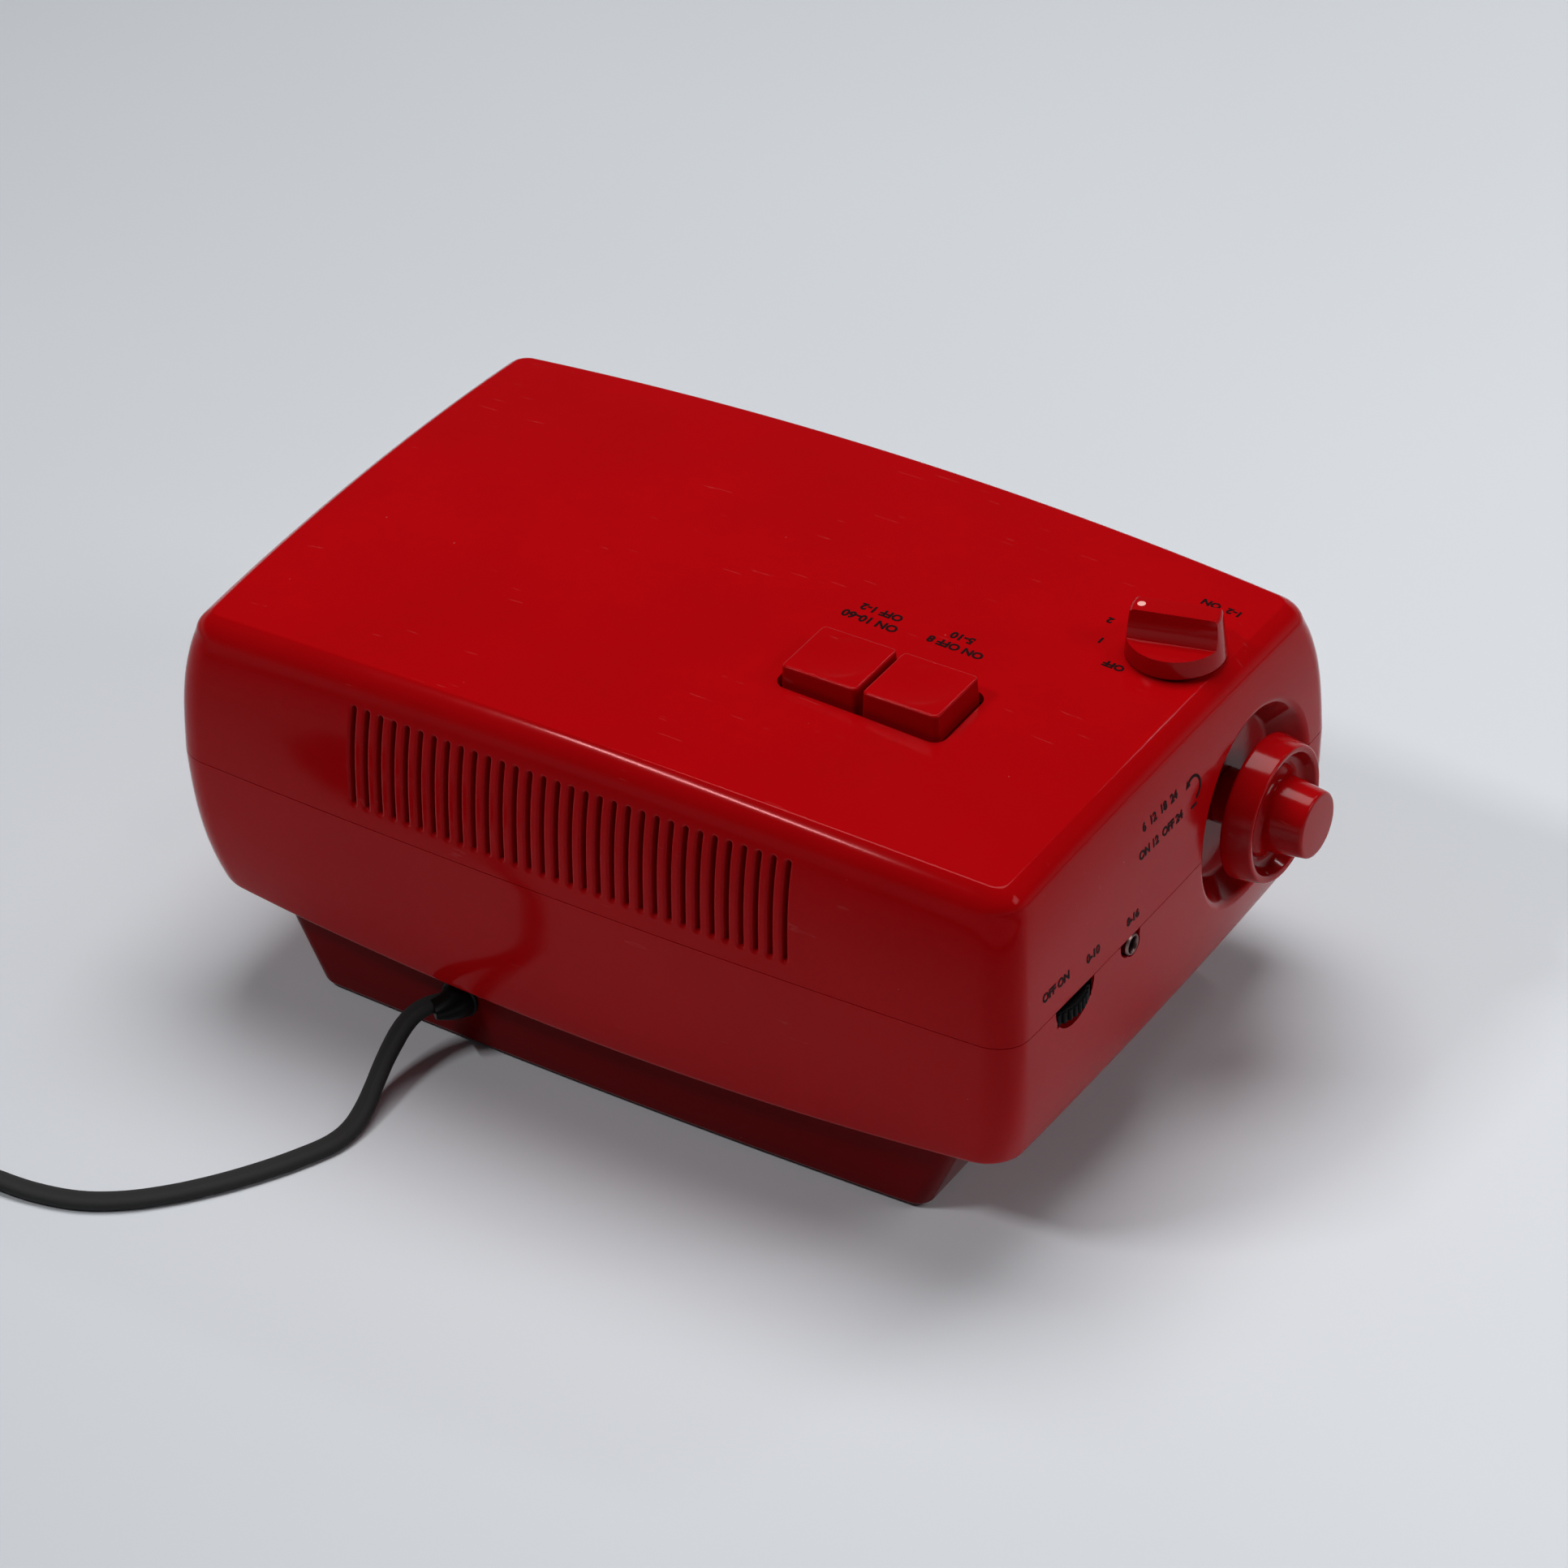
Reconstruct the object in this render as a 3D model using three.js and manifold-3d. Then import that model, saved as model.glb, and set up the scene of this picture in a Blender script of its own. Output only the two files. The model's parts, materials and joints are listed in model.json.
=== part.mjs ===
// A mains flip-clock radio in a glossy two-part case on an inset pedestal, with its works inside.
// Millimetres, +Z up. The front faces -Y, and +X is on the right seen from the front.
// Every piece is modelled where it lies, so each mesh keeps the identity transform.
import * as THREE from 'three';
import { mergeVertices } from 'three/addons/utils/BufferGeometryUtils.js';
import Module from 'manifold-3d';

const wasm = await Module();
wasm.setup();

// ---------------------------------------------------------------- clearances
const GAP = 0.3; // between pieces that rest on or sit in each other
const RUN = 0.25; // all round a shaft in its hole

// ---------------------------------------------------------------- case
const CASE_WIDTH = 240; // at the seam, across the middle of the short sides
const CASE_DEPTH = 158.2; // at the seam, across the middle of the long sides
const END_X = CASE_WIDTH / 2;
const REAR_Y = CASE_DEPTH / 2;
const FRONT_Y = -REAR_Y;
const SEAM_Z = 66.4; // parting plane between the upper and the lower shell
const RIM_Z = 104.1; // corners of the top panel's crease
const UNDER_Z = 27.2; // corners of the underside
const WALL = 2.6;
const CROWN_X = 4.2; // the top rises by this from its ends to its middle
const CROWN_Y = 2.5;
const BELLY_X = 5.6; // the underside sinks by this from its ends to its middle
const BELLY_Y = 0.5;
const BOW_LONG = 2.8; // the long sides bow out by this between their corners
const BOW_SHORT = 1.1;
const RIM_INSET_X = 8.1; // from the seam in to the crease
const RIM_INSET_Y = 10;
const ROLL_WIDTH = 5; // the rounded shoulder under the crease
const ROLL_HEIGHT = 5.5;
const UNDER_INSET_X = 6.6; // from the seam in to the underside
const UNDER_INSET_Y = 5.9;
const UNDER_EDGE = 2;
const CORNER_RADIUS = 9;
const RIM_CORNER_RADIUS = 3.5;
const UPPER_BARREL = 2.9; // exponents of the two walls' barrel curves
const LOWER_BARREL = 2.5;

// ---------------------------------------------------------------- rear vents
const VENT_COUNT = 32;
const VENT_PITCH = 3.94;
const VENT_WIDTH = 1.9;
const VENT_CENTRE_X = 2;
const VENT_LOW_Z = SEAM_Z + 4.8;
const VENT_HIGH_Z = RIM_Z - 8.1;

// ---------------------------------------------------------------- pedestal and feet
const STAND_HALF_X = END_X - 32;
const STAND_HALF_Y = REAR_Y - 12.8;
const STAND_LOW_Z = 0.8;
const STAND_WALL = 2.6;
const STAND_CORNER = 4.5;
const STAND_BOW = 1.6;
const STAND_END_SLOPE = 0.45; // the ends lean out by this much per unit of height
const STAND_SIDE_SLOPE = 0.03;
const FOOT_RADIUS = 7;
const FOOT_SINK = 1.1; // how far a foot's pocket goes up into the pedestal
const FOOT_INSET = 16; // from the pedestal's ends and sides to a foot's axis

// ---------------------------------------------------------------- knobs in the two end wells
const AXIS_Y = FRONT_Y + 42.3; // clock shaft and tuning shaft
const AXIS_Z = SEAM_Z - 1;
const WELL_RADIUS = 26.5;
const WELL_FLOOR_RADIUS = 20.5;
const WELL_DEPTH = 9.4; // from the case's widest point in to the well's floor
const RING_RADIUS = 18.6; // ring-shaped knob at its back
const RING_FACE_RADIUS = 17.2;
const RING_BACK_X = END_X - 0.5; // distances from the middle of the case
const RING_FACE_X = RING_BACK_X + 8;
const RING_DISH_RADIUS = 15.6;
const RING_DISH_DEPTH = 4.2;
const RING_HUB_RADIUS = 7;
const BOSS_RADIUS = 8.4; // inner knob at its end
const BOSS_FLARE_RADIUS = 11.8;
const BOSS_END_X = RING_FACE_X + 8.7;
const BOSS_EDGE = 0.8;
const SHAFT_RADIUS = 2;
const SHAFT_END = 3; // from the inner knobs' end faces to the shafts' ends
const SLEEVE_RADIUS = 3.6;
const SLEEVE_END = 2; // from the ring's back to the sleeve's end

// ---------------------------------------------------------------- mode knob on the top
const MODE_X = -(END_X - 19.1);
const MODE_Y = FRONT_Y + 48.7;
const MODE_RADIUS = 12.3;
const MODE_TOP_RADIUS = 10.9;
const MODE_LEDGE_HEIGHT = 4.8;
const MODE_HEIGHT = 12;
const MODE_GRIP_FOOT = 9; // width of the grip bar where it meets the ledge
const MODE_GRIP_TOP = 5.6;
const MODE_SHAFT_RADIUS = 3;
const MODE_SWITCH_RADIUS = 11;
const MODE_SWITCH_HEIGHT = 8;
const MODE_SHAFT_SINK = 4; // how far the shaft goes down into the switch

// ---------------------------------------------------------------- push keys on the top
const KEYS_X = -(END_X - 69.8); // middle of the pair
const KEYS_Y = REAR_Y - 59.2;
const KEY_PITCH = 22.2;
const KEY_WIDTH = 20.6;
const KEY_DEPTH = 19.2;
const KEY_TOP_Z = RIM_Z + 10.9;
const KEY_BODY = 12.5; // height of a key without its stem
const KEY_DRAFT = 0.5; // each side leans out by this down to the key's foot
const KEY_SLOT_MARGIN = 1.1;
const KEY_SLOT_CORNER = 3.5;
const KEY_DISH_RADIUS = 46;
const KEY_DISH_DEPTH = 0.8;
const KEY_STEM = 7;
const KEY_STEM_LENGTH = 7;
const KEY_TRAVEL = 3.5;
const SWITCH_BLOCK_HEIGHT = 12;
const SWITCH_BLOCK_DEPTH = 18;
const SWITCH_EAR = 3; // thickness and half the width of the block's ears
const SWITCH_POST_RADIUS = 3;

// ---------------------------------------------------------------- volume wheel and earphone jack
const WHEEL_Y = REAR_Y - 30.1;
const WHEEL_RADIUS = 14;
const WHEEL_X = -(END_X - 12.8);
const WHEEL_THICKNESS = 3.4;
const WHEEL_DROP = 1.6; // of its top below the seam
const WHEEL_TEETH = 36;
const WHEEL_NOTCH_RADIUS = 8.5;
const WHEEL_BORE = 3;
const JACK_Y = REAR_Y - 56.4;
const JACK_DROP = 3.3; // of its axis below the seam
const JACK_NOTCH_RADIUS = 4.4;
const JACK_NOTCH_Y = JACK_Y + 1.5; // the notch is cut a little behind and above the ring
const JACK_NOTCH_DROP = 0.9;
const JACK_RING_RADIUS = 2.9;
const JACK_RING = 4.2; // length
const JACK_BORE = 1.8;
const JACK_BODY = 9.6;

// ---------------------------------------------------------------- front
const FRONT_HALF_X = END_X - 16;
const FRONT_LOW_Z = UNDER_Z + 16.8;
const FRONT_HIGH_Z = RIM_Z - 10.1;
const FRONT_PLATE_Y = FRONT_Y + 10.1; // front face of the plate that carries the windows
const FRONT_PLATE = 2.2;
const FRONT_RING = 2.2;
const FRONT_FLANGE = 1.8; // how far the plate reaches behind the case wall
const LENS = 2;
const LENS_MARGIN = 2.5; // how far a lens or the grille overlaps its opening
const DIVIDER_LEFT_X = -(FRONT_HALF_X - 93); // between the clock window and the grille
const DIVIDER_RIGHT_X = FRONT_HALF_X - 34; // between the grille and the dial window
const GRILLE_PITCH = 4;
const GRILLE_SLOT = 2;

// ---------------------------------------------------------------- clock works
const FRAME_LEFT_X = -(END_X - 14.7);
const FRAME_RIGHT_X = FRAME_LEFT_X + 92.8;
const FRAME_PLATE = 1.5;
const FRAME_FRONT_Y = AXIS_Y - 23.2;
const FRAME_BACK_Y = AXIS_Y + 31.8;
const FRAME_LOW_Z = AXIS_Z - 24.4;
const FRAME_HIGH_Z = AXIS_Z + 22.6;
const LEAF_RADIUS = 20; // swept by the leaves of a drum
const DRUM_HUB_RADIUS = 8;
const LEAF = 0.6;
const HOUR_LEAVES = 12;
const MINUTE_LEAVES = 20;
const HOUR_LEFT_X = FRAME_LEFT_X + 15.7;
const HOUR_RIGHT_X = HOUR_LEFT_X + 31.6;
const MINUTE_LEFT_X = HOUR_RIGHT_X + 3.5;
const MINUTE_RIGHT_X = MINUTE_LEFT_X + 32.5;
const LEAF_STOP_Y = AXIS_Y - LEAF_RADIUS - 1.6; // back face of the leaves that show
const LEAF_SHOWN = 0.8;
const LEAF_HEIGHT = 17;
const MASK_BAR = 2;
const ALARM_DRUM_X = FRAME_LEFT_X + 2.8;
const ALARM_DRUM_WIDTH = 4;
const ALARM_DRUM_RADIUS = 17;

const PINION_TEETH = 12;
const CARRY_WHEEL_TEETH = 36;
const CARRY_MODULE = 1;
const HOUR_GEAR_TEETH = 48;
const HOUR_MODULE = 0.8;
const MINUTE_GEAR_TEETH = 36;
const MINUTE_MODULE = 0.8;
const GEAR_WIDTH = 2.2;
const CARRY_GEAR_X = FRAME_LEFT_X + 9.3; // low side of the carry wheel
const HOUR_GEAR_X = CARRY_GEAR_X + 3.3;
const MINUTE_GEAR_X = MINUTE_RIGHT_X + 2.6;
const ARBOR_RADIUS = 1.5;
const MOTOR_ANGLE = -60; // of the motor from the clock shaft, degrees
const MOTOR_RADIUS = 19.5;
const MOTOR_LENGTH = 16;

// ---------------------------------------------------------------- speaker
const SPEAKER_X = (DIVIDER_LEFT_X + DIVIDER_RIGHT_X) / 2;
const SPEAKER_RADIUS = 22.5;
const SPEAKER_FLANGE = 1.6;
const SPEAKER_CAN = 16;
const MAGNET_RADIUS = 14;
const MAGNET_LENGTH = 11;
const CONE = 0.8;

// ---------------------------------------------------------------- tuner
const TUNER_RIGHT_X = END_X - 14;
const TUNER_LEFT_X = TUNER_RIGHT_X - 51;
const TUNER_FRONT_Y = AXIS_Y - 17.2;
const TUNER_BACK_Y = AXIS_Y + 16.8;
const TUNER_LOW_Z = AXIS_Z - 27.9;
const TUNER_HIGH_Z = AXIS_Z + 22.6;
const TUNING_SHAFT_RADIUS = 3;
const DIAL_RIGHT_X = TUNER_RIGHT_X - 4;
const DIAL_LEFT_X = DIAL_RIGHT_X - 25;
const DIAL_RADIUS = 23;
const ROTOR_PLATES = 5;
const ROTOR_PITCH = 3;
const ROTOR_PLATE = 0.9;
const ROTOR_RADIUS = 12.5;
const ROTOR_HUB_RADIUS = 4.5;
const ROTOR_X = TUNER_LEFT_X + 4.5; // low side of the first moving plate

// ---------------------------------------------------------------- electronics
const CORE_WIDTH = 46;
const CORE_X = END_X - 40;
const BOARD_LEFT_X = -(END_X - 8);
const BOARD_RIGHT_X = CORE_X - CORE_WIDTH / 2 - 7;
const BOARD_BACK_Y = REAR_Y - 17.6;
const BOARD_FRONT_Y = BOARD_BACK_Y - 53.5;
const BOARD = 1.6;
const BOARD_TOP_Z = SEAM_Z - 11;
// The cans' x and y are counted from the board's left front corner.
const COIL_CAN = { size: 8, height: 11, count: 4, pitch: 18, x: 40, y: 6 };
const CAPACITORS = [
  { x: BOARD_RIGHT_X - 40, y: BOARD_FRONT_Y + 14, radius: 6.5, height: 24 },
  { x: BOARD_RIGHT_X - 22, y: BOARD_FRONT_Y + 14, radius: 6.5, height: 24 },
  { x: BOARD_RIGHT_X - 10, y: BOARD_FRONT_Y + 36, radius: 5, height: 16 },
  { x: BOARD_LEFT_X + 28, y: BOARD_FRONT_Y + 28, radius: 4, height: 12 },
];
const ROD_RADIUS = 4.5;
const ROD_LENGTH = 90;
const ROD_Y = BOARD_BACK_Y - 8.5;
const ROD_LIFT = 12; // of the aerial rod's axis above the board
const CORE_Y = REAR_Y - 47.1;
const CORE_HEIGHT = 38;
const CORE_DEPTH = 20;
const CORE_LEG = 8;
const WINDING_DEPTH = 32;

// ---------------------------------------------------------------- screws and posts
const SCREW_FRONT_X = END_X - 12.5;
const SCREW_BACK_X = END_X - 16;
const SCREW_FRONT_Y = FRONT_Y + 15.9;
const SCREW_BACK_Y = REAR_Y - 12.9;
const POST_RADIUS = 3.2;
const SCREW_HEAD_RADIUS = 2.3;
const SCREW_HEAD = 2.2;
const SCREW_RADIUS = 1.2;
const SCREW_LENGTH = 14;
const SCREW_WEB = 2;
const SCREW_WEB_TOP_Z = 56;
const SUPPORT_RADIUS = 3.2;

// ---------------------------------------------------------------- cord and plug
const CORD_WIDTH = 5.6;
const CORD_THICKNESS = 2.8;
const CORD_Z = 1.75; // centre of the flat cord on the floor
const CORD_STEP = 14;
const COIL_X = 140;
const COIL_Y = 136.1; // from the pedestal's rear face, as the route is
const COIL_INNER = 21.5;
const COIL_OUTER = 36.7;
const COIL_HEIGHT = 12;
const COIL_LOW_Z = 0.1;
const PLUG_X = 185.2;
const PLUG_START_Y = 155.3;
const PLUG_Z = 7.2; // of its middle
const PLUG_LENGTH = 22;
const PLUG_WIDTH = 24;
const PLUG_HEIGHT = 14;
const PLUG_NOSE = 12; // tapered strain relief of the plug
const BLADE_SPACING = 12.7;
const BLADE_WIDTH = 6.3;
const BLADE = 1.5;
const BLADE_LENGTH = 16;
const BLADE_ROOT = 6;
const GLAND_X = 43;
const GLAND_Z = 14.5;
const GLAND_RADIUS = 4.6;
const GLAND_FLANGE_RADIUS = 6;
const GLAND_FLANGE = 1.6;
const GLAND_TAIL = 12; // inside the pedestal
const GLAND_NOSE = 7; // tapered and bent aside by the cord's pull
const GLAND_BEND = -36; // degrees

// The cord's route, chosen by hand: out of the pedestal's back, down to the floor and away to its coil.
// x and z are in the model's frame, and y is counted from the pedestal's rear face at the gland.
const CORD_ROUTE = [
  [48.2, 6.9, 14.4],
  [50, 10.2, 13.4],
  [50.9, 14.1, 11.6],
  [50.9, 18.6, 9.3],
  [50.3, 23.6, 7.1],
  [49.1, 29.1, 5],
  [47.6, 35.6, 3],
  [46.7, 42.1, 1.95],
  [47.4, 49.1, CORD_Z],
  [51.3, 58.1, CORD_Z],
  [56.5, 67.1, CORD_Z],
  [62.8, 76.1, CORD_Z],
  [70, 84.5, CORD_Z],
  [78, 91.7, CORD_Z],
  [87, 97, CORD_Z],
  [98, 100, CORD_Z],
  [109, 101, CORD_Z],
  [121, 101.1, CORD_Z],
];
// From the coil's top layer to the plug.
const TAIL_ROUTE = [
  [179.8, 135, 8.3],
  [183.7, 144.3, 7.8],
  [PLUG_X, PLUG_START_Y - 2 * GAP, PLUG_Z],
];

// ================================================================ materials
function finish(color, roughness, metalness = 0) {
  return new THREE.MeshStandardMaterial({ color, roughness, metalness });
}

const RED = finish(0xa80b0e, 0.2);
const BLACK = finish(0x0c0c0d, 0.35);
const CLEAR = finish(0xd8dde0, 0.08);
const LEAF_BLACK = finish(0x121212, 0.6);
const STEEL = finish(0x9c9ea1, 0.35, 1);
const BRASS = finish(0xb08a3e, 0.35, 1);
const NYLON = finish(0xdcd7c6, 0.55);
const PAPER = finish(0x2c2926, 0.9);
const FERRITE = finish(0x1f1c1b, 0.7);
const BOARD_TAN = finish(0x8a5a26, 0.6);
const COPPER = finish(0xa4572a, 0.4, 1);
const RUBBER = finish(0x161616, 0.85);
const CORD_BLACK = finish(0x0a0b0b, 0.3);

// ================================================================ solids
/** The manifold of a closed three.js geometry. */
function solid(geometry) {
  const bare = geometry.clone();
  for (const name of Object.keys(bare.attributes)) {
    if (name !== 'position') {
      bare.deleteAttribute(name);
    }
  }
  const merged = mergeVertices(bare, 1e-4);
  const corners = merged.index.array;
  const kept = [];
  for (let i = 0; i < corners.length; i += 3) {
    const [a, b, c] = corners.slice(i, i + 3);
    if (a !== b && b !== c && c !== a) {
      kept.push(a, b, c);
    }
  }
  const faces = facingOut(merged.attributes.position.array, kept);
  const mesh = new wasm.Mesh({
    numProp: 3,
    vertProperties: new Float32Array(merged.attributes.position.array),
    triVerts: new Uint32Array(faces),
  });
  return new wasm.Manifold(mesh);
}

/** The same triangles, turned round if they enclose a negative volume. */
function facingOut(points, faces) {
  const corner = (i) => new THREE.Vector3().fromArray(points, 3 * faces[i]);
  let volume = 0;
  for (let i = 0; i < faces.length; i += 3) {
    volume += corner(i).dot(corner(i + 1).cross(corner(i + 2)));
  }
  return volume < 0 ? faces.toReversed() : faces;
}

/** A named mesh of a solid. */
function piece(name, body, material) {
  const mesh = body.getMesh();
  const geometry = new THREE.BufferGeometry();
  geometry.setAttribute('position', new THREE.BufferAttribute(mesh.vertProperties, 3));
  geometry.setIndex(new THREE.BufferAttribute(mesh.triVerts, 1));
  geometry.computeVertexNormals();
  const result = new THREE.Mesh(geometry, material.clone());
  result.name = name;
  return result;
}

function box(x0, x1, y0, y1, z0, z1) {
  const geometry = new THREE.BoxGeometry(x1 - x0, y1 - y0, z1 - z0);
  geometry.translate((x0 + x1) / 2, (y0 + y1) / 2, (z0 + z1) / 2);
  return solid(geometry);
}

/** Turns a geometry made along +Y to lie along X, Y or Z, through the point (a, b) of the plane across it. */
function along(geometry, axis, a, b) {
  if (axis === 'x') {
    geometry.rotateZ(-Math.PI / 2);
    geometry.translate(0, a, b);
  } else if (axis === 'y') {
    geometry.translate(a, 0, b);
  } else {
    geometry.rotateX(Math.PI / 2);
    geometry.translate(a, b, 0);
  }
  return geometry;
}

/** A round bar along an axis, from one place on it to another, through the point (a, b). */
function rod(axis, from, to, a, b, radius, endRadius = radius, sides = 24) {
  const geometry = new THREE.CylinderGeometry(endRadius, radius, to - from, sides);
  geometry.translate(0, (from + to) / 2, 0);
  return solid(along(geometry, axis, a, b));
}

/** A turned piece: profile holds [radius, place along the axis] pairs and starts and ends on the axis. */
function turned(axis, profile, a, b, sides = 30) {
  const points = profile.map(([radius, place]) => new THREE.Vector2(radius, place));
  return solid(along(new THREE.LatheGeometry(points, sides), axis, a, b));
}

/** A flat shape, drawn in the plane across an axis, made solid from one place on the axis to another. */
function prism(axis, shape, from, to) {
  const settings = { depth: to - from, bevelEnabled: false, curveSegments: 4 };
  const geometry = new THREE.ExtrudeGeometry(shape, settings);
  geometry.translate(0, 0, from);
  if (axis === 'x') {
    geometry.rotateX(Math.PI / 2);
    geometry.rotateZ(Math.PI / 2);
  }
  return solid(geometry);
}

function roundedRectangle(x, y, halfX, halfY, radius) {
  const shape = new THREE.Shape();
  shape.moveTo(x - halfX + radius, y - halfY);
  shape.absarc(x + halfX - radius, y - halfY + radius, radius, -Math.PI / 2, 0);
  shape.absarc(x + halfX - radius, y + halfY - radius, radius, 0, Math.PI / 2);
  shape.absarc(x - halfX + radius, y + halfY - radius, radius, Math.PI / 2, Math.PI);
  shape.absarc(x - halfX + radius, y - halfY + radius, radius, Math.PI, 1.5 * Math.PI);
  return shape;
}

function joined(bodies) {
  return bodies.reduce((whole, body) => whole.add(body));
}

/** The same piece on the other side of the case. */
function mirrored(body) {
  return body.mirror([1, 0, 0]);
}

// ================================================================ barrel-sided forms
const CORNER_STEPS = 2;
const LONG_STEPS = 8;
const SHORT_STEPS = 6;

/**
 * A point of a rounded rectangle with bowed sides. (s, t) runs round the edge of the square from -1 to 1.
 * level holds the half sizes, the corner radius and the bow of each pair of sides.
 */
function outlinePoint(s, t, level) {
  const onEnd = Math.abs(s) >= Math.abs(t);
  const run = onEnd ? Math.abs(t) : Math.abs(s);
  const steps = (onEnd ? SHORT_STEPS : LONG_STEPS) / 2;
  const straight = 1 - CORNER_STEPS / steps;
  const half = onEnd ? level.halfY : level.halfX;
  let x = onEnd ? level.halfX : (run / straight) * (half - level.radius);
  let y = onEnd ? (run / straight) * (half - level.radius) : level.halfY;
  if (run > straight) {
    const eighth = ((run - straight) / (1 - straight)) * (Math.PI / 4);
    const angle = onEnd ? eighth : Math.PI / 2 - eighth;
    x = level.halfX - level.radius + level.radius * Math.cos(angle);
    y = level.halfY - level.radius + level.radius * Math.sin(angle);
  }
  const shareX = x / level.halfX;
  const shareY = y / level.halfY;
  const bowedX = x - level.bowShort * shareY ** 2 * shareX ** 6;
  const bowedY = y - level.bowLong * shareX ** 2 * shareY ** 6;
  return [Math.sign(s) * bowedX, Math.sign(t) * bowedY];
}

/**
 * A closed form with an outline of its own at each level from its underside to its top.
 * It is a gridded box whose points are moved out to the outlines; levels[k].lift(x, y) domes a level.
 */
function barrel(levels) {
  const rows = levels.length - 1;
  const geometry = new THREE.BoxGeometry(2, 2, 2, LONG_STEPS, SHORT_STEPS, rows);
  const points = geometry.attributes.position;
  for (let i = 0; i < points.count; i += 1) {
    const s = points.getX(i);
    const t = points.getY(i);
    const level = levels[Math.round(((points.getZ(i) + 1) / 2) * rows)];
    const reach = Math.max(Math.abs(s), Math.abs(t));
    const [x, y] = reach < 1e-6 ? [0, 0] : outlinePoint(s / reach, t / reach, level);
    points.setXYZ(i, x * reach, y * reach, level.z + level.lift(x * reach, y * reach, level));
  }
  return solid(geometry);
}

const CROWN = [CROWN_X, CROWN_Y];
const BELLY = [-BELLY_X, -BELLY_Y];

/**
 * One level of the case, pulled in by shrink. rise holds the dome's height along X and Y, and share is how
 * much of it this level has, from 0 at the seam to 1 at the top or the underside.
 */
function caseLevel([insetX, insetY], z, radius, [riseX, riseY], share, shrink) {
  return {
    halfX: CASE_WIDTH / 2 - insetX - shrink,
    halfY: CASE_DEPTH / 2 - insetY - shrink,
    z,
    radius: Math.max(radius - shrink, 1),
    bowLong: BOW_LONG,
    bowShort: BOW_SHORT,
    lift: (x, y, level) =>
      share * (riseX * (1 - (x / level.halfX) ** 2) + riseY * (1 - (y / level.halfY) ** 2)),
  };
}

/** The case's outer form pulled in by shrink, as levels from the underside to the top. */
function caseLevels(shrink) {
  const levels = [];
  const edgeSteps = 1;
  const lowerSteps = 2;
  const upperSteps = 3;
  const rollSteps = 3;
  const low = UNDER_Z + shrink;
  const high = RIM_Z - shrink;
  for (let k = 0; k < edgeSteps; k += 1) {
    const angle = (Math.PI / 2) * (1 - k / edgeSteps);
    const inset = UNDER_EDGE * (1 - Math.cos(angle)) - UNDER_EDGE;
    const z = low + UNDER_EDGE * (1 - Math.sin(angle));
    const insets = [UNDER_INSET_X + inset, UNDER_INSET_Y + inset];
    levels.push(caseLevel(insets, z, CORNER_RADIUS, BELLY, 1, shrink));
  }
  for (let k = lowerSteps; k > 0; k -= 1) {
    const share = k / lowerSteps;
    const curve = share ** LOWER_BARREL;
    const z = SEAM_Z + (low + UNDER_EDGE - SEAM_Z) * share;
    const insets = [(UNDER_INSET_X - UNDER_EDGE) * curve, (UNDER_INSET_Y - UNDER_EDGE) * curve];
    levels.push(caseLevel(insets, z, CORNER_RADIUS, BELLY, share, shrink));
  }
  for (let k = 0; k <= upperSteps; k += 1) {
    const share = k / upperSteps;
    const curve = share ** UPPER_BARREL;
    const z = SEAM_Z + (high - ROLL_HEIGHT - SEAM_Z) * share;
    const insets = [(RIM_INSET_X - ROLL_WIDTH) * curve, (RIM_INSET_Y - ROLL_WIDTH) * curve];
    levels.push(caseLevel(insets, z, CORNER_RADIUS, CROWN, share, shrink));
  }
  for (let k = 1; k <= rollSteps; k += 1) {
    const angle = (Math.PI / 2) * (k / rollSteps);
    const inset = -ROLL_WIDTH * Math.cos(angle);
    const radius = CORNER_RADIUS + ((RIM_CORNER_RADIUS - CORNER_RADIUS) * k) / rollSteps;
    const z = high - ROLL_HEIGHT * (1 - Math.sin(angle));
    levels.push(caseLevel([RIM_INSET_X + inset, RIM_INSET_Y + inset], z, radius, CROWN, 1, shrink));
  }
  return levels;
}

/** Height of the case's top panel over a point. */
function topZ(x, y) {
  const halfX = CASE_WIDTH / 2 - RIM_INSET_X;
  const halfY = CASE_DEPTH / 2 - RIM_INSET_Y;
  return RIM_Z + CROWN_X * (1 - (x / halfX) ** 2) + CROWN_Y * (1 - (y / halfY) ** 2);
}

/** Height of the inside of the case's floor over a point. */
function floorZ(x, y) {
  const halfX = CASE_WIDTH / 2 - UNDER_INSET_X;
  const halfY = CASE_DEPTH / 2 - UNDER_INSET_Y;
  return UNDER_Z + WALL - BELLY_X * (1 - (x / halfX) ** 2) - BELLY_Y * (1 - (y / halfY) ** 2);
}

const caseOutside = barrel(caseLevels(0));
const caseInside = barrel(caseLevels(WALL));
const FAR = 500; // beyond every piece

// ================================================================ the two shells
const wellFloorX = CASE_WIDTH / 2 - WELL_DEPTH;
const wheelTopZ = SEAM_Z - WHEEL_DROP;
const wheelLowZ = wheelTopZ - WHEEL_THICKNESS;
const screwPlaces = [-1, 1].flatMap((side) => [
  { name: side < 0 ? 'left' : 'right', end: 'front', x: side * SCREW_FRONT_X, y: SCREW_FRONT_Y },
  { name: side < 0 ? 'left' : 'right', end: 'rear', x: side * SCREW_BACK_X, y: SCREW_BACK_Y },
]);

/** The room in front of the well's floor on the +X side, widening to the outside. */
function wellRoom(grow) {
  const slope = (WELL_RADIUS - WELL_FLOOR_RADIUS) / WELL_DEPTH;
  const low = wellFloorX - grow;
  const high = CASE_WIDTH / 2 + WALL;
  const wide = WELL_FLOOR_RADIUS + slope * (high - wellFloorX);
  return rod('x', low, high, AXIS_Y, AXIS_Z, WELL_FLOOR_RADIUS + grow, wide + grow, 30);
}

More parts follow.
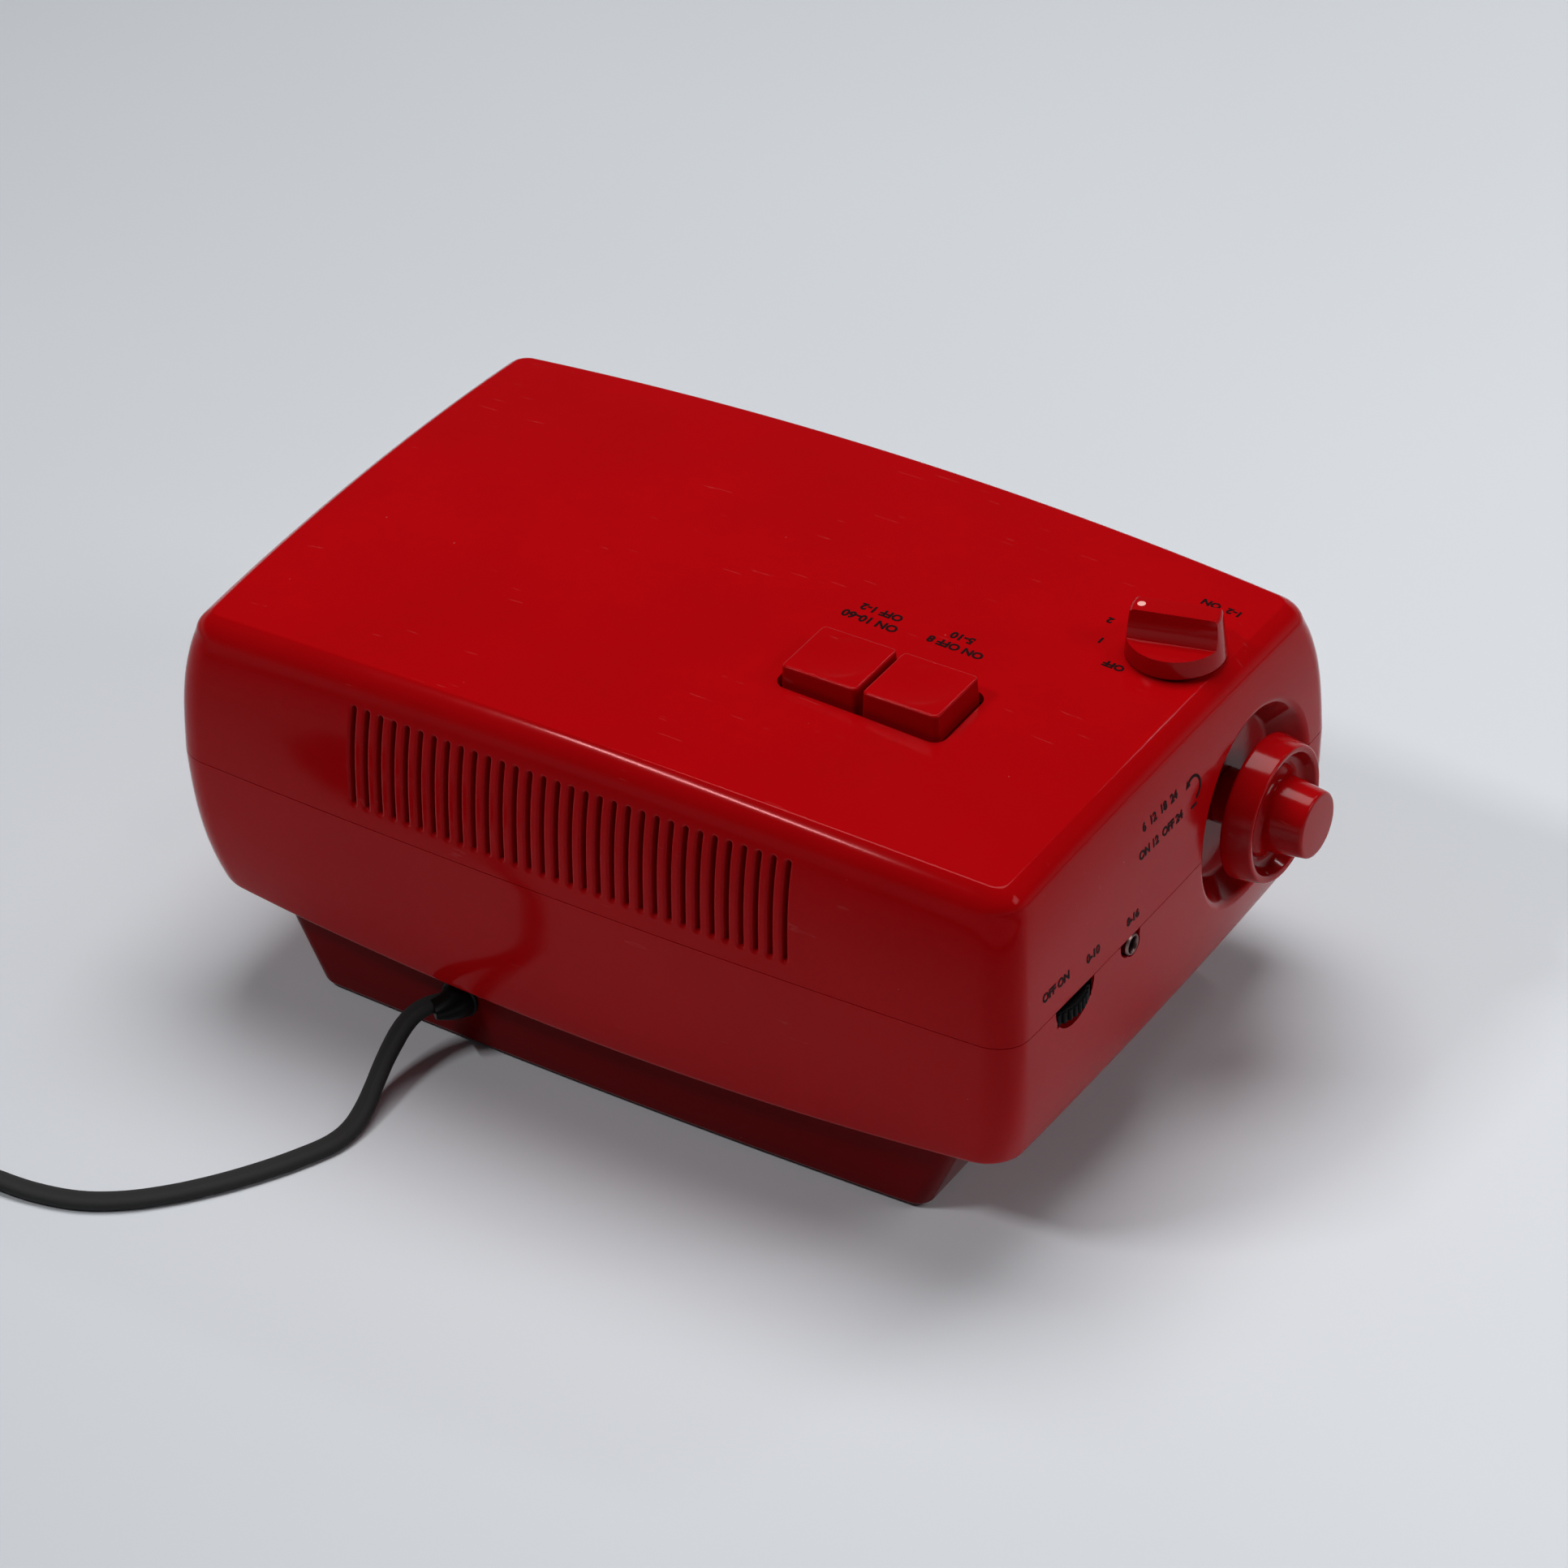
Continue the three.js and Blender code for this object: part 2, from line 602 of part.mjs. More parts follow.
/** What is added inside the wall: the wells' cups, then what is cut: their rooms and the shafts' holes. */
function withWells(wall) {
  const cup = wellRoom(WALL).intersect(caseOutside);
  const room = wellRoom(0);
  return wall
    .add(cup)
    .add(mirrored(cup))
    .subtract(room)
    .subtract(mirrored(room))
    .subtract(rod('x', -FAR, 0, AXIS_Y, AXIS_Z, SLEEVE_RADIUS + RUN))
    .subtract(rod('x', 0, FAR, AXIS_Y, AXIS_Z, TUNING_SHAFT_RADIUS + RUN));
}

function ventCuts() {
  const slots = [];
  for (let k = 0; k < VENT_COUNT; k += 1) {
    const x = VENT_CENTRE_X + (k - (VENT_COUNT - 1) / 2) * VENT_PITCH;
    const half = VENT_WIDTH / 2;
    slots.push(box(x - half, x + half, REAR_Y / 2, FAR, VENT_LOW_Z, VENT_HIGH_Z));
  }
  return slots;
}

const keyBlockTopZ = KEY_TOP_Z - KEY_BODY - KEY_TRAVEL - 1;
const keySlotHalfX = KEY_PITCH / 2 + KEY_WIDTH / 2 + KEY_DRAFT + KEY_SLOT_MARGIN;
const keySlotHalfY = KEY_DEPTH / 2 + KEY_DRAFT + KEY_SLOT_MARGIN;
const switchPostX = keySlotHalfX + SWITCH_POST_RADIUS + 1;

function frontOpening() {
  const depth = FRONT_PLATE_Y + FRONT_PLATE;
  return box(-FRONT_HALF_X, FRONT_HALF_X, -FAR, depth, FRONT_LOW_Z, FRONT_HIGH_Z);
}

/** An upright round post. */
function post(x, y, low, high, radius, sides = 16) {
  return rod('z', low, high, x, y, radius, radius, sides);
}

function upperShell() {
  let wall = caseOutside.subtract(caseInside);
  wall = withWells(wall);
  wall = wall.subtract(frontOpening());
  for (const cut of ventCuts()) {
    wall = wall.subtract(cut);
  }
  for (const { x, y } of screwPlaces) {
    wall = wall.add(post(x, y, SCREW_WEB_TOP_Z + GAP, RIM_Z, POST_RADIUS).intersect(caseOutside));
  }
  for (const side of [-1, 1]) {
    const x = KEYS_X + side * switchPostX;
    wall = wall.add(post(x, KEYS_Y, keyBlockTopZ + GAP, topZ(x, KEYS_Y) - 1, SWITCH_POST_RADIUS));
  }
  const slot = roundedRectangle(KEYS_X, KEYS_Y, keySlotHalfX, keySlotHalfY, KEY_SLOT_CORNER);
  wall = wall.subtract(prism('z', slot, SEAM_Z + 20, FAR));
  wall = wall.subtract(rod('z', SEAM_Z + 20, FAR, MODE_X, MODE_Y, MODE_SHAFT_RADIUS + RUN));
  const upper = wall.intersect(box(-FAR, FAR, -FAR, FAR, SEAM_Z + GAP / 2, FAR));
  const posts = screwPlaces.map(({ x, y }) => post(x, y, SCREW_WEB_TOP_Z + GAP, SEAM_Z + GAP, POST_RADIUS));
  const boreTopZ = SCREW_WEB_TOP_Z + SCREW_LENGTH;
  const bores = screwPlaces.map(({ x, y }) => post(x, y, 0, boreTopZ, SCREW_RADIUS + RUN));
  return joined([upper, ...posts]).subtract(joined(bores));
}

const clockPosts = [FRAME_LEFT_X + 8, FRAME_RIGHT_X - 8].flatMap((x) => [
  { x, y: FRAME_FRONT_Y + 6, z: FRAME_LOW_Z },
  { x, y: FRAME_BACK_Y - 6, z: FRAME_LOW_Z },
]);
const tunerPosts = [TUNER_LEFT_X + 6, TUNER_RIGHT_X - 10].flatMap((x) => [
  { x, y: TUNER_FRONT_Y + 5, z: TUNER_LOW_Z },
  { x, y: TUNER_BACK_Y - 5, z: TUNER_LOW_Z },
]);
const boardPosts = [BOARD_LEFT_X + 16, BOARD_RIGHT_X - 6].flatMap((x) => [
  { x, y: BOARD_FRONT_Y + 5, z: BOARD_TOP_Z - BOARD },
  { x, y: BOARD_BACK_Y - 5, z: BOARD_TOP_Z - BOARD },
]);

function lowerShell() {
  let wall = withWells(caseOutside.subtract(caseInside));
  wall = wall.subtract(frontOpening());
  wall = wall.intersect(box(-FAR, FAR, -FAR, FAR, 0, SEAM_Z - GAP / 2));
  wall = wall.subtract(rod('x', -CASE_WIDTH, -wellFloorX, WHEEL_Y, SEAM_Z, WHEEL_NOTCH_RADIUS));
  wall = wall.subtract(rod('z', wheelLowZ - GAP, SEAM_Z, WHEEL_X, WHEEL_Y, WHEEL_RADIUS + 2 * GAP));
  const jackZ = SEAM_Z - JACK_DROP;
  const half = JACK_NOTCH_RADIUS;
  const notchZ = SEAM_Z - JACK_NOTCH_DROP;
  wall = wall.subtract(rod('x', -CASE_WIDTH, -wellFloorX, JACK_Y, jackZ, JACK_RING_RADIUS + GAP));
  wall = wall.subtract(rod('x', -CASE_WIDTH, -wellFloorX, JACK_NOTCH_Y, notchZ, half));
  wall = wall.subtract(box(-CASE_WIDTH, -wellFloorX, JACK_NOTCH_Y - half, JACK_NOTCH_Y + half, notchZ, SEAM_Z));
  for (const { x, y } of screwPlaces) {
    wall = wall.add(post(x, y, 0, SCREW_WEB_TOP_Z, POST_RADIUS).intersect(caseOutside));
    wall = wall.subtract(post(x, y, 0, SCREW_WEB_TOP_Z - SCREW_WEB, SCREW_HEAD_RADIUS + RUN));
    wall = wall.subtract(post(x, y, 0, FAR, SCREW_RADIUS + RUN));
  }
  for (const { x, y, z } of [...clockPosts, ...tunerPosts, ...boardPosts]) {
    wall = wall.add(post(x, y, floorZ(x, y) - WALL / 2, z - GAP, SUPPORT_RADIUS, 8));
  }
  for (const side of [-1, 1]) {
    const x = CORE_X + (side * CORE_WIDTH) / 2 - side * CORE_LEG / 2;
    wall = wall.add(post(x, CORE_Y, floorZ(x, CORE_Y) - WALL / 2, coreLowZ - GAP, CORE_LEG / 2, 8));
  }
  return wall;
}

// ================================================================ pedestal, feet, gland
function standLevel(z, shrink) {
  const up = z - STAND_LOW_Z;
  return {
    halfX: STAND_HALF_X + STAND_END_SLOPE * up - shrink,
    halfY: STAND_HALF_Y + STAND_BOW + STAND_SIDE_SLOPE * up - shrink,
    z,
    radius: STAND_CORNER - shrink,
    bowLong: STAND_BOW,
    bowShort: 0,
    lift: () => 0,
  };
}

// The pedestal's rear face at the gland.
const standWallY =
  STAND_HALF_Y + STAND_BOW * (1 - (GLAND_X / STAND_HALF_X) ** 2) + STAND_SIDE_SLOPE * GLAND_Z;
const footPlaces = [-1, 1].flatMap((sideX) =>
  [-1, 1].map((sideY) => ({
    name: `foot_${sideY < 0 ? 'front' : 'rear'}_${sideX < 0 ? 'left' : 'right'}`,
    x: sideX * (STAND_HALF_X - FOOT_INSET),
    y: sideY * (STAND_HALF_Y - FOOT_INSET),
  })),
);

function pedestal() {
  const outside = barrel([standLevel(STAND_LOW_Z, 0), standLevel(UNDER_Z + WALL, 0)]);
  const floor = standLevel(STAND_LOW_Z + STAND_WALL, STAND_WALL);
  const inside = barrel([floor, standLevel(UNDER_Z + 2 * WALL, STAND_WALL)]);
  let stand = outside.subtract(inside).subtract(barrel(caseLevels(-GAP)));
  for (const { x, y } of footPlaces) {
    stand = stand.subtract(rod('z', -1, STAND_LOW_Z + FOOT_SINK, x, y, FOOT_RADIUS + GAP));
  }
  return stand.subtract(rod('y', 0, FAR, GLAND_X, GLAND_Z, GLAND_RADIUS + GAP));
}

function feet() {
  return footPlaces.map(({ name, x, y }) => {
    const top = STAND_LOW_Z + FOOT_SINK - GAP;
    const profile = [
      [0, 0],
      [FOOT_RADIUS - 1, 0],
      [FOOT_RADIUS, STAND_LOW_Z],
      [FOOT_RADIUS, top],
      [0, top],
    ];
    return piece(name, turned('z', profile, x, y, 20), RUBBER);
  });
}

function gland() {
  const flange = standWallY + 2 * GAP;
  const body = rod('y', flange - GLAND_TAIL, flange + 1, 0, GLAND_Z, GLAND_RADIUS, GLAND_RADIUS, 16);
  const wide = GLAND_FLANGE_RADIUS;
  const collar = rod('y', flange, flange + GLAND_FLANGE, 0, GLAND_Z, wide, wide, 16);
  const nose = rod('y', 0, GLAND_NOSE, 0, GLAND_Z, GLAND_RADIUS, CORD_WIDTH / 2 + 0.6, 16)
    .rotate([0, 0, GLAND_BEND])
    .translate([0, flange, 0]);
  return piece('strain_relief', joined([body, collar, nose]).translate([GLAND_X, 0, 0]), RUBBER);
}

// ================================================================ knobs of the two wells
/** The ring-shaped knob of the -X end, with a bore for the clock shaft and one for the alarm sleeve. */
function ringKnob() {
  const dishFloor = RING_FACE_X - RING_DISH_DEPTH;
  const body = turned(
    'x',
    [
      [0, wellFloorX + GAP],
      [RING_HUB_RADIUS, wellFloorX + GAP],
      [RING_HUB_RADIUS, RING_BACK_X],
      [RING_RADIUS - 0.6, RING_BACK_X],
      [RING_RADIUS, RING_BACK_X + 0.6],
      [RING_FACE_RADIUS + 0.2, RING_FACE_X - 0.6],
      [RING_FACE_RADIUS - 0.6, RING_FACE_X],
      [RING_DISH_RADIUS, RING_FACE_X - 0.5],
      [RING_DISH_RADIUS - 1.6, dishFloor],
      [0, dishFloor],
    ],
    AXIS_Y,
    AXIS_Z,
  );
  const sleeveEnd = RING_BACK_X - SLEEVE_END;
  return mirrored(
    body
      .subtract(rod('x', 0, FAR, AXIS_Y, AXIS_Z, SHAFT_RADIUS + RUN))
      .subtract(rod('x', 0, sleeveEnd, AXIS_Y, AXIS_Z, SLEEVE_RADIUS + RUN)),
  );
}

/** The tapered knob that stands out of the ring. */
function bossProfile(footX) {
  return [
    [0, footX],
    [BOSS_FLARE_RADIUS, footX],
    [BOSS_FLARE_RADIUS - 0.3, footX + 0.8],
    [BOSS_RADIUS + 1.3, footX + 2.4],
    [BOSS_RADIUS + 0.7, footX + 4],
    [BOSS_RADIUS, BOSS_END_X - BOSS_EDGE],
    [BOSS_RADIUS - BOSS_EDGE, BOSS_END_X],
    [0, BOSS_END_X],
  ];
}

function timeKnob() {
  const foot = RING_FACE_X - RING_DISH_DEPTH + GAP;
  const body = turned('x', bossProfile(foot), AXIS_Y, AXIS_Z);
  const bore = rod('x', 0, BOSS_END_X - SHAFT_END, AXIS_Y, AXIS_Z, SHAFT_RADIUS + GAP);
  return mirrored(body.subtract(bore));
}

/** The one-piece knob of the +X end: the same ring and boss, on the tuning shaft. */
function tuningKnob() {
  const dishFloor = RING_FACE_X - RING_DISH_DEPTH;
  const body = turned(
    'x',
    [
      [0, wellFloorX + GAP],
      [RING_HUB_RADIUS, wellFloorX + GAP],
      [RING_HUB_RADIUS, RING_BACK_X],
      [RING_RADIUS, RING_BACK_X],
      [RING_FACE_RADIUS, RING_FACE_X],
      [RING_DISH_RADIUS, RING_FACE_X - 0.5],
      [RING_DISH_RADIUS - 1.6, dishFloor],
      ...bossProfile(dishFloor).slice(1),
    ],
    AXIS_Y,
    AXIS_Z,
  );
  return body.subtract(rod('x', 0, BOSS_END_X - SHAFT_END, AXIS_Y, AXIS_Z, TUNING_SHAFT_RADIUS + GAP));
}

// ================================================================ mode knob and switch
const modeLowZ = topZ(MODE_X, MODE_Y) + 0.8;

function modeKnob() {
  const top = modeLowZ + MODE_HEIGHT;
  let knob = rod('z', modeLowZ, top, MODE_X, MODE_Y, MODE_RADIUS, MODE_TOP_RADIUS, 32);
  for (const side of [-1, 1]) {
    const cut = new THREE.Shape();
    const ledge = modeLowZ + MODE_LEDGE_HEIGHT;
    cut.moveTo(MODE_Y + (side * MODE_GRIP_FOOT) / 2, ledge);
    cut.lineTo(MODE_Y + side * (MODE_GRIP_TOP / 2 + 0.4), (ledge + top) / 2);
    cut.lineTo(MODE_Y + (side * MODE_GRIP_TOP) / 2, top + 1);
    cut.lineTo(MODE_Y + side * 2 * MODE_RADIUS, top + 1);
    cut.lineTo(MODE_Y + side * 2 * MODE_RADIUS, ledge);
    knob = knob.subtract(prism('x', cut, MODE_X - 2 * MODE_RADIUS, MODE_X + 2 * MODE_RADIUS));
  }
  return knob.subtract(rod('z', 0, modeLowZ + MODE_LEDGE_HEIGHT, MODE_X, MODE_Y, MODE_SHAFT_RADIUS + GAP));
}

const modeSwitchTopZ = topZ(MODE_X + MODE_SWITCH_RADIUS, MODE_Y - MODE_SWITCH_RADIUS) - WALL - 3;

function modeWorks() {
  const on = (low, high, radius) => post(MODE_X, MODE_Y, low, high, radius, 24);
  const top = modeSwitchTopZ;
  const shaft = on(top - MODE_SHAFT_SINK, modeLowZ + MODE_LEDGE_HEIGHT - GAP, MODE_SHAFT_RADIUS);
  const body = on(top - MODE_SWITCH_HEIGHT, top, MODE_SWITCH_RADIUS)
    .add(on(top - 1, topZ(MODE_X, MODE_Y) - WALL - 1.5, MODE_SHAFT_RADIUS + 2.5))
    .subtract(on(top - MODE_SHAFT_SINK - GAP, FAR, MODE_SHAFT_RADIUS + RUN));
  return [piece('mode_shaft', shaft, NYLON), piece('mode_switch', body, BLACK)];
}

// ================================================================ push keys
function key(x) {
  const low = KEY_TOP_Z - KEY_BODY;
  const level = (z, grow) => ({
    halfX: KEY_WIDTH / 2 + grow,
    halfY: KEY_DEPTH / 2 + grow,
    z,
    radius: 1.2,
    bowLong: 0,
    bowShort: 0,
    lift: () => 0,
  });
  const body = barrel([level(low, KEY_DRAFT), level(KEY_TOP_Z - 0.6, 0), level(KEY_TOP_Z, -0.6)]);
  const ball = new THREE.SphereGeometry(KEY_DISH_RADIUS, 72, 72);
  ball.translate(0, 0, KEY_TOP_Z + KEY_DISH_RADIUS - KEY_DISH_DEPTH);
  const stem = box(-KEY_STEM / 2, KEY_STEM / 2, -KEY_STEM / 2, KEY_STEM / 2, low - KEY_STEM_LENGTH, low + 1);
  const rounded = body.translate([0, 0, 0]).subtract(solid(ball)).add(stem);
  return rounded.translate([x, KEYS_Y, 0]);
}

function keys() {
  const left = KEYS_X - KEY_PITCH / 2;
  const right = KEYS_X + KEY_PITCH / 2;
  const low = keyBlockTopZ - SWITCH_BLOCK_HEIGHT;
  const across = (halfX, halfY, z) =>
    box(KEYS_X - halfX, KEYS_X + halfX, KEYS_Y - halfY, KEYS_Y + halfY, z, keyBlockTopZ);
  const ears = across(switchPostX + SWITCH_POST_RADIUS, SWITCH_EAR, keyBlockTopZ - SWITCH_EAR);
  let block = across(keySlotHalfX, SWITCH_BLOCK_DEPTH / 2, low).add(ears);
  for (const x of [left, right]) {
    const half = KEY_STEM / 2 + GAP;
    block = block.subtract(box(x - half, x + half, KEYS_Y - half, KEYS_Y + half, low + 1, FAR));
  }
  return [
    piece('key_left', key(left), RED),
    piece('key_right', key(right), RED),
    piece('key_switch_block', block, BLACK),
  ];
}

// ================================================================ volume wheel and jack
function volume() {
  const shape = new THREE.Shape();
  for (let k = 0; k < WHEEL_TEETH * 2; k += 1) {
    const angle = (k / (WHEEL_TEETH * 2)) * 2 * Math.PI;
    const radius = WHEEL_RADIUS - (k % 2) * 0.7;
    shape[k ? 'lineTo' : 'moveTo'](WHEEL_X + radius * Math.cos(angle), WHEEL_Y + radius * Math.sin(angle));
  }
  const capZ = wheelTopZ - 1.2;
  const bore = rod('z', 0, capZ, WHEEL_X, WHEEL_Y, WHEEL_BORE + RUN);
  const wheel = prism('z', shape, wheelLowZ, wheelTopZ).subtract(bore);
  const low = BOARD_TOP_Z + GAP;
  const spindle = rod('z', wheelLowZ - 1, capZ - GAP, WHEEL_X, WHEEL_Y, WHEEL_BORE);
  const control = box(WHEEL_X - 4, WHEEL_X + 9, WHEEL_Y - 8, WHEEL_Y + 8, low, wheelLowZ - GAP).add(spindle);
  return [piece('volume_wheel', wheel, BLACK), piece('volume_control', control, STEEL)];
}

function jack() {
  const z = SEAM_Z - JACK_DROP;
  const ringX = -(CASE_WIDTH / 2) + 0.2;
  const half = JACK_BODY / 2;
  const bodyFront = ringX + JACK_RING + GAP;
  const bore = rod('x', -FAR, bodyFront + 12, JACK_Y, z, JACK_BORE, JACK_BORE, 16);
  const body = box(bodyFront, bodyFront + 14, JACK_Y - half, JACK_Y + half, BOARD_TOP_Z + GAP, z + half);
  const ring = rod('x', ringX, ringX + JACK_RING, JACK_Y, z, JACK_RING_RADIUS, JACK_RING_RADIUS, 24);
  return [
    piece('earphone_jack', body.subtract(bore), BLACK),
    piece('jack_ring', ring.subtract(bore), STEEL),
  ];
}

// ================================================================ front
const openings = {
  clock: [-FRONT_HALF_X + FRONT_RING + LENS_MARGIN, DIVIDER_LEFT_X - LENS_MARGIN - GAP],
  grille: [DIVIDER_LEFT_X + LENS_MARGIN + GAP, DIVIDER_RIGHT_X - LENS_MARGIN - GAP],
  dial: [DIVIDER_RIGHT_X + LENS_MARGIN + GAP, FRONT_HALF_X - FRONT_RING - LENS_MARGIN],
};
const frontLow = FRONT_LOW_Z + FRONT_RING + LENS_MARGIN;
const frontHigh = FRONT_HIGH_Z - FRONT_RING - LENS_MARGIN;

function frontBezel() {
  const plate = box(
    -FRONT_HALF_X - FRONT_FLANGE,
    FRONT_HALF_X + FRONT_FLANGE,
    FRONT_PLATE_Y,
    FRONT_PLATE_Y + FRONT_PLATE,
    FRONT_LOW_Z - FRONT_FLANGE,
    FRONT_HIGH_Z + FRONT_FLANGE,
  );
  const half = FRONT_HALF_X - GAP;
  const ring = box(-half, half, FRONT_Y, FRONT_PLATE_Y + 1, FRONT_LOW_Z + GAP, FRONT_HIGH_Z - GAP);
  const inner = half - FRONT_RING + GAP;
  const room = box(
    -inner,
    inner,
    FRONT_Y - 1,
    FRONT_PLATE_Y,
    FRONT_LOW_Z + FRONT_RING,
    FRONT_HIGH_Z - FRONT_RING,
  );
  let bezel = plate.add(ring).subtract(room);
  for (const [x0, x1] of Object.values(openings)) {
    bezel = bezel.subtract(box(x0, x1, -FAR, FAR, frontLow, frontHigh));
  }
  return bezel;
}

/** A pane in front of an opening, resting on the plate. */
function pane([x0, x1]) {
  const back = FRONT_PLATE_Y - GAP;
  const margin = LENS_MARGIN - GAP;
  return box(x0 - margin, x1 + margin, back - LENS, back, frontLow - margin, frontHigh + margin);
}

function speakerGrille() {
  let grille = pane(openings.grille);
  const [x0, x1] = openings.grille;
  const count = Math.floor((x1 - x0 - GRILLE_SLOT) / GRILLE_PITCH) + 1;
  const first = (x0 + x1) / 2 - ((count - 1) / 2) * GRILLE_PITCH;
  for (let k = 0; k < count; k += 1) {
    const x = first + k * GRILLE_PITCH;
    grille = grille.subtract(
      box(x - GRILLE_SLOT / 2, x + GRILLE_SLOT / 2, -FAR, FAR, frontLow + 1, frontHigh - 1),
    );
  }
  return grille;
}

function front() {
  return [
    piece('front_bezel', frontBezel(), BLACK),
    piece('clock_window', pane(openings.clock), CLEAR),
    piece('dial_window', pane(openings.dial), CLEAR),
    piece('speaker_grille', speakerGrille(), BLACK),
  ];
}

// ================================================================ speaker
function speaker() {
  const z = (FRONT_LOW_Z + FRONT_HIGH_Z) / 2 - 1;
  const start = FRONT_PLATE_Y + FRONT_PLATE + GAP;
  const waist = MAGNET_RADIUS - 2;
  const end = start + SPEAKER_CAN;
  const basket = turned(
    'y',
    [
      [waist - 4, end - 1.2],
      [waist, end - 1.2],
      [SPEAKER_RADIUS - 3, start + SPEAKER_FLANGE],
      [SPEAKER_RADIUS - 3, start],
      [SPEAKER_RADIUS, start],
      [SPEAKER_RADIUS, start + SPEAKER_FLANGE],
      [waist + 2, end],
      [MAGNET_RADIUS, end],
      [MAGNET_RADIUS, end + MAGNET_LENGTH],
      [waist - 4, end + MAGNET_LENGTH],
      [waist - 4, end - 1.2],
    ],
    SPEAKER_X,
    z,
    32,
  );
  const rim = SPEAKER_RADIUS - 3 - 2 * GAP;
  const throat = waist - 1.5;
  const deep = end - 1.2 - 2 * GAP;
  const cone = turned(
    'y',
    [
      [0, deep - CONE - 1.5],
      [throat, deep - CONE],
      [rim - CONE, start + GAP],
      [rim, start + GAP],
      [throat + CONE / 2, deep],
      [0, deep - 1.5],
    ],
    SPEAKER_X,
    z,
    32,
  );
  return [piece('speaker_basket', basket, STEEL), piece('speaker_cone', cone, PAPER)];
}

// ================================================================ gears
/** A gear's outline round (a, b), with a tooth pointing along phase, or a gap if gapFirst. */
function gearShape(teeth, module_, a, b, phase, gapFirst = false) {
  const pitch = (2 * Math.PI) / teeth;
  const tip = (teeth / 2 + 0.9) * module_;
  const root = (teeth / 2 - 1.2) * module_;
  const start = phase + (gapFirst ? pitch / 2 : 0);
  const shape = new THREE.Shape();
  for (let k = 0; k < teeth; k += 1) {
    const middle = start + k * pitch;
    const corners = [
      [root, -0.32],
      [tip, -0.11],
      [tip, 0.11],
      [root, 0.32],
    ];
    for (const [radius, turn] of corners) {
      const angle = middle + turn * pitch;
      const first = k === 0 && turn === -0.32;
      shape[first ? 'moveTo' : 'lineTo'](a + radius * Math.cos(angle), b + radius * Math.sin(angle));
    }
  }
  return shape;
}

const carryDistance = ((PINION_TEETH + CARRY_WHEEL_TEETH) / 2) * CARRY_MODULE;
const arborY = AXIS_Y + carryDistance;
const motorTurn = THREE.MathUtils.degToRad(MOTOR_ANGLE);
const motorDistance = ((PINION_TEETH + MINUTE_GEAR_TEETH) / 2) * MINUTE_MODULE;
const motorY = AXIS_Y + motorDistance * Math.cos(motorTurn);
const motorZ = AXIS_Z + motorDistance * Math.sin(motorTurn);

/** A gear round the line (y, z) along X, from x on. phase and gapFirst are gearShape's. */
function gear(teeth, module_, x, y, z, phase, gapFirst = false) {
  return prism('x', gearShape(teeth, module_, y, z, phase, gapFirst), x, x + GEAR_WIDTH);
}

/** A round bar on the clock shaft's line. */
function onClockShaft(from, to, radius, sides = 24) {
  return rod('x', from, to, AXIS_Y, AXIS_Z, radius, radius, sides);
}

// ================================================================ clock works
/** A drum whose leaves stand out like a paddle wheel's. */
function leafDrum(x0, x1, count) {
  let drum = rod('x', x0, x1, AXIS_Y, AXIS_Z, DRUM_HUB_RADIUS, DRUM_HUB_RADIUS, 24);
  for (let k = 0; k < count; k += 1) {
    const geometry = new THREE.BoxGeometry(x1 - x0, LEAF_RADIUS - DRUM_HUB_RADIUS + 2, LEAF);
    geometry.translate((x0 + x1) / 2, (LEAF_RADIUS + DRUM_HUB_RADIUS) / 2 - 1, 0);
    geometry.rotateX(((k + 0.5) / count) * 2 * Math.PI);
    geometry.translate(0, AXIS_Y, AXIS_Z);
    drum = drum.add(solid(geometry));
  }
  return drum;
}

function clockFrame() {
  const sheet = (x0, x1, high) => box(x0, x1, FRAME_FRONT_Y, FRAME_BACK_Y, FRAME_LOW_Z, high);
  const plate = (x) => sheet(x, x + FRAME_PLATE, FRAME_HIGH_Z);
  const base = sheet(FRAME_LEFT_X, FRAME_RIGHT_X, FRAME_LOW_Z + FRAME_PLATE);
  const bar = (z0, z1) => box(FRAME_LEFT_X, FRAME_RIGHT_X, FRAME_FRONT_Y, FRAME_FRONT_Y + MASK_BAR, z0, z1);
  const leafTop = AXIS_Z + LEAF_HEIGHT + 2 * GAP;
  const leafLow = AXIS_Z - LEAF_HEIGHT - 2 * GAP;
  const middle = (HOUR_RIGHT_X + MINUTE_LEFT_X) / 2;
  const mullion = box(middle - 1, middle + 1, FRAME_FRONT_Y, FRAME_FRONT_Y + MASK_BAR, leafLow, leafTop);
  const frame = joined([
    plate(FRAME_LEFT_X),
    plate(FRAME_RIGHT_X - FRAME_PLATE),
    base,
    bar(leafTop, leafTop + MASK_BAR),
    bar(FRAME_LOW_Z, leafLow),
    mullion,
  ]);
  return frame
    .subtract(rod('x', -FAR, (FRAME_LEFT_X + FRAME_RIGHT_X) / 2, AXIS_Y, AXIS_Z, SLEEVE_RADIUS + RUN))
    .subtract(rod('x', -FAR, FAR, AXIS_Y, AXIS_Z, SHAFT_RADIUS + RUN, SHAFT_RADIUS + RUN, 16))
    .subtract(rod('x', -FAR, FAR, arborY, AXIS_Z, ARBOR_RADIUS + RUN, ARBOR_RADIUS + RUN, 16))
    .subtract(rod('x', FRAME_RIGHT_X - 2 * FRAME_PLATE, FAR, motorY, motorZ, PINION_TEETH * MINUTE_MODULE));
}

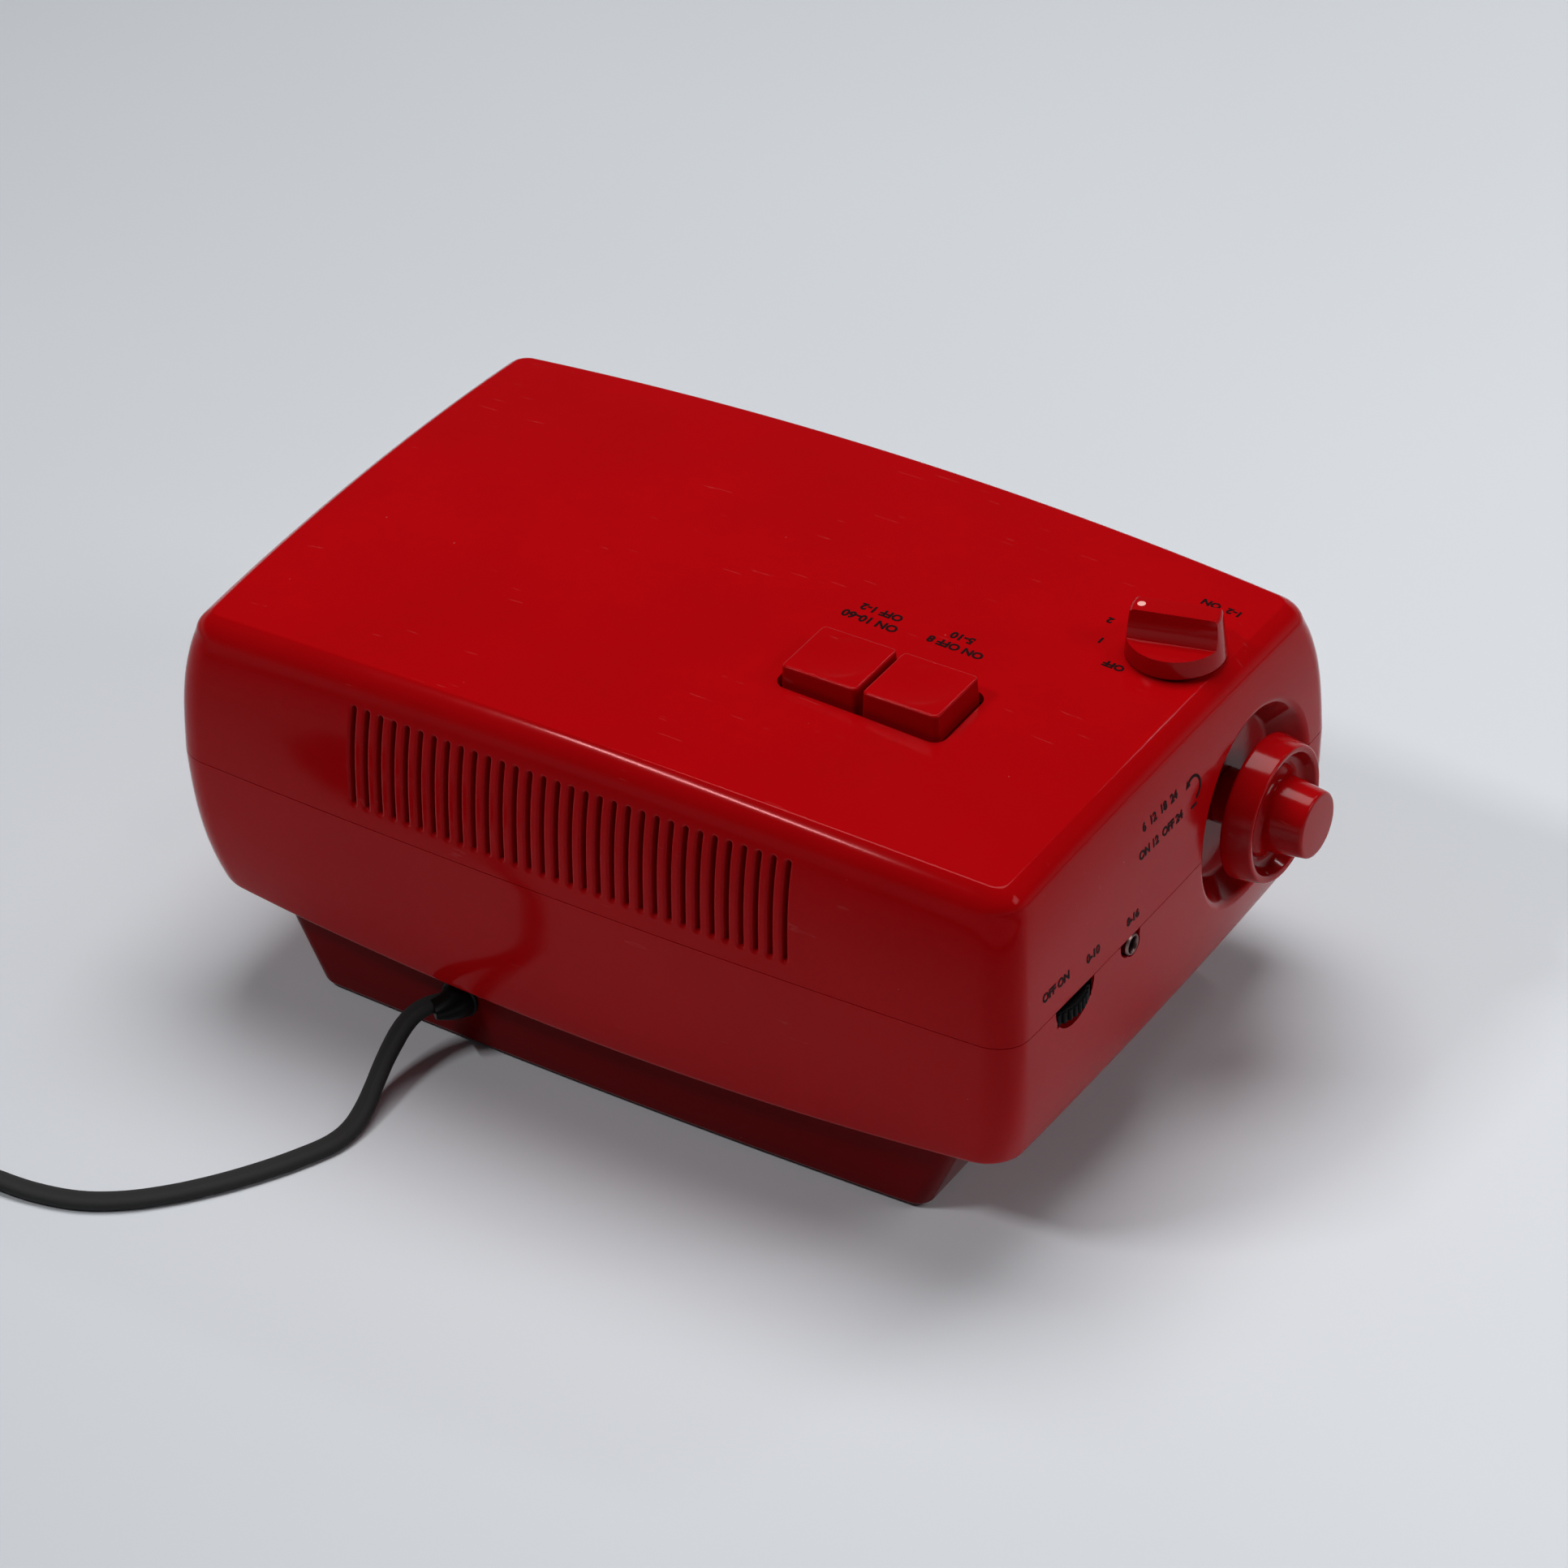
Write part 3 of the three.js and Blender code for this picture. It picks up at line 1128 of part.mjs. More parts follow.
function clockWorks() {
  const alarmEnd = ALARM_DRUM_X + ALARM_DRUM_WIDTH;
  const bore = onClockShaft(-FAR, 0, SHAFT_RADIUS + RUN);
  const shaft = onClockShaft(-(BOSS_END_X - SHAFT_END - GAP), FRAME_RIGHT_X - GAP, SHAFT_RADIUS)
    .add(gear(PINION_TEETH, CARRY_MODULE, CARRY_GEAR_X, AXIS_Y, AXIS_Z, 0));
  const sleeve = onClockShaft(-(RING_BACK_X - SLEEVE_END - GAP), alarmEnd + 1, SLEEVE_RADIUS).subtract(bore);
  const alarm = onClockShaft(ALARM_DRUM_X, alarmEnd, ALARM_DRUM_RADIUS, 36)
    .subtract(onClockShaft(-FAR, 0, SLEEVE_RADIUS + GAP));
  const hour = leafDrum(HOUR_LEFT_X, HOUR_RIGHT_X, HOUR_LEAVES)
    .add(gear(HOUR_GEAR_TEETH, HOUR_MODULE, HOUR_GEAR_X, AXIS_Y, AXIS_Z, 0, true))
    .add(onClockShaft(HOUR_GEAR_X, HOUR_LEFT_X + 1, DRUM_HUB_RADIUS))
    .subtract(bore);
  const minute = leafDrum(MINUTE_LEFT_X, MINUTE_RIGHT_X, MINUTE_LEAVES)
    .add(gear(MINUTE_GEAR_TEETH, MINUTE_MODULE, MINUTE_GEAR_X, AXIS_Y, AXIS_Z, motorTurn))
    .add(onClockShaft(MINUTE_RIGHT_X - 1, MINUTE_GEAR_X + 1, DRUM_HUB_RADIUS))
    .subtract(onClockShaft(-FAR, 0, SHAFT_RADIUS + GAP));
  const carryEnds = [FRAME_LEFT_X + GAP, FRAME_RIGHT_X - GAP];
  const arbor = rod('x', ...carryEnds, arborY, AXIS_Z, ARBOR_RADIUS, ARBOR_RADIUS, 16)
    .add(gear(CARRY_WHEEL_TEETH, CARRY_MODULE, CARRY_GEAR_X, arborY, AXIS_Z, Math.PI, true))
    .add(gear(PINION_TEETH, HOUR_MODULE, HOUR_GEAR_X, arborY, AXIS_Z, Math.PI));
  return [
    piece('clock_frame', clockFrame(), STEEL),
    piece('clock_shaft', shaft, BRASS),
    piece('alarm_sleeve', sleeve, BRASS),
    piece('alarm_drum', alarm, NYLON),
    piece('hour_drum', hour, LEAF_BLACK),
    piece('minute_drum', minute, LEAF_BLACK),
    piece('carry_arbor', arbor, NYLON),
  ];
}

/** The four leaves that show the time, standing against the frame's front bars. */
function shownLeaves() {
  const leaf = (name, x0, x1, z0, z1) =>
    piece(name, box(x0, x1, LEAF_STOP_Y - LEAF_SHOWN, LEAF_STOP_Y, z0, z1), LEAF_BLACK);
  const upper = [AXIS_Z + GAP / 2, AXIS_Z + LEAF_HEIGHT];
  const lower = [AXIS_Z - LEAF_HEIGHT, AXIS_Z - GAP / 2];
  return [
    leaf('hour_leaf_upper', HOUR_LEFT_X, HOUR_RIGHT_X, ...upper),
    leaf('hour_leaf_lower', HOUR_LEFT_X, HOUR_RIGHT_X, ...lower),
    leaf('minute_leaf_upper', MINUTE_LEFT_X, MINUTE_RIGHT_X, ...upper),
    leaf('minute_leaf_lower', MINUTE_LEFT_X, MINUTE_RIGHT_X, ...lower),
  ];
}

function motor() {
  const start = FRAME_RIGHT_X + GAP;
  const can = rod('x', start, start + MOTOR_LENGTH, motorY, motorZ, MOTOR_RADIUS, MOTOR_RADIUS, 32);
  const shaft = rod('x', MINUTE_GEAR_X, start + 2, motorY, motorZ, ARBOR_RADIUS, ARBOR_RADIUS, 16);
  const turn = motorTurn + Math.PI;
  const pinion = gear(PINION_TEETH, MINUTE_MODULE, MINUTE_GEAR_X, motorY, motorZ, turn, true).add(shaft);
  const bore = rod('x', -FAR, start + 2 + GAP, motorY, motorZ, ARBOR_RADIUS + RUN, ARBOR_RADIUS + RUN, 16);
  return [piece('clock_motor', can.subtract(bore), STEEL), piece('motor_pinion', pinion, BRASS)];
}

// ================================================================ tuner
function tuner() {
  const sheet = (x0, x1, high) => box(x0, x1, TUNER_FRONT_Y, TUNER_BACK_Y, TUNER_LOW_Z, high);
  const frame = sheet(TUNER_LEFT_X, TUNER_LEFT_X + FRAME_PLATE, TUNER_HIGH_Z)
    .add(sheet(TUNER_RIGHT_X - FRAME_PLATE, TUNER_RIGHT_X, TUNER_HIGH_Z))
    .add(sheet(TUNER_LEFT_X, TUNER_RIGHT_X, TUNER_LOW_Z + FRAME_PLATE))
    .subtract(rod('x', 0, FAR, AXIS_Y, AXIS_Z, TUNING_SHAFT_RADIUS + RUN));
  const shaft = rod('x', TUNER_LEFT_X + GAP, BOSS_END_X - SHAFT_END - GAP, AXIS_Y, AXIS_Z, TUNING_SHAFT_RADIUS);
  const bore = rod('x', 0, FAR, AXIS_Y, AXIS_Z, TUNING_SHAFT_RADIUS + GAP);
  const drum = rod('x', DIAL_LEFT_X, DIAL_RIGHT_X, AXIS_Y, AXIS_Z, DIAL_RADIUS, DIAL_RADIUS, 36);
  return [
    piece('tuner_frame', frame, STEEL),
    piece('tuning_shaft', shaft, STEEL),
    piece('dial_drum', drum.subtract(bore), NYLON),
    piece('capacitor_rotor', capacitorRotor().subtract(bore), STEEL),
    piece('capacitor_stator', capacitorStator(), STEEL),
  ];
}

/** Half-round plates on a hub, standing towards the back at rest. */
function capacitorRotor() {
  const last = ROTOR_X + (ROTOR_PLATES - 1) * ROTOR_PITCH + ROTOR_PLATE;
  let rotor = rod('x', ROTOR_X, last, AXIS_Y, AXIS_Z, ROTOR_HUB_RADIUS, ROTOR_HUB_RADIUS, 20);
  for (let k = 0; k < ROTOR_PLATES; k += 1) {
    const shape = new THREE.Shape();
    shape.absarc(AXIS_Y, AXIS_Z, ROTOR_RADIUS, -Math.PI / 2, Math.PI / 2);
    const x = ROTOR_X + k * ROTOR_PITCH;
    rotor = rotor.add(prism('x', shape, x, x + ROTOR_PLATE));
  }
  return rotor;
}

/** Fixed plates above the hub, one in each space between the moving ones, on a bar that the frame holds. */
function capacitorStator() {
  const low = AXIS_Z + ROTOR_HUB_RADIUS + 1;
  const high = AXIS_Z + ROTOR_RADIUS + 1;
  const half = ROTOR_RADIUS;
  const end = ROTOR_X + ROTOR_PLATES * ROTOR_PITCH;
  const barStart = TUNER_LEFT_X + FRAME_PLATE + GAP;
  let stator = box(barStart, end, AXIS_Y - half, AXIS_Y + half, high, high + 3);
  for (let k = 0; k < ROTOR_PLATES; k += 1) {
    const x = ROTOR_X + k * ROTOR_PITCH + ROTOR_PITCH / 2;
    stator = stator.add(box(x, x + ROTOR_PLATE, AXIS_Y - half, AXIS_Y + half, low, high + 1));
  }
  return stator;
}

// ================================================================ electronics
const coreLowZ = floorZ(CORE_X + CORE_WIDTH / 2, CORE_Y) + 1.5;

/** The board with what is soldered to it: tuned-coil cans, electrolytics and the aerial rod's two clips. */
function circuitBoard() {
  const low = BOARD_TOP_Z - BOARD;
  let board = box(BOARD_LEFT_X, BOARD_RIGHT_X, BOARD_FRONT_Y, BOARD_BACK_Y, low, BOARD_TOP_Z);
  for (let k = 0; k < COIL_CAN.count; k += 1) {
    const x = BOARD_LEFT_X + COIL_CAN.x + k * COIL_CAN.pitch;
    const y = BOARD_FRONT_Y + COIL_CAN.y;
    const top = BOARD_TOP_Z + COIL_CAN.height;
    board = board.add(box(x, x + COIL_CAN.size, y, y + COIL_CAN.size, low + 1, top));
  }
  for (const { x, y, radius, height } of CAPACITORS) {
    const top = BOARD_TOP_Z + height;
    board = board.add(rod('z', low + 1, top, x, y, radius, radius, 16));
  }
  const clipTop = BOARD_TOP_Z + ROD_LIFT;
  for (const x of [rodCentreX - ROD_LENGTH / 3, rodCentreX + ROD_LENGTH / 3]) {
    board = board.add(box(x - 2, x + 2, ROD_Y - 6, ROD_Y + 6, BOARD_TOP_Z - 0.5, clipTop));
  }
  return board.subtract(rod('x', -FAR, FAR, ROD_Y, clipTop, ROD_RADIUS + GAP, ROD_RADIUS + GAP, 20));
}

const rodCentreX = (BOARD_LEFT_X + BOARD_RIGHT_X) / 2;

function electronics() {
  const rodEnds = [rodCentreX - ROD_LENGTH / 2, rodCentreX + ROD_LENGTH / 2];
  const aerial = rod('x', ...rodEnds, ROD_Y, BOARD_TOP_Z + ROD_LIFT, ROD_RADIUS, ROD_RADIUS, 20);
  const halfWidth = CORE_WIDTH / 2;
  const outer = (half, z0, z1, depth) =>
    box(CORE_X - half, CORE_X + half, CORE_Y - depth / 2, CORE_Y + depth / 2, z0, z1);
  const coreHigh = coreLowZ + CORE_HEIGHT;
  const windowLow = coreLowZ + CORE_LEG;
  const windowHigh = coreHigh - CORE_LEG;
  const core = outer(halfWidth, coreLowZ, coreHigh, CORE_DEPTH)
    .subtract(outer(halfWidth - CORE_LEG, windowLow, windowHigh, 2 * CORE_DEPTH))
    .add(outer(CORE_LEG / 2 + 1, windowLow - 1, windowHigh + 1, CORE_DEPTH));
  const winding = outer(halfWidth - CORE_LEG - GAP, windowLow + GAP, windowHigh - GAP, WINDING_DEPTH)
    .subtract(outer(CORE_LEG / 2 + 1 + GAP, 0, FAR, CORE_DEPTH + 2 * GAP));
  return [
    piece('circuit_board', circuitBoard(), BOARD_TAN),
    piece('aerial_rod', aerial, FERRITE),
    piece('transformer_core', core, STEEL),
    piece('transformer_winding', winding, COPPER),
  ];
}

// ================================================================ screws
function screws() {
  return screwPlaces.map(({ name, end, x, y }) => {
    const seat = SCREW_WEB_TOP_Z - SCREW_WEB - GAP;
    const body = turned(
      'z',
      [
        [0, seat - SCREW_HEAD],
        [SCREW_HEAD_RADIUS, seat - SCREW_HEAD],
        [SCREW_HEAD_RADIUS, seat],
        [SCREW_RADIUS, seat],
        [SCREW_RADIUS, seat + SCREW_LENGTH - 1.5],
        [0, seat + SCREW_LENGTH],
      ],
      x,
      y,
      14,
    );
    return piece(`case_screw_${end}_${name}`, body, STEEL);
  });
}

// ================================================================ cord, coil, plug
/** Moves a piece of the cord from the route's own frame to its place behind the pedestal. */
function behindPedestal(body) {
  return body.translate([0, standWallY, 0]);
}

/** A flat cord along points: wide side level, with rounded edges. */
function flatCord(points, name) {
  const curve = new THREE.CatmullRomCurve3(points.map((p) => new THREE.Vector3(...p)), false, 'centripetal');
  const section = roundedRectangle(0, 0, CORD_THICKNESS / 2, CORD_WIDTH / 2, CORD_THICKNESS / 2 - 0.01);
  const steps = Math.max(2, Math.round(curve.getLength() / CORD_STEP));
  const geometry = new THREE.ExtrudeGeometry(section, { steps, extrudePath: curve, curveSegments: 1 });
  return piece(name, behindPedestal(solid(geometry)), CORD_BLACK);
}

function cordCoil() {
  const high = COIL_LOW_Z + COIL_HEIGHT - 0.2;
  const edge = 1.5;
  const ring = turned(
    'z',
    [
      [COIL_INNER, COIL_LOW_Z + edge],
      [COIL_INNER + edge, COIL_LOW_Z],
      [COIL_OUTER - edge, COIL_LOW_Z],
      [COIL_OUTER, COIL_LOW_Z + edge],
      [COIL_OUTER, high - edge],
      [COIL_OUTER - edge, high],
      [COIL_INNER + edge, high],
      [COIL_INNER, high - edge],
      [COIL_INNER, COIL_LOW_Z + edge],
    ],
    COIL_X,
    COIL_Y,
  );
  return piece('cord_coil', behindPedestal(ring), CORD_BLACK);
}

function plug() {
  const low = PLUG_START_Y + PLUG_NOSE;
  const high = low + PLUG_LENGTH;
  const block = (halfX, y0, y1, halfZ, x = PLUG_X) =>
    box(x - halfX, x + halfX, y0, y1, PLUG_Z - halfZ, PLUG_Z + halfZ);
  const nose = rod('y', PLUG_START_Y, low + 1, PLUG_X, PLUG_Z, CORD_WIDTH / 2 + 0.6, 6, 20);
  let plugBody = block(PLUG_WIDTH / 2, low, high, PLUG_HEIGHT / 2).add(nose);
  const blades = [-1, 1].map((side) => {
    const x = PLUG_X + (side * BLADE_SPACING) / 2;
    const root = high - BLADE_ROOT;
    plugBody = plugBody.subtract(block(BLADE / 2 + GAP, root - GAP, FAR, BLADE_WIDTH / 2 + GAP, x));
    const blade = block(BLADE / 2, root, high + BLADE_LENGTH, BLADE_WIDTH / 2, x);
    return piece(`plug_blade_${side < 0 ? 'left' : 'right'}`, behindPedestal(blade), BRASS);
  });
  return [piece('plug_body', behindPedestal(plugBody), RUBBER), ...blades];
}

// ================================================================ the whole radio
const radio = new THREE.Group();
radio.add(
  piece('upper_shell', upperShell(), RED),
  piece('lower_shell', lowerShell(), RED),
  piece('pedestal', pedestal(), RED),
  ...feet(),
  gland(),
  ...front(),
  ...speaker(),
  piece('time_set_knob', timeKnob(), RED),
  piece('alarm_set_knob', ringKnob(), RED),
  piece('tuning_knob', tuningKnob(), RED),
  piece('mode_knob', modeKnob(), RED),
  ...modeWorks(),
  ...keys(),
  ...volume(),
  ...jack(),
  ...clockWorks(),
  ...shownLeaves(),
  ...motor(),
  ...tuner(),
  ...electronics(),
  ...screws(),
  flatCord(CORD_ROUTE, 'power_cord'),
  cordCoil(),
  flatCord(TAIL_ROUTE, 'cord_tail'),
  ...plug(),
);

export default radio;
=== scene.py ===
"""A bedside flip-clock radio in a glossy two-part case on an inset pedestal.

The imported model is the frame: every piece made here rides on one of its bodies, and the sizes are in
millimetres until a mesh is made.
"""

import json
import logging
import math
from dataclasses import dataclass
from enum import Enum
from typing import Any, Callable, Sequence

import bmesh
import bpy
import numpy as np
from mathutils import Matrix, Vector
from mathutils.bvhtree import BVHTree


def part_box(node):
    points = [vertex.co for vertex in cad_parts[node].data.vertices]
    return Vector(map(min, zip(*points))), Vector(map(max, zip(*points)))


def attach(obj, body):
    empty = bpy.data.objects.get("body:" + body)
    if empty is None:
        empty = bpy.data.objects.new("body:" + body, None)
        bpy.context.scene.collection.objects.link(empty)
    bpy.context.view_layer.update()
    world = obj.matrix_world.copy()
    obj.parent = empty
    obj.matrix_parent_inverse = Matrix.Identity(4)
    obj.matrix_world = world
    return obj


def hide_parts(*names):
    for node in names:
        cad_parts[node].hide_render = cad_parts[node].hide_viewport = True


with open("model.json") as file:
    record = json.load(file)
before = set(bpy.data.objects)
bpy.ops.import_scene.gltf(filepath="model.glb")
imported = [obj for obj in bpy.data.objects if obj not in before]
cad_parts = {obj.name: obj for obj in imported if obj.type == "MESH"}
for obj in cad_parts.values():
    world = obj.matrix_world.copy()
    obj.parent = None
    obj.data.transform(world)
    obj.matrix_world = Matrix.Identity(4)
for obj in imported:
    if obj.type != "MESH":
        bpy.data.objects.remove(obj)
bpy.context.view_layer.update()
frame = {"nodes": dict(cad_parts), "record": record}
MM = 0.001
LOG = logging.getLogger("radio")
Point = Sequence[float]


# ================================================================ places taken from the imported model
@dataclass(frozen=True)
class Span:
    """A CAD node's box at rest, in millimetres."""

    low: Vector
    high: Vector

    @classmethod
    def of(cls, node: str) -> "Span":
        """The box of the named CAD node."""
        low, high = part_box(node)
        return cls(Vector(low) / MM, Vector(high) / MM)

    @property
    def centre(self) -> Vector:
        """The middle of the box."""
        return (self.low + self.high) / 2

    @property
    def size(self) -> Vector:
        """The box's three sides."""
        return self.high - self.low


class Axis(Enum):
    """The direction that a turned or drawn form runs along."""

    X = 0
    Y = 1
    Z = 2

    def place(self, along: float, a: float, b: float) -> tuple[float, float, float]:
        """A point from its position along the axis and the two other coordinates in order."""
        if self is Axis.X:
            return (along, a, b)
        if self is Axis.Y:
            return (a, along, b)
        return (a, b, along)


# ================================================================ meshes
def new_object(name: str, points: Sequence[Point], faces: Sequence[Sequence[int]]) -> bpy.types.Object:
    """Makes an object at the origin.

    Args:
        name: The object's name.
        points: Its points, in millimetres.
        faces: Each face's point numbers, anticlockwise from outside.

    Returns:
        The object, linked to the scene.
    """
    mesh = bpy.data.meshes.new(name)
    mesh.from_pydata([tuple(float(c) * MM for c in p) for p in points], [], [list(f) for f in faces])
    mesh.update()
    obj = bpy.data.objects.new(name, mesh)
    bpy.context.scene.collection.objects.link(obj)
    return obj


def settle(obj: bpy.types.Object) -> bpy.types.Object:
    """Turns what obj's modifiers make into its plain mesh."""
    graph = bpy.context.evaluated_depsgraph_get()
    mesh = bpy.data.meshes.new_from_object(obj.evaluated_get(graph))
    old = obj.data
    obj.modifiers.clear()
    obj.data = mesh
    bpy.data.meshes.remove(old)
    mesh.name = obj.name
    return obj


def discard(obj: bpy.types.Object) -> None:
    """Removes obj and its mesh."""
    mesh = obj.data
    bpy.data.objects.remove(obj)
    bpy.data.meshes.remove(mesh)


class Cut(Enum):
    """What a boolean does with the second solid."""

    AWAY = "DIFFERENCE"
    ADD = "UNION"
    KEEP = "INTERSECT"


def combine(obj: bpy.types.Object, how: Cut, *others: bpy.types.Object) -> bpy.types.Object:
    """Combines obj with other solids, which are used up.

    Args:
        obj: The solid that is changed.
        how: What is done with the others.
        others: Closed solids.

    Returns:
        obj.
    """
    for other in others:
        modifier = obj.modifiers.new("combine", "BOOLEAN")
        modifier.operation = how.value
        modifier.solver = "MANIFOLD"
        modifier.object = other
        settle(obj)
        discard(other)
    return obj


def block(low: Point, high: Point, name: str = "block") -> bpy.types.Object:
    """A plain box, used to cut with."""
    points = [(x, y, z) for x in (low[0], high[0]) for y in (low[1], high[1]) for z in (low[2], high[2])]
    faces = [(0, 1, 3, 2), (4, 6, 7, 5), (0, 4, 5, 1), (2, 3, 7, 6), (0, 2, 6, 4), (1, 5, 7, 3)]
    return new_object(name, points, faces)


def smoothed(obj: bpy.types.Object, angle: float = 32) -> bpy.types.Object:
    """Shades obj smooth, with edges sharper than angle degrees kept crisp."""
    obj.data.shade_smooth()
    obj.data.set_sharp_from_angle(angle=math.radians(angle))
    return obj


def bevelled(obj: bpy.types.Object, width: float, steps: int = 3, angle: float = 30) -> bpy.types.Object:
    """Rounds obj's edges.

    Args:
        obj: The object.
        width: The rounding's size, in millimetres.
        steps: Facets across it.
        angle: Edges flatter than this many degrees are left.

    Returns:
        obj, shaded smooth.
    """
    modifier = obj.modifiers.new("edges", "BEVEL")
    modifier.width = width * MM
    modifier.segments = steps
    modifier.limit_method = "ANGLE"
    modifier.angle_limit = math.radians(angle)
    modifier.use_clamp_overlap = True
    modifier.miter_outer = "MITER_ARC"
    modifier.harden_normals = False
    return smoothed(settle(obj), 40)


def cleaned(obj: bpy.types.Object, flat: float = 0.6) -> bpy.types.Object:
    """Merges obj's double points and joins its flat faces, so that its edges can be rounded."""
    work = bmesh.new()
    work.from_mesh(obj.data)
    bmesh.ops.remove_doubles(work, verts=work.verts, dist=0.004 * MM)
    bmesh.ops.dissolve_limit(work, angle_limit=math.radians(flat), verts=work.verts, edges=work.edges)
    bmesh.ops.connect_verts_concave(work, faces=work.faces)
    work.to_mesh(obj.data)
    work.free()
    return obj


def joined(name: str, *parts: bpy.types.Object) -> bpy.types.Object:
    """Makes one object of several, which are used up.

    Args:
        name: The new object's name.
        parts: The objects, each with one material or none.

    Returns:
        The object, with each part's material kept.
    """
    work = bmesh.new()
    materials: list[bpy.types.Material] = []
    for part in parts:
        start = len(work.faces)
        work.from_mesh(part.data)
        work.faces.ensure_lookup_table()
        if part.data.materials:
            material = part.data.materials[0]
            if material not in materials:
                materials.append(material)
            for face in work.faces[start:]:
                face.material_index = materials.index(material)
        discard(part)
    obj = new_object(name, [], [])
    work.to_mesh(obj.data)
    work.free()
    for material in materials:
        obj.data.materials.append(material)
    return obj


# ================================================================ turned and drawn forms
def filleted(corners: Sequence[tuple[float, float, float]], steps: int = 5) -> list[tuple[float, float]]:
    """A profile whose corners are rounded.

    Args:
        corners: (along, radius, rounding) of each corner in order; a rounding of 0 keeps it sharp.
        steps: Facets across each rounding.

    Returns:
        The profile's points.
    """
    line: list[tuple[float, float]] = []
    for k, (a, r, rounding) in enumerate(corners):
        here = np.array((a, r))
        if rounding <= 0 or k in (0, len(corners) - 1):
            line.append((a, r))
            continue
        before = np.array(corners[k - 1][:2]) - here
        after = np.array(corners[k + 1][:2]) - here
        reach_in, reach_out = np.linalg.norm(before), np.linalg.norm(after)
        before, after = before / reach_in, after / reach_out
        half = math.acos(float(np.clip(before @ after, -1, 1))) / 2
        if half > math.radians(88):
            line.append((a, r))
            continue
        back = min(rounding / math.tan(half), 0.48 * reach_in, 0.48 * reach_out)
        start, end = here + before * back, here + after * back
        for step in range(steps + 1):
            t = step / steps
            point = start * (1 - t) ** 2 + here * 2 * t * (1 - t) + end * t**2
            line.append((float(point[0]), float(point[1])))
    return line


def turned(
    name: str,
    profile: Sequence[tuple[float, float]],
    axis: Axis,
    centre: tuple[float, float],
    sides: int = 96,
) -> bpy.types.Object:
    """Turns a profile round an axis into a closed form.

    Args:
        name: The object's name.
        profile: (along, radius) from one end to the other; radii of 0 close the ends, and otherwise the
            last point joins the first.
        axis: The axis's direction.
        centre: Its two other coordinates, in order.
        sides: Facets round the axis.

    Returns:
        The object, with its faces outwards.
    """
    points: list[Point] = []
    rings: list[list[int]] = []
    for along, radius in profile:
        if radius < 1e-6:
            points.append(axis.place(along, *centre))
            rings.append([len(points) - 1])
            continue
        first = len(points)
        for k in range(sides):
            angle = 2 * math.pi * k / sides
            points.append(
                axis.place(along, centre[0] + radius * math.cos(angle), centre[1] + radius * math.sin(angle))
            )
        rings.append(list(range(first, first + sides)))
    faces: list[list[int]] = []
    pairs = list(zip(rings, rings[1:]))
    if len(rings[0]) > 1 or len(rings[-1]) > 1:
        pairs.append((rings[-1], rings[0]))
    for low, high in pairs:
        for k in range(sides):
            face = [low[k % len(low)], low[(k + 1) % len(low)], high[(k + 1) % len(high)], high[k % len(high)]]
            face = list(dict.fromkeys(face))
            if len(face) > 2:
                faces.append(face)
    return outwards(new_object(name, points, faces))


def outwards(obj: bpy.types.Object) -> bpy.types.Object:
    """Turns the faces of obj's closed solids outwards, by the sign of each solid's volume."""
    work = bmesh.new()
    work.from_mesh(obj.data)
    bmesh.ops.recalc_face_normals(work, faces=work.faces)
    if work.calc_volume(signed=True) < 0:
        bmesh.ops.reverse_faces(work, faces=work.faces)
    work.to_mesh(obj.data)
    work.free()
    return obj


def shaped(obj: bpy.types.Object, place: Callable[[float, float, float], Point]) -> bpy.types.Object:
    """Moves every point of obj, in millimetres, to where place puts it."""
    for vertex in obj.data.vertices:
        vertex.co = Vector(place(*(vertex.co / MM))) * MM
    obj.data.update()
    return outwards(obj)


def drawn(
    name: str, outline: Sequence[tuple[float, float]], axis: Axis, low: float, high: float
) -> bpy.types.Object:
    """Draws a flat outline out along an axis.

    Args:
        name: The object's name.
        outline: The outline's points, in the two other coordinates in order.
        axis: The direction.
        low: Where it starts, in millimetres.
        high: Where it ends.

    Returns:
        The closed object, with its faces outwards.
    """
    count = len(outline)
    points = [axis.place(low, a, b) for a, b in outline] + [axis.place(high, a, b) for a, b in outline]
    faces = [list(range(count)), list(range(2 * count - 1, count - 1, -1))]
    faces += [[k, (k + 1) % count, count + (k + 1) % count, count + k] for k in range(count)]
    return outwards(new_object(name, points, faces))


def rounded_outline(
    centre: tuple[float, float], half: tuple[float, float], radius: float, steps: int = 8
) -> list[tuple[float, float]]:
    """A rectangle with round corners, as points in order."""
    line = []
    for quarter, (sx, sy) in enumerate(((1, 1), (-1, 1), (-1, -1), (1, -1))):
        for step in range(steps + 1):
            angle = math.pi / 2 * (quarter + step / steps)
            x = centre[0] + sx * (half[0] - radius) + radius * math.cos(angle)
            y = centre[1] + sy * (half[1] - radius) + radius * math.sin(angle)
            line.append((x, y))
    return line


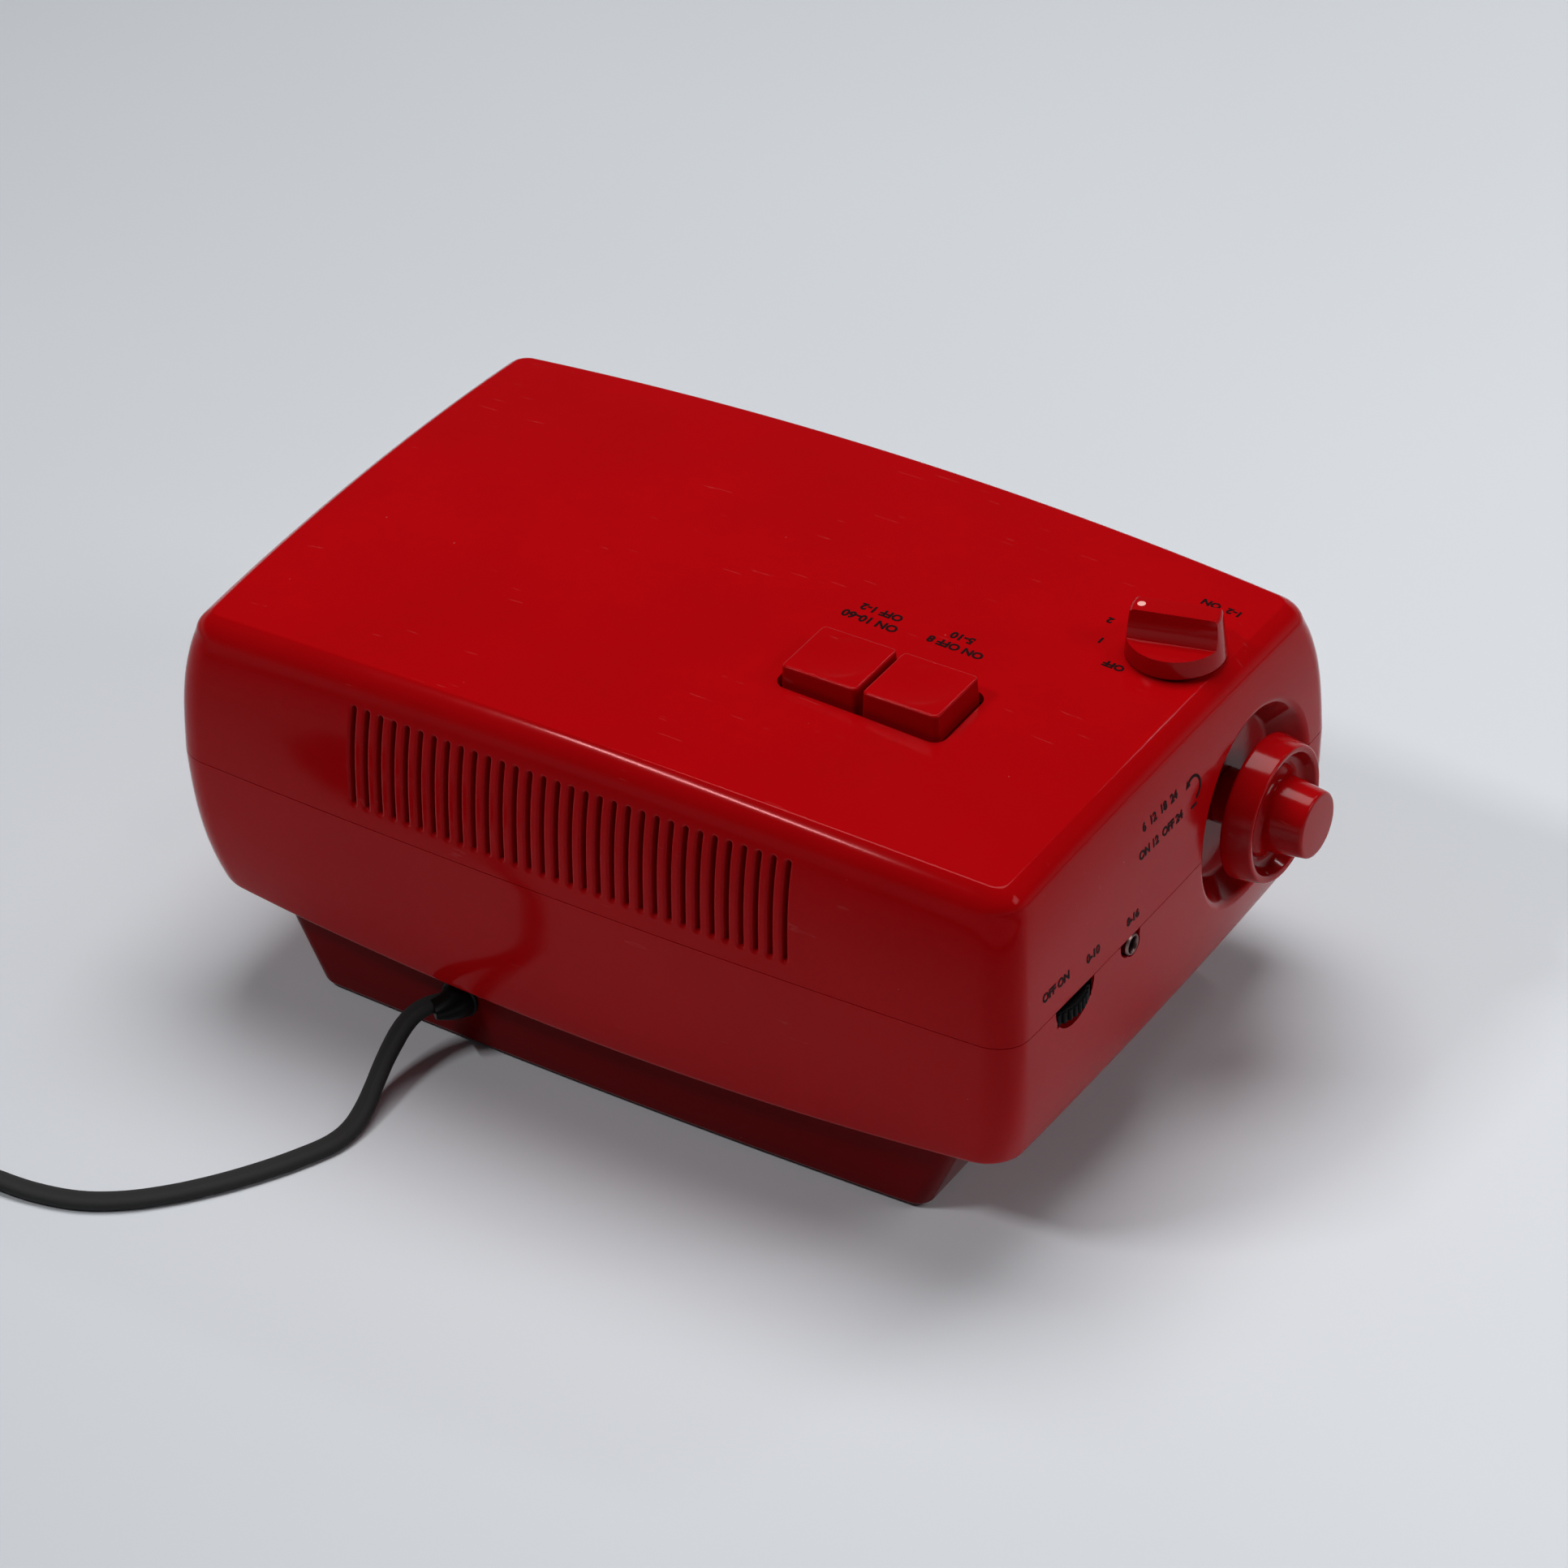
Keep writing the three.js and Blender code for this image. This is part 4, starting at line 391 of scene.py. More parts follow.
def smooth_route(points: Sequence[Point], step: float) -> list[Vector]:
    """A smooth curve through points, in even steps.

    Args:
        points: The points to pass through, in millimetres.
        step: The distance between the points returned.

    Returns:
        The curve's points.
    """
    knots = [Vector(p) for p in points]
    knots = [2 * knots[0] - knots[1]] + knots + [2 * knots[-1] - knots[-2]]
    fine: list[Vector] = []
    for k in range(1, len(knots) - 2):
        p0, p1, p2, p3 = knots[k - 1 : k + 3]
        t1 = (p1 - p0).length ** 0.5
        t2 = t1 + (p2 - p1).length ** 0.5
        t3 = t2 + (p3 - p2).length ** 0.5
        for i in range(24):
            t = t1 + (t2 - t1) * i / 24
            a1 = p0 * (t1 - t) / t1 + p1 * t / t1
            a2 = p1 * (t2 - t) / (t2 - t1) + p2 * (t - t1) / (t2 - t1)
            a3 = p2 * (t3 - t) / (t3 - t2) + p3 * (t - t2) / (t3 - t2)
            b1 = a1 * (t2 - t) / t2 + a2 * t / t2
            b2 = a2 * (t3 - t) / (t3 - t1) + a3 * (t - t1) / (t3 - t1)
            fine.append(b1 * (t2 - t) / (t2 - t1) + b2 * (t - t1) / (t2 - t1))
    fine.append(knots[-2])
    return even_steps(fine, step)


def even_steps(line: Sequence[Vector], step: float) -> list[Vector]:
    """The points of line moved to even steps along it."""
    spots = np.array([tuple(p) for p in line])
    lengths = np.concatenate(([0.0], np.cumsum(np.linalg.norm(np.diff(spots, axis=0), axis=1))))
    count = max(2, round(lengths[-1] / step) + 1)
    where = np.linspace(0, lengths[-1], count)
    return [Vector(p) for p in np.stack([np.interp(where, lengths, spots[:, k]) for k in range(3)], axis=1)]


# ================================================================ node trees
class Tree:
    """Adds nodes to a shader or geometry tree."""

    def __init__(self, tree: bpy.types.NodeTree) -> None:
        """Starts an empty tree."""
        self.tree = tree
        tree.nodes.clear()

    def node(
        self, kind: str, settings: dict[str, Any] | None = None, inputs: dict[Any, Any] | None = None
    ) -> bpy.types.Node:
        """Adds a node.

        Args:
            kind: The node's type.
            settings: Its properties, set first; stops is a ramp's list of (position, colour).
            inputs: Values or links of its sockets, by name or number.

        Returns:
            The node.
        """
        node = self.tree.nodes.new(kind)
        for key, value in (settings or {}).items():
            if key == "stops":
                self._ramp(node.color_ramp, value)
            else:
                setattr(node, key, value)
        for key, value in (inputs or {}).items():
            self.feed(node.inputs[key], value)
        return node

    def feed(self, socket: bpy.types.NodeSocket, value: Any) -> None:
        """Gives a socket its value or link."""
        if isinstance(value, Signal):
            value = value.socket
        if isinstance(value, bpy.types.NodeSocket):
            self.tree.links.new(value, socket)
        else:
            socket.default_value = value

    def signal(self, node: bpy.types.Node, output: Any = 0) -> "Signal":
        """A node's number output, ready for sums."""
        return Signal(self, node.outputs[output])

    @staticmethod
    def _ramp(ramp: bpy.types.ColorRamp, stops: Sequence[tuple[float, Sequence[float]]]) -> None:
        """Sets a ramp's stops."""
        while len(ramp.elements) < len(stops):
            ramp.elements.new(1.0)
        for element, (position, colour) in zip(ramp.elements, stops):
            element.position = position
            element.color = (*colour[:3], 1.0)


@dataclass(frozen=True)
class Signal:
    """A number in a shader tree. Sums on it add Math nodes."""

    tree: Tree
    socket: bpy.types.NodeSocket

    def _math(self, operation: str, *values: Any) -> "Signal":
        """Adds a Math node."""
        node = self.tree.node("ShaderNodeMath", {"operation": operation}, dict(enumerate(values)))
        return Signal(self.tree, node.outputs[0])

    def __add__(self, other: Any) -> "Signal":
        """self + other."""
        return self._math("ADD", self, other)

    __radd__ = __add__

    def __sub__(self, other: Any) -> "Signal":
        """self - other."""
        return self._math("SUBTRACT", self, other)

    def __rsub__(self, other: Any) -> "Signal":
        """other - self."""
        return self._math("SUBTRACT", other, self)

    def __mul__(self, other: Any) -> "Signal":
        """self * other."""
        return self._math("MULTIPLY", self, other)

    __rmul__ = __mul__

    def __truediv__(self, other: Any) -> "Signal":
        """self / other."""
        return self._math("DIVIDE", self, other)

    def __pow__(self, other: Any) -> "Signal":
        """self to the power of other."""
        return self._math("POWER", self, other)

    def above(self, limit: Any) -> "Signal":
        """1 where self is over limit, 0 elsewhere."""
        return self._math("GREATER_THAN", self, limit)

    def wave(self) -> "Signal":
        """The sine of self."""
        return self._math("SINE", self)

    def between(self, low: float, high: float) -> "Signal":
        """Self taken from low..high to 0..1 and kept there."""
        node = self.tree.node("ShaderNodeMapRange", {"clamp": True}, {0: self, 1: low, 2: high})
        return Signal(self.tree, node.outputs[0])


# ================================================================ finishes
def shade(red: float, green: float, blue: float) -> tuple[float, float, float, float]:
    """A colour in display steps from 0 to 255, as a shader takes it."""
    steps = [c / 255 for c in (red, green, blue)]
    return (*[s / 12.92 if s <= 0.04045 else ((s + 0.055) / 1.055) ** 2.4 for s in steps], 1.0)


class Slot(Enum):
    """The record's material slots."""

    RED = "red_plastic"
    BLACK = "black_plastic"
    CLEAR = "clear_plastic"
    LEAF = "leaf_plastic"
    NYLON = "nylon"
    STEEL = "steel"
    BRASS = "brass"
    COPPER = "copper_wire"
    PAPER = "paper"
    FERRITE = "ferrite"
    BOARD = "board"
    RUBBER = "rubber"
    CORD = "cord_sheath"


@dataclass(frozen=True)
class Finish:
    """A surface finish. Each kind adds its own pattern to the shader."""

    name: str
    slot: Slot
    colour: tuple[float, float, float]
    roughness: float = 0.4

    def material(self) -> bpy.types.Material:
        """The finish's material, made once."""
        found = bpy.data.materials.get(self.name)
        if found:
            return found
        material = bpy.data.materials.new(self.name)
        material.use_nodes = True
        tree = Tree(material.node_tree)
        where = tree.node("ShaderNodeTexCoord").outputs["Object"]
        shader = tree.node(
            "ShaderNodeBsdfPrincipled",
            None,
            {"Base Color": shade(*self.colour), "Roughness": self.roughness},
        )
        surface = self.dress(tree, where, shader) or shader.outputs["BSDF"]
        tree.node("ShaderNodeOutputMaterial", None, {"Surface": surface})
        return material

    def dress(self, tree: Tree, where: bpy.types.NodeSocket, shader: bpy.types.Node) -> Any:
        """Adds the finish's pattern; returns the surface's socket if it isn't the shader's own."""
        return None

    def on(self, obj: bpy.types.Object) -> bpy.types.Object:
        """Gives a new piece this finish."""
        obj.data.materials.clear()
        obj.data.materials.append(self.material())
        return obj


def noise(tree: Tree, where: Any, size: float, detail: float = 2, roughness: float = 0.5) -> Signal:
    """A smooth random pattern from 0 to 1.

    Args:
        tree: The shader's tree.
        where: The coordinates, in metres.
        size: The pattern's patches, in millimetres.
        detail: How many finer layers it has.
        roughness: How strong they are.

    Returns:
        The pattern.
    """
    inputs = {"Vector": where, "Scale": 1000 / size, "Detail": detail, "Roughness": roughness}
    return tree.signal(tree.node("ShaderNodeTexNoise", None, inputs), "Fac")


def stretched(tree: Tree, where: Any, turn: Point, scale: Point) -> bpy.types.NodeSocket:
    """Coordinates turned by degrees and then stretched along their axes."""
    angles = [math.radians(a) for a in turn]
    inputs = {"Vector": where, "Rotation": angles, "Scale": scale}
    return tree.node("ShaderNodeMapping", None, inputs).outputs[0]


def blended(tree: Tree, share: Any, first: Any, second: Any) -> bpy.types.NodeSocket:
    """A colour between two, by share."""
    return tree.node("ShaderNodeMix", {"data_type": "RGBA"}, {0: share, 6: first, 7: second}).outputs[2]


def relief(tree: Tree, height: Signal) -> bpy.types.NodeSocket:
    """A normal from a height in millimetres."""
    return tree.node("ShaderNodeBump", None, {"Height": height, "Distance": MM}).outputs[0]


def tinted(colour: Sequence[float], factor: float) -> tuple[float, float, float, float]:
    """A display colour made lighter or darker, as a shader takes it."""
    red, green, blue, alpha = shade(*colour)
    return (red * factor, green * factor, blue * factor, alpha)


@dataclass(frozen=True)
class Gloss(Finish):
    """Glossy moulded plastic: faint tone patches, dust, hairline scratches and a wavy mould surface."""

    specular: float = 0.5
    tint: tuple[float, float, float] = (255, 255, 255)
    mottle: float = 0.05
    waves: float = 0.010
    peel: float = 0.0012
    dust: float = 0.5
    dust_colour: tuple[float, float, float] = (205, 120, 118)

    def dress(self, tree: Tree, where: bpy.types.NodeSocket, shader: bpy.types.Node) -> Any:
        """Adds tone, dust, scratches, smears and relief.

        Args:
            tree: The shader's tree.
            where: The coordinates, in metres.
            shader: The surface's shader.

        Returns:
            The surface's socket if it isn't the shader's own.
        """
        patches = noise(tree, where, 45, 3).between(0.35, 0.65)
        fine = noise(tree, where, 3.5, 2).between(0.3, 0.7)
        tone = patches * 0.75 + fine * 0.25
        base = blended(tree, tone, tinted(self.colour, 1 - self.mottle), tinted(self.colour, 1 + self.mottle))
        grains = tree.node(
            "ShaderNodeTexVoronoi", {"distance": "EUCLIDEAN"}, {"Vector": where, "Scale": 1000 / 7.0}
        )
        near = 1 - tree.signal(grains, "Distance").between(0.012, 0.034)
        speck = near * noise(tree, where, 23, 1).above(0.56) * self.dust
        hair = noise(tree, stretched(tree, where, (12, 8, 27), (0.5, 9, 3)), 9, 2, 0.6)
        scratch = hair.between(0.70, 0.735) * (1 - hair.between(0.735, 0.77))
        scratch = scratch * noise(tree, where, 60, 1).above(0.5)
        marks = speck + scratch * 0.10
        tree.feed(shader.inputs["Base Color"], blended(tree, marks, base, shade(*self.dust_colour)))
        smear = noise(tree, where, 30, 4, 0.6).between(0.4, 0.75)
        tree.feed(shader.inputs["Roughness"], smear * 0.07 + speck * 0.35 + scratch * 0.12 + self.roughness)
        height = noise(tree, where, 38, 1) * (self.waves * 8) + noise(tree, where, 1.3, 1) * self.peel
        tree.feed(shader.inputs["Normal"], relief(tree, height - scratch * 0.004))
        shader.inputs["Specular IOR Level"].default_value = self.specular
        shader.inputs["Specular Tint"].default_value = shade(*self.tint)
        return None


@dataclass(frozen=True)
class Matt(Finish):
    """Plain moulded or pressed stuff with a fine grain: nylon, rubber, paper, ferrite and the like."""

    grain: float = 0.8
    depth: float = 0.01
    mottle: float = 0.08
    metallic: float = 0.0
    specular: float = 0.4

    def dress(self, tree: Tree, where: bpy.types.NodeSocket, shader: bpy.types.Node) -> Any:
        """Adds tone, grain and relief."""
        tone = noise(tree, where, 14, 3).between(0.3, 0.7) * 0.6 + noise(tree, where, self.grain, 2) * 0.4
        dark, light = tinted(self.colour, 1 - self.mottle), tinted(self.colour, 1 + self.mottle)
        tree.feed(shader.inputs["Base Color"], blended(tree, tone, dark, light))
        tree.feed(shader.inputs["Roughness"], noise(tree, where, 6, 3) * 0.16 + (self.roughness - 0.08))
        tree.feed(shader.inputs["Normal"], relief(tree, noise(tree, where, self.grain, 3) * self.depth))
        shader.inputs["Metallic"].default_value = self.metallic
        shader.inputs["Specular IOR Level"].default_value = self.specular
        return None


@dataclass(frozen=True)
class Brushed(Finish):
    """Sheet or turned metal with fine lines along one direction."""

    lines: tuple[float, float, float] = (0.06, 1, 1)
    depth: float = 0.003

    def dress(self, tree: Tree, where: bpy.types.NodeSocket, shader: bpy.types.Node) -> Any:
        """Adds the lines, dull patches and a little tarnish."""
        streak = noise(tree, stretched(tree, where, (0, 0, 0), self.lines), 0.35, 3)
        patch = noise(tree, where, 11, 4, 0.6).between(0.4, 0.7)
        dark, light = tinted(self.colour, 0.82), tinted(self.colour, 1.05)
        tree.feed(shader.inputs["Base Color"], blended(tree, patch * 0.6 + streak * 0.4, light, dark))
        tree.feed(shader.inputs["Roughness"], streak * 0.12 + patch * 0.12 + (self.roughness - 0.1))
        tree.feed(shader.inputs["Normal"], relief(tree, streak * self.depth))
        shader.inputs["Metallic"].default_value = 1.0
        return None


@dataclass(frozen=True)
class Clear(Finish):
    """A clear window: mostly see-through, with a reflection that grows towards its edges."""

    veil: float = 0.01

    def dress(self, tree: Tree, where: bpy.types.NodeSocket, shader: bpy.types.Node) -> Any:
        """Mixes a see-through shader with a glossy one."""
        haze = noise(tree, where, 18, 4, 0.6).between(0.45, 0.8)
        tree.feed(shader.inputs["Roughness"], haze * 0.05 + self.roughness)
        fresnel = tree.signal(tree.node("ShaderNodeFresnel", None, {"IOR": 1.49}), "Fac")
        through = tree.node("ShaderNodeBsdfTransparent", None, {"Color": shade(250, 252, 252)})
        share = fresnel * 0.8 + haze * 0.01 + self.veil
        surfaces = {0: share, 1: through.outputs[0], 2: shader.outputs["BSDF"]}
        return tree.node("ShaderNodeMixShader", None, surfaces).outputs[0]


@dataclass(frozen=True)
class Phenolic(Finish):
    """Resin-bonded board: warm tone with fibres and darker scorched patches."""

    def dress(self, tree: Tree, where: bpy.types.NodeSocket, shader: bpy.types.Node) -> Any:
        """Adds fibres and patches."""
        fibre = noise(tree, stretched(tree, where, (0, 0, 40), (0.15, 1, 1)), 0.8, 3)
        patch = noise(tree, where, 22, 3).between(0.35, 0.75)
        dark, light = tinted(self.colour, 0.75), tinted(self.colour, 1.15)
        tree.feed(shader.inputs["Base Color"], blended(tree, fibre * 0.5 + patch * 0.5, light, dark))
        tree.feed(shader.inputs["Roughness"], fibre * 0.2 + (self.roughness - 0.1))
        tree.feed(shader.inputs["Normal"], relief(tree, fibre * 0.01))
        return None


@dataclass(frozen=True)
class Wound(Finish):
    """Enamelled wire in close turns round an upright core."""

    wire: float = 0.5

    def dress(self, tree: Tree, where: bpy.types.NodeSocket, shader: bpy.types.Node) -> Any:
        """Adds the turns as rounded ridges, with painted shade darkening the grooves between them."""
        split = tree.node("ShaderNodeSeparateXYZ", None, {0: where})
        turns = (tree.signal(split, 2) * (2 * math.pi * 1000 / self.wire)).wave() * 0.5 + 0.5
        # painted shade: the copper's colour falls to 0.4 of itself in the grooves between the turns
        tone = turns * 0.7 + noise(tree, where, 5, 2) * 0.3
        tree.feed(shader.inputs["Base Color"], blended(tree, tone, tinted(self.colour, 0.4), shade(*self.colour)))
        tree.feed(shader.inputs["Roughness"], noise(tree, where, 4, 2) * 0.2 + (self.roughness - 0.1))
        tree.feed(shader.inputs["Normal"], relief(tree, turns * 0.1))
        shader.inputs["Metallic"].default_value = 0.7
        return None


RED = Gloss("red_gloss", Slot.RED, (166, 4, 9), 0.1, specular=0.11, tint=(255, 176, 180))
# The pedestal's red is the case's red plastic made darker: painted shade for its place under the case.
SHADED_STAND_RED = Gloss("stand_red_gloss", Slot.RED, (108, 3, 6), 0.2, specular=0.1, tint=(255, 176, 180), dust=0.3)
KNOB_RED = Gloss("knob_red_gloss", Slot.RED, (162, 4, 9), 0.1, specular=0.14, mottle=0.03, waves=0.002, dust=0.3)
BLACK = Gloss("black_gloss", Slot.BLACK, (14, 14, 15), 0.28, dust_colour=(120, 120, 122), dust=0.3)
CLEAR = Clear("clear_window", Slot.CLEAR, (24, 26, 27), 0.03)
LEAF = Matt("leaf_black", Slot.LEAF, (16, 16, 17), 0.55, grain=0.5, depth=0.003)
NYLON = Matt("natural_nylon", Slot.NYLON, (214, 207, 188), 0.42, grain=1.2, depth=0.004, mottle=0.04)
STEEL = Brushed("plated_steel", Slot.STEEL, (168, 170, 173), 0.32)
BRASS = Brushed("nickelled_brass", Slot.BRASS, (205, 196, 170), 0.26)
COPPER = Wound("copper_winding", Slot.COPPER, (178, 96, 44), 0.4)
PAPER = Matt("cone_paper", Slot.PAPER, (52, 49, 46), 0.85, grain=0.6, depth=0.03, mottle=0.15)
FERRITE = Matt("ferrite", Slot.FERRITE, (48, 46, 45), 0.6, grain=0.6, depth=0.02)
BOARD = Phenolic("phenolic_board", Slot.BOARD, (150, 112, 62), 0.5)
RUBBER = Matt("black_rubber", Slot.RUBBER, (8, 9, 9), 0.36, grain=0.6, depth=0.012, specular=0.12)
SHEATH = Matt("cord_sheath", Slot.CORD, (6, 7, 7), 0.2, grain=1.6, depth=0.012, mottle=0.1, specular=0.09)
WHEEL_BLACK = Matt("wheel_black", Slot.BLACK, (7, 7, 8), 0.5, grain=0.5, depth=0.004, specular=0.08)
# The jack ring's steel is tinted pinkish grey: a painted reflection of the red case around it.
RING_STEEL = Brushed("worn_ring_steel", Slot.STEEL, (134, 106, 103), 0.38)
DOT = Matt("dot_paint", Slot.NYLON, (240, 176, 166), 0.45, grain=0.5, depth=0.002, mottle=0.05)
INK = Matt("black_print", Slot.BLACK, (30, 5, 7), 0.5, grain=0.5, depth=0.002, mottle=0.25, specular=0.05)
WHITE_INK = Matt("white_print", Slot.NYLON, (222, 214, 210), 0.5, grain=0.5, depth=0.002, mottle=0.05)


# ================================================================ patterns made by geometry nodes
class Pattern:
    """A geometry node tree with named sizes, run once into a plain mesh."""

    def __init__(self, name: str) -> None:
        """Starts the tree."""
        self.group = bpy.data.node_groups.new(name, "GeometryNodeTree")
        self.tree = Tree(self.group)
        self.sizes: dict[str, Any] = {}
        self.group.interface.new_socket("Geometry", in_out="INPUT", socket_type="NodeSocketGeometry")
        self.group.interface.new_socket("Geometry", in_out="OUTPUT", socket_type="NodeSocketGeometry")
        self.source = self.tree.node("NodeGroupInput")

    def size(self, name: str, value: Any) -> bpy.types.NodeSocket:
        """Adds a named input and gives it its value."""
        kinds = {int: "Int", float: "Float", tuple: "Vector", bpy.types.Object: "Object"}
        kind = next(word for cls, word in kinds.items() if isinstance(value, cls))
        item = self.group.interface.new_socket(name, in_out="INPUT", socket_type=f"NodeSocket{kind}")
        self.sizes[item.identifier] = value
        return self.source.outputs[name]

    def repeated(self, points: Any, piece: Any, **more: Any) -> bpy.types.NodeSocket:
        """Puts piece on every point."""
        inputs = {"Points": points, "Instance": piece, **more}
        return self.tree.node("GeometryNodeInstanceOnPoints", None, inputs).outputs[0]

    def made(
        self, name: str, geometry: bpy.types.NodeSocket, finish: Finish, start: bpy.types.Object | None = None
    ) -> bpy.types.Object:
        """Ends the tree and runs it.

        Args:
            name: The new object's name.
            geometry: What the tree has made.
            finish: Its finish.
            start: The object whose mesh goes in, which is used up.

        Returns:
            A plain mesh object.
        """
        real = self.tree.node("GeometryNodeRealizeInstances", None, {0: geometry}).outputs[0]
        inputs = {"Geometry": real, "Material": finish.material()}
        dressed = self.tree.node("GeometryNodeSetMaterial", None, inputs).outputs[0]
        self.tree.node("NodeGroupOutput", None, {0: dressed})
        obj = start or new_object(name, [], [])
        modifier = obj.modifiers.new("pattern", "NODES")
        modifier.node_group = self.group
        for identifier, value in self.sizes.items():
            modifier[identifier] = value
        settle(obj)
        obj.data.materials.clear()
        obj.data.materials.append(finish.material())
        obj.data.polygons.foreach_set("material_index", [0] * len(obj.data.polygons))
        obj.name = obj.data.name = name
        return obj


def row_of_blocks(
    name: str, start: Point, step: Point, count: int, size: Point, finish: Finish
) -> bpy.types.Object:
    """A row of equal boxes.

    Args:
        name: The object's name.
        start: The middle of the first, in millimetres.
        step: From one to the next.
        count: How many there are.
        size: The sides of one.
        finish: Their finish.

    Returns:
        The boxes as one plain mesh.
    """
    pattern = Pattern(name)
    sockets = {
        "Count": pattern.size("Count", count),
        "Start Location": pattern.size("Start", tuple(c * MM for c in start)),
        "Offset": pattern.size("Step", tuple(c * MM for c in step)),
    }
    line = pattern.tree.node("GeometryNodeMeshLine", {"mode": "OFFSET"}, sockets)
    cube_size = pattern.size("Size", tuple(c * MM for c in size))
    cube = pattern.tree.node("GeometryNodeMeshCube", None, {"Size": cube_size})
    return pattern.made(name, pattern.repeated(line.outputs[0], cube.outputs[0]), finish)


# ================================================================ barrel-sided forms
LONG_STEPS = 34
SHORT_STEPS = 24
CORNER_STEPS = 12
CAP_RINGS = 16


@dataclass(frozen=True)
class Level:
    """One level of a barrel-sided form: a rounded rectangle with bowed sides that may be domed."""

    half_x: float
    half_y: float
    z: float
    radius: float
    bow_long: float = 0.0
    bow_short: float = 0.0
    rise_x: float = 0.0
    rise_y: float = 0.0

    def ring(self, reach: float = 1.0) -> np.ndarray:
        """The level's outline.

        Args:
            reach: Its share of the full outline's distance from the middle.

        Returns:
            The outline's points, one to a row.
        """
        arc = np.linspace(0, math.pi / 2, CORNER_STEPS + 1)
        side = np.linspace(0, self.half_y - self.radius, SHORT_STEPS, endpoint=False)
        back = np.linspace(self.half_x - self.radius, 0, LONG_STEPS + 1)[1:]
        x = np.concatenate(
            (np.full(SHORT_STEPS, self.half_x), self.half_x + self.radius * (np.cos(arc) - 1), back)
        )
        y = np.concatenate((side, self.half_y + self.radius * (np.sin(arc) - 1), np.full(LONG_STEPS, self.half_y)))
        quarter = np.stack((self._bowed(x, y)), axis=1)
        mirror_x, mirror_y = quarter * (-1, 1), quarter * (1, -1)
        flat = np.concatenate((quarter[:-1], mirror_x[::-1][:-1], -quarter[:-1], mirror_y[::-1][:-1])) * reach
        share = (flat / (self.half_x, self.half_y)) ** 2
        z = self.z + self.rise_x * (1 - share[:, 0]) + self.rise_y * (1 - share[:, 1])
        return np.column_stack((flat, z))

    def _bowed(self, x: np.ndarray, y: np.ndarray) -> tuple[np.ndarray, np.ndarray]:
        """The outline's points moved in towards the corners, so that its sides bow out."""
        share_x, share_y = x / self.half_x, y / self.half_y
        return x - self.bow_short * share_y**2 * share_x**6, y - self.bow_long * share_x**2 * share_y**6


def skinned(name: str, rings: Sequence[np.ndarray]) -> bpy.types.Object:
    """Joins rings of equal counts into a closed form.

    Args:
        name: The object's name.
        rings: The rings from one end to the other, the first and last closed at their middles.

    Returns:
        The object, with its faces outwards.
    """
    count = len(rings[0])
    points = np.concatenate([*rings, [rings[0].mean(axis=0)], [rings[-1].mean(axis=0)]])
    faces = []
    for row in range(len(rings) - 1):
        for k in range(count):
            low, after = row * count + k, row * count + (k + 1) % count
            faces.append((low, after, after + count, low + count))
    last = (len(rings) - 1) * count
    for k in range(count):
        faces.append((len(points) - 2, (k + 1) % count, k))
        faces.append((len(points) - 1, last + k, last + (k + 1) % count))
    return outwards(new_object(name, points, faces))


def barrel(name: str, levels: Sequence[Level], caps: int = CAP_RINGS) -> bpy.types.Object:
    """A closed form through levels from its underside to its top."""
    shares = [k / caps for k in range(1, caps)]
    rings = [levels[0].ring(s) for s in shares] + [level.ring() for level in levels]
    rings += [levels[-1].ring(s) for s in reversed(shares)]
    return skinned(name, rings)


def bend(start: Point, lean: float, end: Point, turn: float, steps: int) -> list[tuple[float, float]]:
    """A smooth curve between two points of a wall's profile.

    Args:
        start: (inset, rise) where it starts.
        lean: Its direction there, in degrees from upright.
        end: Where it ends.
        turn: Its direction there.
        steps: How many points it has after its first.

    Returns:
        Its points after the first.
    """
    p, q = np.array(start), np.array(end)
    d, e = [np.array((math.sin(math.radians(a)), math.cos(math.radians(a)))) for a in (lean, turn)]
    s = np.linalg.solve(np.column_stack((d, e)), q - p)[0]
    middle = p + d * s
    shares = [k / steps for k in range(1, steps + 1)]
    return [tuple(p * (1 - t) ** 2 + middle * 2 * t * (1 - t) + q * t**2) for t in shares]


